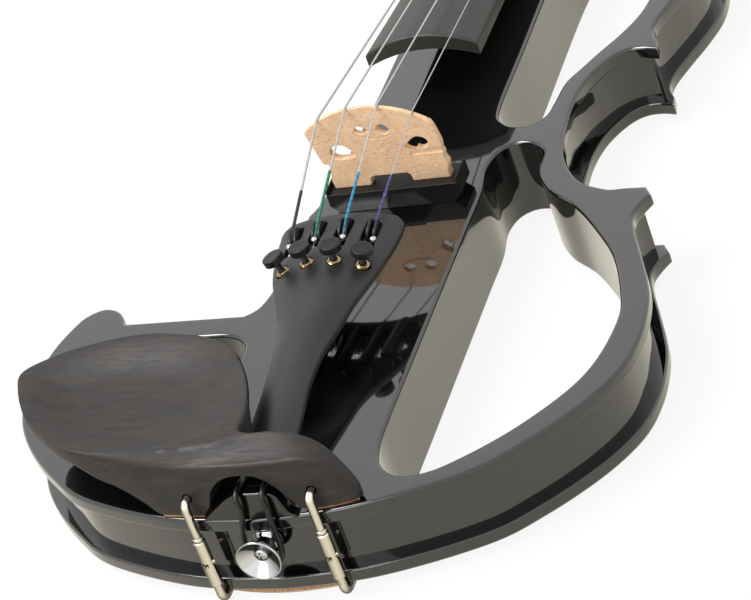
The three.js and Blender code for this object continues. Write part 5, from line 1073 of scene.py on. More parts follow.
def finish(name, sockets, *layers):
    """A principled material with layers of pattern on the piece's own coordinates.

    A layer's pattern is noise with features of a size in millimetres, bands across the strings
    with a pitch in millimetres, or without either how far the surface turns from the eye, which as
    a colour is painted shade. It drives a share of two colours, or of one over the layer before;
    the roughness; or a relief in millimetres with its strength. Two numbers are a low and a high,
    two more the pattern's range.
    """
    material = bpy.data.materials.new(name)
    tree = empty_tree(material)
    shader = add_node(tree, "ShaderNodeBsdfPrincipled", sockets)
    add_node(tree, "ShaderNodeOutputMaterial", links={"Surface": shader.outputs[0]})
    place = add_node(tree, "ShaderNodeTexCoord").outputs["Object"]
    colour = None
    for layer in layers:
        if "size" in layer:
            scale = tuple(1 / (layer["size"] * MM * s) for s in layer.get("stretch", (1, 1, 1)))
            scaled = add_node(tree, "ShaderNodeMapping", {"Scale": scale}, {"Vector": place})
            source = add_node(tree, "ShaderNodeTexNoise", {
                "Scale": 1.0, "Detail": layer.get("detail", 3),
                "Roughness": layer.get("grit", 0.55),
            }, {"Vector": scaled.outputs[0]}).outputs[0]
        elif "pitch" in layer:
            source = add_node(tree, "ShaderNodeTexWave", {
                "bands_direction": "Y", "Scale": 1 / (layer["pitch"] * MM) / WAVE_RATE,
                "Distortion": layer["wander"],
            }, {"Vector": place}).outputs[1]
        else:
            # How far the surface turns from the eye; driving a colour, this paints shade
            source = add_node(tree, "ShaderNodeLayerWeight", {"Blend": 0.5}).outputs["Facing"]
        for use in ("share", "roughness"):
            if use not in layer:
                continue
            low, high, start, end = (*layer[use], *PATTERN_MIDDLE)[:4]
            value = add_node(tree, "ShaderNodeMapRange", {
                "From Min": start, "From Max": end, "To Min": low, "To Max": high,
            }, {"Value": source}).outputs[0]
            if use == "share":
                settings = {"data_type": "RGBA", "blend_type": layer.get("blend", "MIX")}
                links = {0: value}
                if colour is None:
                    settings[6] = layer["under"]
                else:
                    links[6] = colour
                settings[7] = layer["over"]
                value = colour = add_node(tree, "ShaderNodeMix", settings, links).outputs[2]
            tree.links.new(value, shader.inputs["Base Color" if use == "share" else "Roughness"])
        if "relief" in layer:
            height, strength = layer["relief"]
            bump = add_node(tree, "ShaderNodeBump", {
                "Distance": height * MM, "Strength": strength,
            }, {"Height": source})
            tree.links.new(bump.outputs[0], shader.inputs["Normal"])


def finishes():
    """Every finish of the violin by name, made once from the scene's colours."""
    made = {m.name: m for m in bpy.data.materials}
    if "black_polyester_lacquer" in made:
        return made
    colours = bpy.context.scene.violin_colours
    own = {key: tuple(getattr(colours, key)) for key in ViolinColours.__annotations__}
    # Polyester lacquer, sprayed and buffed: a deep wet black with a faint swell and haze
    finish("black_polyester_lacquer", {
        "Base Color": own["lacquer"], "IOR": 1.52, "Coat Weight": 1.0, "Coat Roughness": 0.015,
        "Coat IOR": 1.56,
    }, {"size": 14, "detail": 2, "roughness": (0.05, 0.085)},
        {"size": 5, "detail": 1, "relief": (0.004, 0.35)})
    # Ebonised hardwood, oiled: satin grey-black with fine pores along the strings
    finish("ebonised_hardwood", {"IOR": 1.5}, {
        "size": 0.55, "stretch": (1, 26, 1), "detail": 5, "grit": 0.65,
        "under": shade(own["ebony"], 0.7), "over": shade(own["ebony"], 1.5), "share": (0, 1),
        "roughness": (0.34, 0.46), "relief": (0.02, 0.5),
    })
    # Stained rosewood, waxed: near black with brown streaks and short open pores
    finish("stained_rosewood", {"IOR": 1.5}, {
        "size": 2.4, "stretch": (9, 1, 1.4), "detail": 4, "grit": 0.6,
        "under": shade(own["chinrest"], 0.85), "over": own["chinrest_streaks"],
        "share": (0, 1, 0.36, 0.7),
    }, {
        "size": 0.5, "stretch": (14, 1, 1), "grit": 0.7, "over": linear("#9a9490"),
        "blend": "MULTIPLY", "share": (0.9, 0, 0.3, 0.5), "roughness": (0.6, 0.48),
        "relief": (0.03, 0.4),
    })
    # Hard maple, quarter sawn and bare: pale gold with short darker ray flecks
    finish("quarter_sawn_maple", {"IOR": 1.47, "Roughness": 0.55}, {
        "size": 5, "stretch": (1.4, 1, 0.8), "detail": 2,
        "under": shade(own["maple"], 0.93), "over": shade(own["maple"], 1.06), "share": (0, 1),
    }, {
        "size": 0.8, "stretch": (2.2, 1, 0.55), "detail": 4, "grit": 0.7,
        "over": own["maple_flecks"], "share": (0.75, 0, 0.38, 0.5), "relief": (0.02, 0.4),
    })
    for name, colour, roughness, relief, level in (
        # Satin moulded plastic: even dark grey highlights without a mirror image
        ("satin_moulded_plastic", own["satin"], 0.4, 0.006, 0.5),
        # Matte moulded plastic: soft, nearly without highlights
        ("matte_moulded_plastic", own["matte"], 0.5, 0.008, 0.3),
    ):
        finish(name, {"Base Color": colour, "IOR": 1.53, "Specular IOR Level": level},
               {"size": 9, "detail": 2, "roughness": (roughness - 0.03, roughness + 0.03)},
               {"size": 0.35, "detail": 2, "relief": (relief, 0.4)})
    # Each metal's colour darkens towards its edges as seen, by the third number of its row:
    # painted shade standing in for darker reflections
    for name, colour, rim, roughness, size, stretch in (
        # Nickel plate over steel: bright and slightly warm, with drawn lines along the rods
        ("nickel_plate", own["nickel"], 0.1, (0.1, 0.2), 1.2, (1, 1, 8)),
        # Chrome plate: a clean bright mirror
        ("chrome_plate", own["chrome"], 0.12, (0.04, 0.09), 6, (1, 1, 1)),
        # Turned brass: warm yellow, softly polished
        ("turned_brass", own["brass"], 0.75, (0.2, 0.32), 1.5, (1, 1, 1)),
        # Plain drawn steel: bright and smooth
        ("drawn_string_steel", shade(own["steel"], 1.1), 0.75, (0.18, 0.28), 2, (1, 1, 1)),
    ):
        finish(name, {"Metallic": 1.0},
               {"size": size, "stretch": stretch, "roughness": roughness, "relief": (0.002, 0.3)},
               # Painted shade: the colour darkens where the surface turns from the eye
               {"under": colour, "over": shade(colour, rim), "share": (0, 1, 0.12, 0.6)})
    # Black oxide steel: dark grey metal, rubbed lighter in fine specks
    finish("black_oxide_steel", {"Metallic": 0.85}, {
        "size": 0.45, "detail": 4, "grit": 0.7, "under": linear("#2a2a2c"),
        "over": linear("#434345"), "share": (0, 1, 0.4, 0.66), "roughness": (0.3, 0.48),
    })
    # Silver-wound string: a bright ribbon that catches the light in bands. The real turns of
    # 0.25 mm are far under a pixel, so the bands are drawn 4.7 mm apart, 2 pi times the pitch
    finish("wound_string", {"Metallic": 1.0, "Base Color": own["steel"]},
           {"pitch": 0.75, "wander": 0.0, "roughness": (0.26, 0.4, 0, 1), "relief": (0.02, 0.4)})
    # Silk thread wound tight round a string's end: soft with a low sheen. Its turns of about
    # 0.2 mm are drawn 2.5 mm apart, 2 pi times the pitch, so that they show
    for name in "gdae":
        colour = own[f"silk_{name}"]
        finish(f"{name}_silk", {"Roughness": 0.6, "Sheen Weight": 0.3, "Sheen Roughness": 0.4}, {
            "pitch": 0.4, "wander": 0.6, "under": shade(colour, 0.7),
            "over": shade(colour, 1.25), "share": (0, 1, 0, 1), "relief": (0.05, 0.6),
        })
    # Sheet cork: warm tan granules with dark pits
    finish("sheet_cork", {"Roughness": 0.88}, {
        "size": 1.1, "detail": 4, "grit": 0.75, "under": shade(own["cork"], 0.45),
        "over": shade(own["cork"], 1.25), "share": (0, 1, 0.33, 0.6), "relief": (0.12, 0.7),
    })
    # Braided tailgut in black nylon: dull black with fine lighter threads along it
    finish("braided_nylon", {"Roughness": 0.32, "IOR": 1.5}, {
        "size": 0.3, "stretch": (1, 8, 8), "detail": 2, "under": linear("#080808"),
        "over": linear("#1b1b1a"), "share": (0, 1, 0.52, 0.62), "relief": (0.05, 0.5),
    })
    # Ebonised saddle under clear lacquer: plain glossy black
    finish("polished_saddle_black", {
        "Base Color": linear("#0b0b0b"), "Coat Weight": 0.6, "Coat Roughness": 0.05,
    }, {"size": 0.6, "stretch": (10, 1, 1), "roughness": (0.16, 0.24), "relief": (0.004, 0.4)})
    # Solder mask over glass fibre: semi-gloss green with a faint weave and lighter tracks
    finish("solder_mask_green", {"Roughness": 0.35, "IOR": 1.5}, {
        "size": 3, "stretch": (1, 6, 1), "detail": 1, "under": linear("#17452a"),
        "over": linear("#2c7a48"), "share": (0, 1, 0.48, 0.54),
    })
    # Printed steel jacket of a block battery, left plain: dark grey with faint wear
    finish("jacketed_cell", {"Roughness": 0.32, "Metallic": 0.4}, {
        "size": 4, "under": linear("#2a2b2e"), "over": linear("#3b3c40"), "share": (0, 1),
    })
    return {m.name: m for m in bpy.data.materials}


# ---- Body ----


def shared(shares, side=1):
    """Outline shares as millimetres from the body's middle line."""
    return [Vector((side * x * BODY_HALF_WIDTH, y * BODY_LENGTH)) for x, y in shares]


def beside(shares, edge, side=1):
    """Outline shares as millimetres, their width counted from an edge of the centre block."""
    reach = BODY_HALF_WIDTH - edge
    return [Vector((side * (edge + x * reach), y * BODY_LENGTH)) for x, y in shares]


def body_loops():
    """The grooved chain of the bouts, the plain rest of the outline, and the three openings."""
    steps = 8
    lower = spline(shared(LOWER_BOUT_SHARES), steps, even=True)
    wing_start = WING_END_SHARES[0][1] * BODY_LENGTH
    bass = [Vector((-p.x, p.y)) for p in lower if p.y < wing_start - 0.5]
    wing = spline(shared(WING_END_SHARES, -1), steps, even=True)
    chain = wing[::-1] + bass[::-1] + lower[1:]
    for shares in (C_BOUT_SHARES, UPPER_BOUT_SHARES):
        chain += spline(shared(shares), steps, even=True)
    waist = spline([
        (-PLANK_HALF_WIDTH, PLANK_WAIST_START),
        ((-PLANK_HALF_WIDTH - BLOCK_HALF_WIDTH) / 2,
         PLANK_WAIST_START + WAIST_SHOULDER_LENGTH),
        (-BLOCK_HALF_WIDTH - 1, (PLANK_WAIST_START + PLANK_WAIST_END) / 2),
        (-BLOCK_HALF_WIDTH, PLANK_WAIST_END),
    ], steps, even=True)
    fillet = spline(beside(WING_FILLET_SHARES, PLANK_HALF_WIDTH, -1), 5, even=True)
    rest = [Vector((-BLOCK_HALF_WIDTH, BODY_LENGTH))] + waist[::-1] + fillet[::-1]
    openings = [
        thinned(spline(beside(shares, edge, side), steps, closed=True), BODY_POINT_SPACING)
        for shares, edge, side in (
            (LOWER_OPENING_SHARES, PLANK_HALF_WIDTH, 1),
            (UPPER_OPENING_SHARES, BLOCK_HALF_WIDTH, 1),
            (LEFT_OPENING_SHARES, PLANK_HALF_WIDTH, -1),
        )
    ]
    whole = thinned(chain + rest, BODY_POINT_SPACING)
    split = min(range(len(whole)), key=lambda i: (whole[i] - chain[-1]).length)
    return whole[: split + 1], whole[split + 1 :], openings


def body_part(edge, flange, rib_inset):
    """The body's shell: two rounded plates that stand out past the ribs, and walls round its
    openings. The plain side of the block has no groove."""
    chain, rest, openings = body_loops()
    loop = chain + rest
    openings = oriented([loop, *openings])[1:]
    # The plates' inner edges are nearly sharp, and fade to nothing at the groove's two ends
    near = [min(i, len(chain) - 1 - i) for i in range(len(chain))]
    under = [mix(*UNDER_EDGES, ease(n / UNDER_FADE_POINTS)) for n in near]
    under += [UNDER_EDGES[0]] * len(rest)
    rib = inset(chain, rib_inset, closed=False)
    outline = np.array([tuple(p) for p in chain])
    rib = [p for p in rib
           if np.min(np.hypot(*(outline - np.array(p)).T)) > rib_inset * RIB_TRIM_SHARE]
    rib = [Vector((p.x, min(p.y, BODY_LENGTH - PLAIN_SIDE_INSET))) for p in rib]
    rib += inset(loop, PLAIN_SIDE_INSET)[len(chain) :]
    points, faces = [], []

    def ring(line, heights):
        """Adds a line's points at a height, or at one for each."""
        heights = heights if isinstance(heights, list) else [heights] * len(line)
        points.extend((p.x, p.y, z) for p, z in zip(line, heights))
        return len(points) - len(line), line

    def skin(rings):
        for (low, line), (high, _) in zip(rings, rings[1:]):
            for i in range(len(line)):
                j = (i + 1) % len(line)
                faces.append((low + i, low + j, high + j, high + i))

    def cap(rims, z):
        """Closes the region between rings with flat faces."""
        extra, made = filled([line for _, line in rims])
        index = [start + i for start, line in rims for i in range(len(line))]
        index += [len(points) + i for i in range(len(extra))]
        points.extend((p.x, p.y, z) for p in extra)
        faces.extend(tuple(index[i] for i in face) for face in made)

    def rounded(line, z, way, radii=None):
        """Rings of a quarter round from a plate's face at z to its side."""
        made = []
        radii = radii or [edge] * len(line)
        for angle in np.linspace(0, math.pi / 2, 5):
            step = inset(line, [r * (1 - math.sin(angle)) for r in radii])
            made.append(ring(step, [z + way * r * (1 - math.cos(angle)) for r in radii]))
        return made

    top = rounded(loop, 0, -1)
    under_top = rounded(loop, -flange, 1, under)
    over_back = rounded(loop, BACK_Z + flange, -1, under)
    back = rounded(loop, BACK_Z, 1)
    skin(top + under_top[::-1])
    skin(over_back + back[::-1])
    rib_top, rib_low = ring(rib, -flange), ring(rib, BACK_Z + flange)
    skin([rib_top, rib_low])
    cap([under_top[0], rib_top], -flange)
    cap([over_back[0], rib_low], BACK_Z + flange)
    top_rims, back_rims = [top[0]], [back[0]]
    for opening in openings:
        upper, lower = rounded(opening, 0, -1), rounded(opening, BACK_Z, 1)
        skin(upper + lower[::-1])
        top_rims.append(upper[0])
        back_rims.append(lower[0])
    for half, start, end, depth in ((*BAY, BAY_DEPTH), (*BATTERY_BAY, BATTERY_DEPTH)):
        ledge, m = BACK_Z + COVER_THICKNESS, COVER_MARGIN
        wide, deep = (
            [Vector(p) for p in (corners[0], *corners[:0:-1])]
            for corners in (oblong(-half - m, start - m, half + m, end + m),
                            oblong(-half, start, half, end))
        )
        mouth, seat = ring(wide, BACK_Z), ring(wide, ledge)
        lip, floor = ring(deep, ledge), ring(deep, BACK_Z + depth)
        skin([mouth, seat])
        skin([lip, floor])
        cap([seat, lip], ledge)
        cap([floor], BACK_Z + depth)
        back_rims.append(mouth)
    cap(top_rims, 0)
    cap(back_rims, BACK_Z)
    return points, faces


class VIOLIN_OT_body(bpy.types.Operator):
    """Build the skeleton body with its openings, ribs and the bays in its back"""

    bl_idname = "violin.body"
    bl_label = "Body"

    def execute(self, context):
        sizes = context.scene.violin_sizes
        part = body_part(sizes.edge / MM, sizes.flange / MM, sizes.rib_inset / MM)
        start, end = -PLANK_HALF_WIDTH - 2, CONTROL_BORE_END_X
        holes = [bore((start, y, CONTROL_Z), (1, 0, 0), radius, 0, end - start, 32)
                 for y, radius in CONTROL_BORES]
        half_y, half_z = SWITCH_SLOT
        slot = box((start, SWITCH_Y - half_y, CONTROL_Z - half_z),
                   (end, SWITCH_Y + half_y, CONTROL_Z + half_z))
        crafted("body_shell", part, "black_polyester_lacquer", "body", "lacquered_wood",
                "centre_block", "treble_frame", "bass_wing", cut=[joined(*holes, slot)], even=True)
        return {"FINISHED"}


# ---- Neck ----


def board_base(y):
    """Height of the fingerboard's underside."""
    return BOARD_NUT_BASE_Z + (NUT_Y - y) * BOARD_SLOPE_SHARE


def board_half(y):
    """Half the fingerboard's width."""
    return BOARD_NUT_HALF_WIDTH + (NUT_Y - y) * BOARD_TAPER_SHARE


def neck_top(y):
    """Height of the neck's glued face under the fingerboard."""
    return board_base(y) - FIT_GAP


def rise(x, half, radius):
    """How far an arc over a width stands above its edges."""
    return math.sqrt(radius * radius - x * x) - math.sqrt(radius * radius - half * half)


def drop(x, radius):
    """How far an arc falls from its crown."""
    return radius - math.sqrt(radius * radius - x * x)


def pegbox_rim(y):
    """Height of the pegbox's upper edge."""
    return neck_top(PEGBOX_Y) - PEGBOX_RIM_FALL * (y - PEGBOX_Y) / (SCROLL_Y - PEGBOX_Y)


def pegbox_half(y):
    """Half the pegbox's width, narrowing to the scroll's throat."""
    throat = SCROLL_Y - SCROLL_RADIUS / 2
    share = (y - PEGBOX_Y) / (SCROLL_Y - PEGBOX_Y)
    half = mix(PEGBOX_START_HALF_WIDTH, PEGBOX_END_HALF_WIDTH, share)
    return mix(half, SCROLL_THROAT_HALF_WIDTH, fade(y, throat, SCROLL_Y - throat))


def neck_ring(y, top, depth, half):
    """A section of the neck: flat on top, round below."""
    steps = 28
    ring = [(half, y, top)]
    for i in range(steps + 1):
        angle = math.pi * i / steps
        side = math.copysign(abs(math.cos(angle)) ** NECK_ROUNDNESS, math.cos(angle))
        low = top - NECK_EDGE_HEIGHT - (depth - NECK_EDGE_HEIGHT) * math.sin(angle)
        ring.append((half * side, y, low))
    ring.append((-half, y, top))
    return ring


def shaft_part():
    """The neck from the body's end to the nut, with its heel."""
    heel_end = BODY_LENGTH + HEEL_LENGTH
    rings = []
    for along, deep in spline(HEEL_SHARES, 8, even=True):
        y = BODY_LENGTH + along * HEEL_LENGTH
        depth = mix(NECK_HEEL_DEPTH, neck_top(y) - BACK_Z, deep)
        half = mix(HEEL_HALF_WIDTH, board_half(heel_end), along)
        rings.append(neck_ring(y, neck_top(y), depth, half))
    end = PEGBOX_Y + 1
    steps = 40
    for i in range(1, steps + 1):
        share = i / steps
        y = mix(heel_end, end, share)
        rings.append(neck_ring(y, neck_top(y), mix(NECK_HEEL_DEPTH, NECK_NUT_DEPTH, share),
                               mix(board_half(heel_end), BOARD_NUT_HALF_WIDTH, share)))
    return loft(rings)


def pegbox_part():
    """The pegbox as a plate seen from the side, spread to its width, and the hollow in it."""
    start_low = neck_top(PEGBOX_Y) - NECK_NUT_DEPTH
    chin_y = PEGBOX_Y + PEGBOX_CHIN_LENGTH
    chin_low = neck_top(PEGBOX_Y) - PEGBOX_CHIN_DEPTH
    throat_y = SCROLL_Y - SCROLL_RADIUS / 2
    throat_low = REST_Z + PEGBOX_THROAT_RISE
    under = spline([
        (PEGBOX_Y - PEGBOX_OVERLAP, start_low), (PEGBOX_Y + 3, start_low - 2),
        ((PEGBOX_Y + chin_y) / 2, (start_low + chin_low) / 2 - 4), (chin_y, chin_low),
        (mix(chin_y, throat_y, 0.5), mix(chin_low, throat_low, 0.5)), (throat_y, throat_low),
        (SCROLL_Y, REST_Z + 0.2),
    ], 5)
    side = [*under, (SCROLL_Y, SCROLL_Z), (throat_y, pegbox_rim(throat_y)),
            (PEGBOX_Y, pegbox_rim(PEGBOX_Y)),
            (PEGBOX_Y - PEGBOX_OVERLAP, pegbox_rim(PEGBOX_Y))]

    def edge(y, z):
        above = z - pegbox_rim(y) + PEGBOX_EDGE_DEPTH
        return mix(*PEGBOX_EDGES, ease(above / PEGBOX_EDGE_FADE))

    outer = slab([dense(side, 3)], lambda y, z: -pegbox_half(y), lambda y, z: pegbox_half(y), edge,
                 facing_side, spacing=6, steps=6)
    start = PEGBOX_Y + PEGBOX_HOLLOW_START
    end = start + PEGBOX_HOLLOW_LENGTH
    floor = [(start, start_low), (chin_y, chin_low + PEGBOX_FLOOR_THICKNESS),
             (end, (chin_low + throat_low) / 2 + PEGBOX_FLOOR_THICKNESS), (end, 8), (start, 8)]
    inner = slab([dense(floor, 6)], lambda y, z: PEGBOX_WALL_THICKNESS - pegbox_half(y),
                 lambda y, z: pegbox_half(y) - PEGBOX_WALL_THICKNESS, 0.8,
                 facing_side, spacing=8)
    return outer, inner


def volute_part(per_turn=40):
    """The scroll: a spiral that steps outwards to both sides turn by turn, closed at its eyes."""
    steps = int(per_turn * SCROLL_TURNS)
    last = steps - per_turn
    points, faces = [], []

    def half(i):
        share = min(i / last, 1) ** SCROLL_SPREAD_POWER
        return mix(SCROLL_THROAT_HALF_WIDTH, SCROLL_HALF_WIDTH, share)

    def corner(i, spot, side):
        radius = SCROLL_RADIUS * SCROLL_DECAY_SHARE ** (spot / per_turn)
        angle = -math.pi / 2 + 2 * math.pi * spot / per_turn
        points.append((side * half(i), SCROLL_Y + radius * math.cos(angle),
                       SCROLL_Z + radius * math.sin(angle)))
        return len(points) - 1

    sides = []
    for side in (1, -1):
        edge = [corner(i, i, side) for i in range(steps + 1)]
        foot = [corner(i, i + per_turn, side) for i in range(last + 1)]
        for i in range(last):
            faces.append((edge[i], edge[i + 1], foot[i + 1], foot[i]))
            faces.append((foot[i], foot[i + 1], edge[i + 1 + per_turn], edge[i + per_turn]))
        points.append((side * SCROLL_HALF_WIDTH, SCROLL_Y, SCROLL_Z))
        eye = len(points) - 1
        faces += [(eye, edge[i], edge[i + 1]) for i in range(last, steps)]
        faces.append((eye, edge[steps], edge[last]))
        sides.append((edge, foot))
    (edge_r, foot_r), (edge_l, foot_l) = sides
    for i in range(per_turn):
        faces.append((edge_r[i], edge_l[i], edge_l[i + 1], edge_r[i + 1]))
    faces.append((edge_r[0], foot_r[0], foot_l[0], edge_l[0]))
    faces.append((foot_r[0], edge_r[per_turn], edge_l[per_turn], foot_l[0]))
    return points, faces


def peg_place(number):
    """Place of a peg's axis along the pegbox and its height."""
    y = PEGBOX_Y + PEG_FIRST_LENGTH + PEG_SPACING * number
    return y, pegbox_rim(y) - PEG_DEPTH


class VIOLIN_OT_neck(bpy.types.Operator):
    """Build the neck with its heel, pegbox and scroll"""

    bl_idname = "violin.neck"
    bl_label = "Neck and scroll"

    def execute(self, context):
        corners = oblong(-TENON_HALF_WIDTH, BODY_LENGTH - TENON_LENGTH, TENON_HALF_WIDTH,
                         BODY_LENGTH + 2)
        tenon = slab([dense(corners, 50)], 0, lambda x, y: neck_top(y), 0, steps=1)
        outer, inner = pegbox_part()
        holes = [bore((-SCROLL_HALF_WIDTH, *peg_place(n)), (1, 0, 0),
                      PEG_RADIUS + PEG_CLEARANCE, 0, 2 * SCROLL_HALF_WIDTH, 32)
                 for n in range(len(STRINGS))]
        crafted("neck_and_scroll", shaft_part(), "black_polyester_lacquer", "body",
                "lacquered_wood", "neck", add=[tenon, outer, volute_part()],
                cut=[inner, joined(*holes)])
        return {"FINISHED"}


class VIOLIN_OT_fingerboard(bpy.types.Operator):
    """Build the arched fingerboard and the nut"""

    bl_idname = "violin.fingerboard"
    bl_label = "Fingerboard and nut"

    def execute(self, context):
        start, end = BOARD_START_Y, NUT_Y - FIT_GAP

        def under(x, y):
            fade = ease((BOARD_HOLLOW_END_Y + BOARD_HOLLOW_FADE - y) / BOARD_HOLLOW_FADE)
            return board_base(y) + fade * BOARD_HOLLOW_DEPTH * max(1 - (x / board_half(y)) ** 2, 0)

        def over(x, y):
            return board_base(y) + BOARD_EDGE_HEIGHT + rise(x, board_half(y), BOARD_RADIUS)

        def crest(x, y):
            fall, back, length = NUT_FALL
            return (board_base(NUT_Y) + BOARD_EDGE_HEIGHT + rise(x, half, BOARD_RADIUS)
                    + NUT_STEP_HEIGHT - fall * ease((y - NUT_Y - back) / length))

        plan = [(-board_half(start), start), (board_half(start), start),
                (board_half(end), end), (-board_half(end), end)]
        crafted("arched_fingerboard", slab([dense(plan, 2)], under, over, 0.9, spacing=3),
                "ebonised_hardwood", "body", "board_wood", "fingerboard", even=True)
        half = BOARD_NUT_HALF_WIDTH
        nut = slab([dense(oblong(-half, NUT_Y, half, PEGBOX_Y - FIT_GAP), 0.8)], board_base(NUT_Y),
                   crest, 0.6, spacing=1, low_rounding=0.2)
        crafted("string_nut", nut, "ebonised_hardwood", "body", "board_wood", "nut", even=True)
        return {"FINISHED"}


# ---- Bridge ----


def bridge_top(x):
    """Height of the bridge's crown."""
    return BRIDGE_CROWN_Z - drop(x - BRIDGE_CROWN_X, BRIDGE_RADIUS)


class VIOLIN_OT_bridge(bpy.types.Operator):
    """Build the carved bridge and the pickup block that it stands on"""

    bl_idname = "violin.bridge"
    bl_label = "Bridge and pickup"

    def execute(self, context):
        sizes = context.scene.violin_sizes
        foot, top = sizes.bridge_foot / MM, sizes.bridge_top / MM
        left_in, right_in = BRIDGE_FEET
        crown = [Vector((x, bridge_top(x))) for x in np.linspace(*BRIDGE_CROWN_ENDS, 30)]
        arch = [Vector(p) for p in (
            (left_in, PICKUP_SEAT_Z), (left_in + 0.5, BRIDGE_ARCH_Z - 0.7),
            (left_in + 1.5, BRIDGE_ARCH_Z), (right_in - 1.5, BRIDGE_ARCH_Z),
            (right_in - 0.4, BRIDGE_ARCH_Z - 0.8), (right_in, PICKUP_SEAT_Z),
        )]
        outline = spline(BRIDGE_RIGHT, 5) + crown + spline(BRIDGE_LEFT, 5)[::-1] + arch
        holes = [spline(points, 5, closed=True) for points in BRIDGE_KIDNEYS + BRIDGE_HEARTS]

        def half(u, v):
            return mix(foot, top, (v - PICKUP_SEAT_Z) / (BRIDGE_CROWN_Z - PICKUP_SEAT_Z)) / 2

        part = slab([thinned(outline, 0.5), *(thinned(hole, 0.45) for hole in holes)],
                    lambda u, v: BRIDGE_Y - half(u, v), lambda u, v: BRIDGE_Y + half(u, v), 0.3,
                    facing_tail, steps=3)
        groove = [(x, BRIDGE_Y - half(x, z) - BRIDGE_GROOVE_OFFSET, z)
                  for x, z in spline(BRIDGE_ARC, 5)]
        (start, low), (end, high) = BRIDGE_STEP
        face = BRIDGE_Y - half(0, low) + BRIDGE_STEP_DEPTH
        crafted("carved_bridge", part, "quarter_sawn_maple", "body", "maple", "bridge",
                cut=[tube(groove, BRIDGE_GROOVE_RADIUS, 10),
                     box((start, face - 5, low), (end, face, high))],
                even=True)

        reach, lug = PICKUP_HALF_LENGTH, PICKUP_SEAT_Z + PICKUP_LUG_HEIGHT
        side = [(reach - PICKUP_CHAMFER, 0), (reach, PICKUP_CHAMFER), (reach, lug - 0.6),
                (reach - 0.2, lug), (reach - PICKUP_LUG_WIDTH, lug),
                (reach - PICKUP_LUG_WIDTH, PICKUP_SEAT_Z)]
        ring = [(PICKUP_X + x, z) for x, z in side] + [(PICKUP_X - x, z) for x, z in side[::-1]]
        part = slab([dense(ring, 8)], BRIDGE_Y - PICKUP_DEPTH / 2, BRIDGE_Y + PICKUP_DEPTH / 2,
                    0.25, facing_tail, steps=3)
        crafted("pickup_block", part, "matte_moulded_plastic", "body", "matte_black",
                "bridge_pickup", even=True)
        return {"FINISHED"}


# ---- Tailpiece ----


def tailpiece_at(y):
    """Half width, crown height and arch radius at a place along the tailpiece."""
    share = (y - TAILPIECE_START_Y) / TAILPIECE_LENGTH
    half = table(TAILPIECE_SHARES, share, 1) * TAILPIECE_HALF_WIDTH
    crown = mix(TAILPIECE_CROWN_START_Z, TAILPIECE_CROWN_END_Z, table(TAILPIECE_SHARES, share, 2))
    return half, crown, table(TAILPIECE_SHARES, share, 3) * TAILPIECE_ARC_RADIUS


def tailpiece_top(x, y):
    """Height of the tailpiece's arched face."""
    half, crown, radius = tailpiece_at(y)
    return crown - drop(min(abs(x), half), radius)


def tailpiece_under(x, y):
    """Height of the tailpiece's underside, thicker towards the root."""
    half, crown, radius = tailpiece_at(y)
    narrow = max(1 - (y - TAILPIECE_START_Y) / TAILPIECE_LENGTH / TAILPIECE_ROOT_SHARE, 0)
    depth = mix(TAILPIECE_WALL, TAILPIECE_ROOT_DEPTH, narrow)
    edge = crown - drop(half, radius) - TAILPIECE_EDGE
    return max(tailpiece_top(x, y) - depth, edge)


def tuner_of(string):
    """Seat of a fine tuner's screw on the tailpiece and its lean to the side."""
    side = math.copysign(1, string["place"])
    x = side * (TUNER_OUTER_X if abs(string["place"]) > 1 else TUNER_INNER_X)
    seat = Vector((x, TUNER_SCREW_Y, tailpiece_top(x, TUNER_SCREW_Y)))
    return seat, math.asin(x / TUNER_FAN_RADIUS)


def fanned(part, seat, tilt):
    """A shape made upright over its seat, leaned to its tuner's fan angle."""
    turn = Matrix.Rotation(tilt, 3, "Y")
    return moved(part, lambda x, y, z: tuple(seat + turn @ (Vector((x, y, z)) - seat)))


class VIOLIN_OT_tailpiece(bpy.types.Operator):
    """Build the arched tailpiece with its slots and the holes for the bushes and the gut"""

    bl_idname = "violin.tailpiece"
    bl_label = "Tailpiece"

    def execute(self, context):
        right = spline([
            (row[1] * TAILPIECE_HALF_WIDTH, TAILPIECE_START_Y + row[0] * TAILPIECE_LENGTH)
            for row in TAILPIECE_SHARES
        ], 4)
        left = [Vector((-p.x, p.y)) for p in reversed(right)]
        holes = []
        half, front, rear = TUNER_SLOT_WIDTH / 2, 0.6, 1
        low, high = TUNER_SLOT_START + TUNER_SLOT_SHIFT_Y, TUNER_SLOT_END + TUNER_SLOT_SHIFT_Y
        for string in STRINGS:
            seat, _ = tuner_of(string)
            a, b = (seat.x + string["shift"] + side * half for side in (-1, 1))
            holes.append(dense([
                (a, low + front), (a + front, low), (b - front, low), (b, low + front),
                (b, high - rear), (b - rear, high), (a + rear, high), (a, high - rear),
            ], 1.5))
            hole = arc((0, 0), TUNER_BUSH_RADIUS + TUNER_BUSH_CLEARANCE, 0, 345, 23)
            holes.append([seat.xy + p for p in hole])
        part = slab([dense(thinned(right + left, 0.9), 2), *holes], tailpiece_under, tailpiece_top,
                    0.55, spacing=1.8, steps=3)
        bores = [bore((side * GUT_HALF_SPACING, TAILPIECE_START_Y - 2, GUT_Z), (0, 1, 0),
                      GUT_BORE_RADIUS, 0, GUT_BORE_DEPTH, 20) for side in (1, -1)]
        crafted("arched_tailpiece", part, "satin_moulded_plastic", "body", "satin_black",
                "tailpiece", cut=[joined(*bores)], even=True)
        return {"FINISHED"}


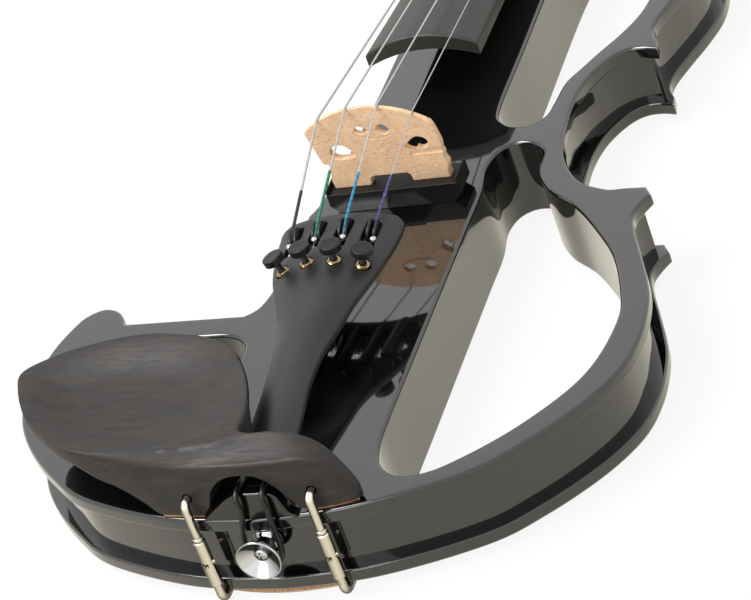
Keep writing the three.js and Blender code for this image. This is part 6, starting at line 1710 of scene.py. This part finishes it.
def lever_part(seat, shift):
    """A tuner's lever: two curved prongs above the tailpiece, and an arm below with its ears."""
    x = seat.x + shift
    t = TUNER_LEVER_THICKNESS
    y = TUNER_HOOK_Y + TUNER_SLOT_SHIFT_Y
    crest = tailpiece_top(x, y)
    top = crest + TUNER_HOOK_HEIGHT - 0.6
    arm = seat.z - TAILPIECE_WALL - TUNER_ARM_DEPTH
    throat = seat.z - TAILPIECE_WALL - 1
    base = [
        (TUNER_SCREW_Y - t, arm), (TUNER_SCREW_Y + t, arm), (y + t / 2, arm + t), (y + t, throat),
        (y - t, throat), (y - t, arm + 2 * t), (TUNER_SCREW_Y - t, arm + t),
    ]
    prong = spline([
        (y + t, throat - 0.6), (y + t + 0.5, crest), (y + t * 0.9, top - 0.8), (y + t * 0.3, top),
        (y - t, top - 0.7), (y - 2.2 * t, crest + 0.3), (y - 2.4 * t, throat + 0.4),
        (y - t, throat - 0.6),
    ], 4, closed=True)
    half, gap = TUNER_LEVER_HALF_WIDTH, TUNER_FORK_GAP / 2
    parts = [
        slab([line], x + low, x + high, rounding, facing_side, steps=2)
        for line, low, high, rounding in (
            (dense(base, 2), -half, half, 0.25), (thinned(prong, 0.4), -half, -gap, 0.22),
            (thinned(prong, 0.4), gap, half, 0.22),
        )
    ]
    pivot = crest - TAILPIECE_WALL - TUNER_EAR_RADIUS - FIT_GAP * 3
    ear, r = TUNER_EAR_HALF_LENGTH, TUNER_EAR_RADIUS
    ears = [(0, 0), (r - 0.2, 0), (r, 0.2), (r, 2 * ear - 0.2), (r - 0.2, 2 * ear), (0, 2 * ear)]
    return joined(*parts, turned(ears, (x - ear, y, pivot), (1, 0, 0), 20))


def head_part(seat, facets):
    """A tuner's faceted head, slightly hollow on top."""
    grip, facet = [], 2 * math.pi / facets
    for i in range(facets * 3):
        angle = facet * (i / 3)
        reach = TUNER_KNOB_RADIUS * math.cos(facet / 2) / math.cos(angle % facet - facet / 2)
        grip.append((seat.x + reach * math.cos(angle), seat.y + reach * math.sin(angle)))
    low = seat.z + TUNER_KNOB_HEIGHT
    high = low + TUNER_KNOB_THICKNESS

    def top(x, y):
        far = (Vector((x, y)) - seat.xy).length
        return high - TUNER_DISH_DEPTH * ease(1 - far / TUNER_DISH_RADIUS)

    return slab([grip], low, top, 0.32, steps=3, spacing=0.7)


def threaded(low, high):
    """Profile of a tuner's screw with its thread."""
    r, turns = TUNER_SCREW_RADIUS, TUNER_THREAD_TURNS
    profile = [(0, low), (r - 0.2, low)]
    profile += [(r - TUNER_THREAD_DEPTH * (i % 2), mix(low + 0.3, high - 0.8, i / (turns * 2 - 1)))
                for i in range(turns * 2)]
    return profile + [(r, high - 0.6), (r, high), (0, high)]


class VIOLIN_OT_tuners(bpy.types.Operator):
    """Build the four fine tuners: bushes, screws, gripped heads and string levers"""

    bl_idname = "violin.tuners"
    bl_label = "Fine tuners"

    def execute(self, context):
        facets = context.scene.violin_sizes.tuner_facets
        r, hole, up = TUNER_BUSH_RADIUS, TUNER_BUSH_BORE, (0, 0, 1)
        bush = [(hole, -2.4), (r, -2.4), (r, 0), (r - 0.35, 0.2), (r - 0.45, 0.5),
                (r - 0.7, 0.65), (hole + 0.1, 0.65), (hole, 0.5), (hole, -2.4)]
        arm_top = -TAILPIECE_WALL - TUNER_ARM_DEPTH + TUNER_LEVER_THICKNESS
        screw = threaded(arm_top + FIT_GAP * 2, TUNER_KNOB_HEIGHT + 0.2)
        for string in STRINGS:
            seat, tilt = tuner_of(string)
            for name, part, look, body, slot, node, even in (
                ("brass_bush", turned(bush, seat, up, 32), "turned_brass", "body", "brass",
                 "tuner_bush", False),
                ("string_lever", lever_part(seat, string["shift"]), "black_oxide_steel",
                 "tuner_lever_", "black_metal", "tuner_lever", False),
                ("tuner_thread", turned(screw, seat, up, 20), "black_oxide_steel",
                 "tuner_screw_", "black_metal", "tuner_screw", False),
                ("tuner_head", head_part(seat, facets), "black_oxide_steel", "tuner_screw_",
                 "black_metal", "tuner_knob", True),
            ):
                end = string["name"]
                crafted(f"{name}_{end}", fanned(part, seat, tilt), look,
                        body + end if body.endswith("_") else body, slot, f"{node}_{end}",
                        even=even)
        return {"FINISHED"}


# ---- Tail ----


class VIOLIN_OT_tail(bpy.types.Operator):
    """Build the saddle, the tailgut and the chrome end button with its screw"""

    bl_idname = "violin.tail"
    bl_label = "Saddle, gut and button"

    def execute(self, context):
        outline = [(x * SADDLE_HALF_WIDTH, z * SADDLE_HEIGHT) for x, z in SADDLE_SHARES]
        part = slab([thinned(spline(outline, 4), 0.5)], SADDLE_Y, SADDLE_Y + SADDLE_DEPTH, 0.7,
                    facing_tail, steps=3)
        crafted("end_saddle", part, "polished_saddle_black", "body", "board_wood", "saddle",
                even=True)

        r = GUT_RADIUS
        over = SADDLE_HEIGHT + r + FIT_GAP
        front = min(SADDLE_Y, 0) - r - FIT_GAP
        half, bow, start = GUT_HALF_SPACING, GUT_LOOP, TAILPIECE_START_Y
        back = SADDLE_Y + SADDLE_DEPTH

        def strand(side):
            x = GUT_X + side * half
            return [
                (side * half, start + 5, GUT_Z), (side * half, start - 1.9, GUT_Z),
                (x, back + r, over - r / 3), (x, SADDLE_Y + SADDLE_DEPTH / 2, over + r / 4),
                (x, front - r / 2, over - r), (x, front - r / 3, SADDLE_HEIGHT / 2),
                (GUT_X / 2 + side * (half + bow) / 2, front - r / 3, -r * 2),
                (side * bow, GUT_LOOP_Y, BUTTON_Z + 2.05),
                (side * bow * 0.86, GUT_LOOP_Y, BUTTON_Z - bow * 0.55),
                (side * bow * 0.45, GUT_LOOP_Y, BUTTON_Z - bow),
            ]

        low = (0, GUT_LOOP_Y, BUTTON_Z - bow * 1.12)
        wire("braided_tailgut", spline([*strand(1), low, *strand(-1)[::-1]], 6), r,
             "braided_nylon", 16, "body", "matte_black", "tailgut")

        n, r = BUTTON_NECK_RADIUS, BUTTON_RADIUS
        profile = [
            (1.6, 0), (4.7, 0), (4.7, 1), (4.5, 1.4), (n + 0.3, 2.2), (n, 2.6), (n, 5.6),
            (n + 0.5, 5.8), (4.1, 6.2), (4.1, 6.5), (n + 0.4, 6.9), (n, 7.1), (n + 0.4, 7.5),
            (4.4, 8.2), (5.9, 9), (r - 0.3, 9.6), (r, 9.9), (r, 10.25), (r - 0.15, 10.5),
            (r - 0.5, 10.5), (6.5, 10.15), (5, 9.1), (3.6, 8.1), (2.4, 7.5), (2.3, 7.3),
            (1.6, 7), (1.6, 0),
        ]
        seat, out = (0, BUTTON_SEAT_Y, BUTTON_Z), (0, -1, 0)
        crafted("chrome_button", turned(profile, seat, out, 64), "chrome_plate", "body", "chromed",
                "end_button")
        face, (long, narrow) = BUTTON_SEAT_Y - BUTTON_SCREW_HEIGHT, BUTTON_CROSS
        crafted("button_screw", turned(BUTTON_SCREW, seat, out, 40), "chrome_plate", "body",
                "chromed", "end_button_screw", cut=[
                    box((-x, face - 3, BUTTON_Z - z), (x, face, BUTTON_Z + z))
                    for x, z in ((long, narrow), (narrow, long))
                ])
        return {"FINISHED"}


# ---- Chinrest ----


CHINREST_OUTLINE = thinned(spline(CHINREST_PLAN, 6, closed=True), 1.2)
DISH_EDGE = np.array([tuple(p) for p in dense(CHINREST_OUTLINE, 1)])


def chinrest_top(x, y):
    """Height of the chinrest: a dish to the bass side, and the arm that slopes to the front."""
    ridge_y, ridge_z = (smooth_table(CHINREST_RIDGE, x, column) for column in (1, 2))
    if y < ridge_y:
        share = (y - CHINREST_FRONT_Y) / max(ridge_y - CHINREST_FRONT_Y, 0.5)
        return mix(smooth_table(CHINREST_FRONT, x), ridge_z, min(max(share, 0), 1))
    reach = sum(((value - middle) / far) ** 2
                for value, middle, far in zip((x, y), DISH_CENTRE, DISH_REACH))
    inward = np.min(np.hypot(DISH_EDGE[:, 0] - x, DISH_EDGE[:, 1] - y)) / CHINREST_LIP
    lip = math.sin(min(inward, 1) * math.pi / 2)
    return ridge_z - CHINREST_DISH_DEPTH * lip * max(1 - reach, 0) ** DISH_FULLNESS


def chinrest_under(x, y):
    """Height of the chinrest's underside: the plate's base, the arm's feet and the arch."""
    plate = CHINREST_BASE_Z + PLATE_RISE * fade(x, -17, 3) * fade(y, 14, 2)
    feet = table(ARM_UNDERSIDE, x)
    return mix(feet, plate, fade(y, 13.2, 2.6))


def chinrest_edge(x, y):
    """Rounding of the upper rim, sharper at the plate's far side."""
    return mix(*RIM_EDGES, fade(x, -55, 30))


def chinrest_bevel(x, y):
    """Rounding under the plate's rim: deep where the plate thins to its edge, none at the feet."""
    return mix(LOW_RIM_EDGE, CHINREST_BEVEL, max(fade(-x, 47, 14), fade(y, 20, 10)))


class VIOLIN_OT_chinrest(bpy.types.Operator):
    """Build the chinrest with its dished plate, its arm and the cork under its feet"""

    bl_idname = "violin.chinrest"
    bl_label = "Chinrest"

    def execute(self, context):
        first, last = RIDGE_ENDS
        ridge = [row[:2] for row in CHINREST_RIDGE if first < row[0] < last]
        part = slab([CHINREST_OUTLINE], chinrest_under, chinrest_top,
                    chinrest_edge, spacing=1.1, steps=6,
                    low_rounding=chinrest_bevel, creases=[dense(spline(ridge, 4), 1.5, False)])
        bores = [bore((side * CLAMP_X, CLAMP_Y, CLAMP_HOOK_Z), (0, 1, 0),
                      CLAMP_ROD_RADIUS + FIT_GAP, 0, CLAMP_HOOK_BORE_DEPTH, 24)
                 for side in (1, -1)]
        crafted("chinrest_plate", part, "stained_rosewood", "body", "chinrest_wood", "chinrest",
                cut=[joined(*bores)], smooth=38)
        for name, corners in CORK_PLANS.items():
            pad = slab([dense(corners, 3)], 0, CORK_THICKNESS, 0.15, steps=2)
            crafted(f"cork_pad_{name}", pad, "sheet_cork", "body", "cork", f"chinrest_cork_{name}")
        return {"FINISHED"}


def foot_plan(margin):
    """The clamp's foot from above: a bowed tongue between the rods and a wider strip behind."""
    half = CLAMP_FOOT_HALF_LENGTH - margin
    tongue = CLAMP_X - CLAMP_ROD_RADIUS - FIT_GAP - margin
    shoulder, front, back = (edge + way * margin
                             for edge, way in zip(CLAMP_FOOT_EDGES, (1, 1, -1)))
    bow = [(-tongue * a, front + (shoulder - front) * CLAMP_FOOT_BOW_SHARE * a * a)
           for a in np.linspace(1, -1, 25)]
    right = [(tongue, shoulder), (half - shoulder / 2, shoulder), (half, shoulder * 1.5),
             (half, back)]
    return dense(bow + right + [(-x, y) for x, y in right[::-1]], 3)


class VIOLIN_OT_clamp(bpy.types.Operator):
    """Build the chinrest clamp: hooked rods, collars, threaded barrels and the padded foot"""

    bl_idname = "violin.clamp"
    bl_label = "Chinrest clamp"

    def execute(self, context):
        up, y, r, deep = (0, 0, 1), CLAMP_Y, CLAMP_ROD_RADIUS, CLAMP_BORE_DEPTH
        top, base = CLAMP_BARREL_TOP_Z, CLAMP_BARREL_BASE_Z
        length, middle, wide, hole = top - base, (top + base) / 2, CLAMP_BARREL_RADIUS, r + 0.1
        hook, elbow, low = CLAMP_HOOK_BEND, CLAMP_FOOT_BEND, REST_Z + r
        bend = arc((y + hook, CLAMP_HOOK_Z - hook), hook, 180, 90, 10)
        turn = arc((y + elbow, low + elbow), elbow, 180, 270, 12)
        barrel = [
            (0, deep), (hole, deep), (hole, 0), (wide - 0.35, 0), (wide, 0.35),
            (wide, length - 0.35), (wide - 0.35, length), (hole, length), (hole, length - deep),
            (0, length - deep),
        ]
        posts = []
        for x, name in ((-CLAMP_X, "bass"), (CLAMP_X, "treble")):
            wire(f"clamp_rod_{name}", [
                (x, y, top - deep + FIT_GAP), (x, y, -5.4), *((x, *p) for p in bend),
                (x, CLAMP_HOOK_END_Y, CLAMP_HOOK_Z),
            ], r, "nickel_plate", 24, "body", "nickel", f"clamp_hook_{name}")
            crafted(f"clamp_ring_{name}", turned(CLAMP_COLLAR, (x, y, top + FIT_GAP), up, 32),
                    "nickel_plate", "body", "nickel", f"clamp_collar_{name}")
            crafted(f"clamp_screw_{name}", turned(barrel, (x, y, base), up, 32), "nickel_plate",
                    f"clamp_barrel_{name}", "nickel", f"clamp_barrel_{name}",
                    cut=[bore((x, y, middle), way, CLAMP_HOLE_RADIUS, -3, 3, 16)
                         for way in ((1, 0, 0), (0, 1, 0))])
            posts.append(tube([(x, y, base + deep - FIT_GAP), *((x, *p) for p in turn),
                               (x, CLAMP_POST_END_Y, low)], r, 24))
        crafted("clamp_foot_plate",
                slab([foot_plan(CLAMP_PLATE_MARGIN)], REST_Z, FOOT_TOP_Z, 0.35, steps=3),
                "nickel_plate", "clamp_foot", "nickel", "clamp_foot", add=posts, even=True)
        crafted("clamp_foot_pad", slab([foot_plan(0)], FOOT_TOP_Z, BACK_Z, 0.2, steps=2),
                "sheet_cork", "clamp_foot", "cork", "clamp_foot_cork")
        return {"FINISHED"}


# ---- Pegs and strings ----


def peg_head(side, y, z, start):
    """A peg's oval head, hollowed on its two broad faces."""
    rows, ring, reach = 28, 32, PEG_HEAD_LENGTH / 2
    centre = start + reach
    across, along = PEG_HOLLOW_FALL
    points = []
    for i in range(1, rows):
        a = math.pi * i / rows
        for k in range(ring):
            b = 2 * math.pi * k / ring
            wide, thick = math.sin(a) * math.cos(b), math.sin(a) * math.sin(b)
            deep = max(1 - wide * wide * across - math.cos(a) ** 2 * along, 0)
            hollow = 1 - PEG_HOLLOW_SHARE * deep
            points.append((side * (centre - reach * math.cos(a)), y + PEG_HEAD_HALF_WIDTH * wide,
                           z + PEG_HEAD_HALF_THICKNESS * thick * hollow))
    faces = stack((ring, rows - 1))
    for x, row in ((centre - reach, 0), (centre + reach, rows - 2)):
        tip, first = len(points), row * ring
        points.append((side * x, y, z))
        faces += [(tip, first + k, first + (k + 1) % ring) for k in range(ring)]
    return points, faces


class VIOLIN_OT_pegs(bpy.types.Operator):
    """Build the four tuning pegs with their turned collars and hollowed heads"""

    bl_idname = "violin.pegs"
    bl_label = "Pegs"

    def execute(self, context):
        for string in STRINGS:
            name, side = string["name"], string["side"]
            y, z = peg_place(string["peg"])
            wall = mix(PEGBOX_START_HALF_WIDTH, PEGBOX_END_HALF_WIDTH,
                       (y - PEGBOX_Y) / (SCROLL_Y - PEGBOX_Y))
            collar = wall + PEG_SHANK_LENGTH
            head = collar + PEG_COLLAR_LENGTH
            r, c, n = PEG_RADIUS, PEG_COLLAR_RADIUS, PEG_RADIUS * PEG_TAPER_SHARE
            profile = [
                (0, -wall - 1.2), (n - 0.4, -wall - 1.2), (n, -wall - 0.9), (r, -wall),
                (r, collar - 0.4), (r + 0.4, collar), (c - 0.5, collar + 0.3), (c, collar + 1),
                (c - 0.2, collar + 1.8), (c - 1, collar + 2.4), (n + 0.3, head - 0.6), (n, head),
                (n, head + PEG_COLLAR_LENGTH), (0, head + PEG_COLLAR_LENGTH),
            ]
            crafted(f"tuning_peg_{name}", turned(profile, (0, y, z), (side, 0, 0), 40),
                    "ebonised_hardwood", f"peg_{name}", "board_wood", f"peg_{name}",
                    add=[peg_head(side, y, z, head)], smooth=50)
        return {"FINISHED"}


def winding_route(string, radius):
    """The turns of a string round its peg."""
    reach = PEG_RADIUS + WINDING_CLEARANCE + radius
    y, z = peg_place(string["peg"])
    side = string["side"]
    start = side * (WINDING_PITCH / 2 if abs(string["place"]) > 1 else -WINDING_PITCH)
    route = [(start, y - WINDING_TAIL * share, z + reach) for share in (1, 0.5)]
    per_turn = 28
    for i in range(WINDING_LOOPS * per_turn + 1):
        angle = 2 * math.pi * i / per_turn
        route.append((start + side * WINDING_PITCH * i / per_turn, y + reach * math.sin(angle),
                      z + reach * math.cos(angle)))
    return route


def string_route(string, radius, tail):
    """Places along a string: its ball end, hook, bridge, nut and the start of its winding."""
    seat, tilt = tuner_of(string)
    crest = tailpiece_top(seat.x, TUNER_HOOK_Y) + TUNER_HOOK_HEIGHT
    hook_x = seat.x + math.sin(tilt) * (crest - seat.z) + string["shift"]
    bridge_x = STRING_CENTRE_X + string["place"] * STRING_SPACING_BRIDGE
    nut_x = string["place"] * STRING_SPACING_NUT
    lift = radius + STRING_LIFT
    bridge_z = bridge_top(bridge_x) + lift
    nut_z = board_base(NUT_Y) + BOARD_EDGE_HEIGHT + NUT_STEP_HEIGHT + lift
    nut_z += rise(nut_x, BOARD_NUT_HALF_WIDTH, BOARD_RADIUS)
    return [
        *((hook_x, TUNER_HOOK_Y + along, crest + up) for along, up in (BALL_PLACE, HOOK_PLACE)),
        (bridge_x, BRIDGE_Y - BRIDGE_NOTCH_HALF_LENGTH, bridge_z),
        (bridge_x, BRIDGE_Y + BRIDGE_NOTCH_HALF_LENGTH, bridge_z),
        (nut_x, NUT_Y, nut_z), (nut_x, PEGBOX_Y, nut_z), (tail[0], tail[1] - 1, tail[2] + 0.5),
    ]


def frayed_knot(place, way):
    """The knot of a silk's end with three loose threads."""
    strands = [
        tube(spline([place - way * 0.9, place + Vector((s, -0.5, 0.5)) * 0.7,
                     place + way * t + Vector((s * 1.3, 0, 0.5)) * 0.7], 4), 0.13, 6)
        for s, t in ((0.5, 1.1), (-0.4, 0.8), (0.9, 0.4))
    ]
    knot = turned([(0, -1), (0.42, -0.5), (0.5, 0), (0.42, 0.5), (0, 1)], place, way, 12)
    return joined(knot, *strands)


class VIOLIN_OT_strings(bpy.types.Operator):
    """Build the four strings with their silks and the turns round the pegs"""

    bl_idname = "violin.strings"
    bl_label = "Strings"

    def execute(self, context):
        sizes = context.scene.violin_sizes
        r = BALL_RADIUS
        circle = [(r * math.sin(a), -r * math.cos(a)) for a in np.linspace(0, math.pi, 13)]
        circle[0], circle[-1] = (0, -r), (0, r)
        for string in STRINGS:
            name = string["name"]
            radius = getattr(sizes, f"string_{name}") / MM / 2
            metal = "drawn_string_steel" if name == "e" else "wound_string"
            winding = winding_route(string, radius)
            route = string_route(string, radius, winding[0])
            wire(f"wire_{name}", dense(route, 12, closed=False), radius, metal, 12, "body",
                 "string_steel", f"string_{name}")
            wire(f"peg_turns_{name}", winding, radius, metal, 10, f"peg_{name}", "string_steel",
                 f"winding_{name}")
            ball, start, end = (Vector(place) for place in route[:3])
            way = (end - start).normalized()
            thread = [start + way * along for along in np.linspace(0, string["silk"], 24)]
            wire(f"silk_{name}", [ball, *thread], radius + sizes.silk / MM, f"{name}_silk", 12,
                 "body", "string_steel")
            crafted(f"ball_end_{name}", turned(circle, ball, (1, 0, 0), 20), "drawn_string_steel",
                    "body", "string_steel")
            if name == "e":
                crafted("silk_knot_e", frayed_knot(start + way * FRAY_DISTANCE, way), "e_silk",
                        "body", "string_steel")
        return {"FINISHED"}


# ---- Electronics ----


def cross_slot(x, y, z):
    """A cross for a screwdriver, cut upwards into a head in the back."""
    return [box((x - a, y - b, z - 1), (x + a, y + b, z + 0.8)) for a, b in ((1, 0.2), (0.2, 1))]


class VIOLIN_OT_electronics(bpy.types.Operator):
    """Build the covers in the back, the control knobs, the power switch and the output socket"""

    bl_idname = "violin.electronics"
    bl_label = "Electronics"

    def execute(self, context):
        up, out, face = (0, 0, 1), (-1, 0, 0), -PLANK_HALF_WIDTH
        margin = COVER_MARGIN - FIT_GAP
        for name, body, (half, start, end) in (
            ("back_cover", "body", BAY), ("battery_door", "battery_door", BATTERY_BAY),
        ):
            x, low, high = half + margin, start - margin, end + margin
            m = COVER_SCREW_MARGIN
            places = [(side * (x - m), y, BACK_Z) for side in (1, -1)
                      for y in (low + m, (low + high) / 2, high - m) if body == "body"]
            # The door has four grooves for the thumb instead, each shorter than the one before
            cuts = [turned(COVER_SINK, place, up, 24) for place in places] or [
                box((-6 + i * 0.8, high - 9 + 1.6 * i, BACK_Z - 1),
                    (6 - i * 0.8, high - 8.2 + 1.6 * i, BACK_Z + 0.6)) for i in range(4)
            ]
            plate = slab([dense(oblong(-x, low, x, high), 6)], BACK_Z, BACK_Z + COVER_THICKNESS,
                         0.3, steps=3)
            crafted(f"{name}_plate", plate, "matte_moulded_plastic", body, "matte_black", name,
                    cut=[joined(*cuts)], even=True)
            for number, place in enumerate(places):
                crafted(f"cover_screw_{number + 1}", turned(COVER_SCREW, place, up, 24),
                        "black_oxide_steel", "body", "black_metal", cut=cross_slot(*place))
        # Shaft, skirt and slightly hollow face of a knob
        a = KNOB_SHAFT_LENGTH
        knob = [(0, 0), (2.6, 0), (2.6, a), (4.6, a), (4.75, a + 0.2), (4.75, a + 5),
                (4.4, a + 5.7), (3.9, a + 6), (1, a + 5.8), (0, a + 5.8)]
        for name, y in (("volume_knob", VOLUME_Y), ("tone_knob", TONE_Y)):
            crafted(f"{name}_cap", turned(knob, (CONTROL_SEAT_X, y, CONTROL_Z), out, 48),
                    "satin_moulded_plastic", name, "satin_black", name)
            belongs(grown(f"{name}_grip", rib_tree(), {
                "Count": context.scene.violin_sizes.knob_ribs, "Radius": KNOB_RIB_RADIUS * MM,
                "Rib": tuple(size * MM for size in KNOB_RIB), "Turn": (0, math.pi / 2, 0),
                "Seat": at(face - KNOB_RIB_DISTANCE, y, CONTROL_Z),
                "Material": finishes()["satin_moulded_plastic"],
            }), name, "satin_black")
        half_y, half_z = SWITCH_HALF
        switch = box((face - SWITCH_REACH, SWITCH_Y - half_y, CONTROL_Z - half_z),
                     (CONTROL_SEAT_X, SWITCH_Y + half_y, CONTROL_Z + half_z), 0.3)
        crafted("slide_switch", switch, "satin_moulded_plastic", "power_switch", "satin_black",
                "power_switch", even=True)
        seat = (face + SOCKET_DEPTH, JACK_Y, CONTROL_Z)
        crafted("socket_flange", turned(SOCKET_PROFILE, seat, out, 48), "matte_moulded_plastic",
                "body", "matte_black", "output_jack")
        for name, look in (("battery", "jacketed_cell"), ("circuit_board", "solder_mask_green")):
            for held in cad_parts[name].material_slots:
                held.material = finishes()[look]
        return {"FINISHED"}


# ---- Stage ----

CAMERA_PLACE = (447.88, -1041.06, 642.07)
CAMERA_TURN = (55.7944, 17.2629, 15.8174)
# How much of the floor that is seen shines by itself, so that the rest keeps the shadow
FLOOR_GLOW_SHARE = 0.9
# Place, aim, width in metres and share of the key lamp's power
LAMPS = {
    "overhead_lamp": ((-0.7, -0.4, 1.6), (0, 0, 0), 0.8, 1),
    "front_lamp": ((-0.5, -1.6, 1.0), (0, -0.2, 0), 1.3, 0.4),
}


def looked_at(tree):
    """For a light path: 1 where the camera looks straight, and 1 where it also looks by way of a
    mirror image or through clear material."""
    path = add_node(tree, "ShaderNodeLightPath")
    straight = seen = path.outputs["Is Camera Ray"]
    for way in ("Is Glossy Ray", "Is Transmission Ray"):
        seen = add_node(tree, "ShaderNodeMath", {"operation": "MAXIMUM"}, {
            0: seen, 1: path.outputs[way],
        }).outputs[0]
    return straight, seen


class VIOLIN_OT_stage(bpy.types.Operator):
    """Set the camera, the lamps, the pale floor and the white surround"""

    bl_idname = "violin.stage"
    bl_label = "Stage"

    def execute(self, context):
        stage = context.scene.violin_stage
        scene = context.scene
        camera = bpy.data.cameras.new("camera")
        camera.lens, camera.sensor_width, camera.clip_end = stage.lens, 36, 50
        scene.camera = stand("camera", camera, Vector(CAMERA_PLACE) * MM,
                             [math.radians(a) for a in CAMERA_TURN])
        scene.view_settings.view_transform = "Standard"

        half = stage.floor / 2
        mesh = bpy.data.meshes.new("pale_floor")
        mesh.from_pydata([(-half, -half, 0), (half, -half, 0), (half, half, 0), (-half, half, 0)],
                         [], [(0, 1, 2, 3)])
        floor = stand("pale_floor", mesh)
        paper = bpy.data.materials.new("white_paper_sweep")
        tree = empty_tree(paper)
        straight, seen = looked_at(tree)
        lit = add_node(tree, "ShaderNodeBsdfDiffuse", {"Color": linear("#f4f4f2")})
        # Pure white to the camera, and the paper's own warm white in mirror images
        tone = add_node(tree, "ShaderNodeMix", {
            "data_type": "RGBA", 6: linear("#e9e4d3"), 7: (1, 1, 1, 1),
        }, {0: straight})
        glow = add_node(tree, "ShaderNodeEmission", {"Strength": 1.0}, {"Color": tone.outputs[2]})
        share = add_node(tree, "ShaderNodeMath", {
            "operation": "MULTIPLY", 1: FLOOR_GLOW_SHARE,
        }, {0: seen})
        both = add_node(tree, "ShaderNodeMixShader", links={
            0: share.outputs[0], 1: lit.outputs[0], 2: glow.outputs[0],
        })
        # From below the sweep is clear, so that the violin's back can be looked at
        back = add_node(tree, "ShaderNodeNewGeometry").outputs["Backfacing"]
        clear = add_node(tree, "ShaderNodeBsdfTransparent")
        sweep = add_node(tree, "ShaderNodeMixShader", links={
            0: back, 1: both.outputs[0], 2: clear.outputs[0],
        })
        add_node(tree, "ShaderNodeOutputMaterial", links={"Surface": sweep.outputs[0]})
        mesh.materials.append(paper)

        world = bpy.data.worlds.new("white_surround")
        tree = empty_tree(world)
        level = add_node(tree, "ShaderNodeMapRange", {"To Min": stage.world, "To Max": 1.0},
                         {"Value": looked_at(tree)[1]})
        sky = add_node(tree, "ShaderNodeBackground", {"Color": (1, 1, 1, 1)},
                       {"Strength": level.outputs[0]})
        add_node(tree, "ShaderNodeOutputWorld", links={"Surface": sky.outputs[0]})
        scene.world = world

        for name, (place, aim, width, power) in LAMPS.items():
            lamp = bpy.data.lights.new(name, "AREA")
            lamp.size, lamp.energy = width, stage.key * power
            turn = (Vector(aim) - Vector(place)).to_track_quat("-Z", "Y").to_euler()
            stand(name, lamp, place, turn)
        return {"FINISHED"}


# ---- Add-on ----


class VIOLIN_PT_builder(bpy.types.Panel):
    """Buttons and settings of the violin in the 3D view's sidebar"""

    bl_idname = "VIOLIN_PT_builder"
    bl_label = "Electric Violin"
    bl_space_type = "VIEW_3D"
    bl_region_type = "UI"
    bl_category = "Violin"

    def draw(self, context):
        column = self.layout.column()
        for operator in OPERATORS:
            column.operator(operator.bl_idname)
        for name, group in SETTINGS.items():
            rows = self.layout.box().column()
            for key in group.__annotations__:
                rows.prop(getattr(context.scene, name), key)


OPERATORS = (
    VIOLIN_OT_stage, VIOLIN_OT_body, VIOLIN_OT_neck, VIOLIN_OT_fingerboard, VIOLIN_OT_bridge,
    VIOLIN_OT_tailpiece, VIOLIN_OT_tuners, VIOLIN_OT_tail, VIOLIN_OT_chinrest, VIOLIN_OT_clamp,
    VIOLIN_OT_pegs, VIOLIN_OT_strings, VIOLIN_OT_electronics,
)
SETTINGS = {
    "violin_sizes": ViolinSizes, "violin_colours": ViolinColours, "violin_stage": ViolinStage,
}
CLASSES = (*SETTINGS.values(), *OPERATORS, VIOLIN_PT_builder)


def register():
    """Registers the classes and the scene's settings."""
    for each in CLASSES:
        bpy.utils.register_class(each)
    for name, group in SETTINGS.items():
        setattr(bpy.types.Scene, name, PointerProperty(type=group))


def unregister():
    """Removes the scene's settings and the classes."""
    for name in SETTINGS:
        delattr(bpy.types.Scene, name)
    for each in reversed(CLASSES):
        bpy.utils.unregister_class(each)


def main():
    """Builds the violin piece by piece."""
    register()
    for operator in OPERATORS:
        group, name = operator.bl_idname.split(".")
        getattr(getattr(bpy.ops, group), name)()


if __name__ == "__main__":
    main()
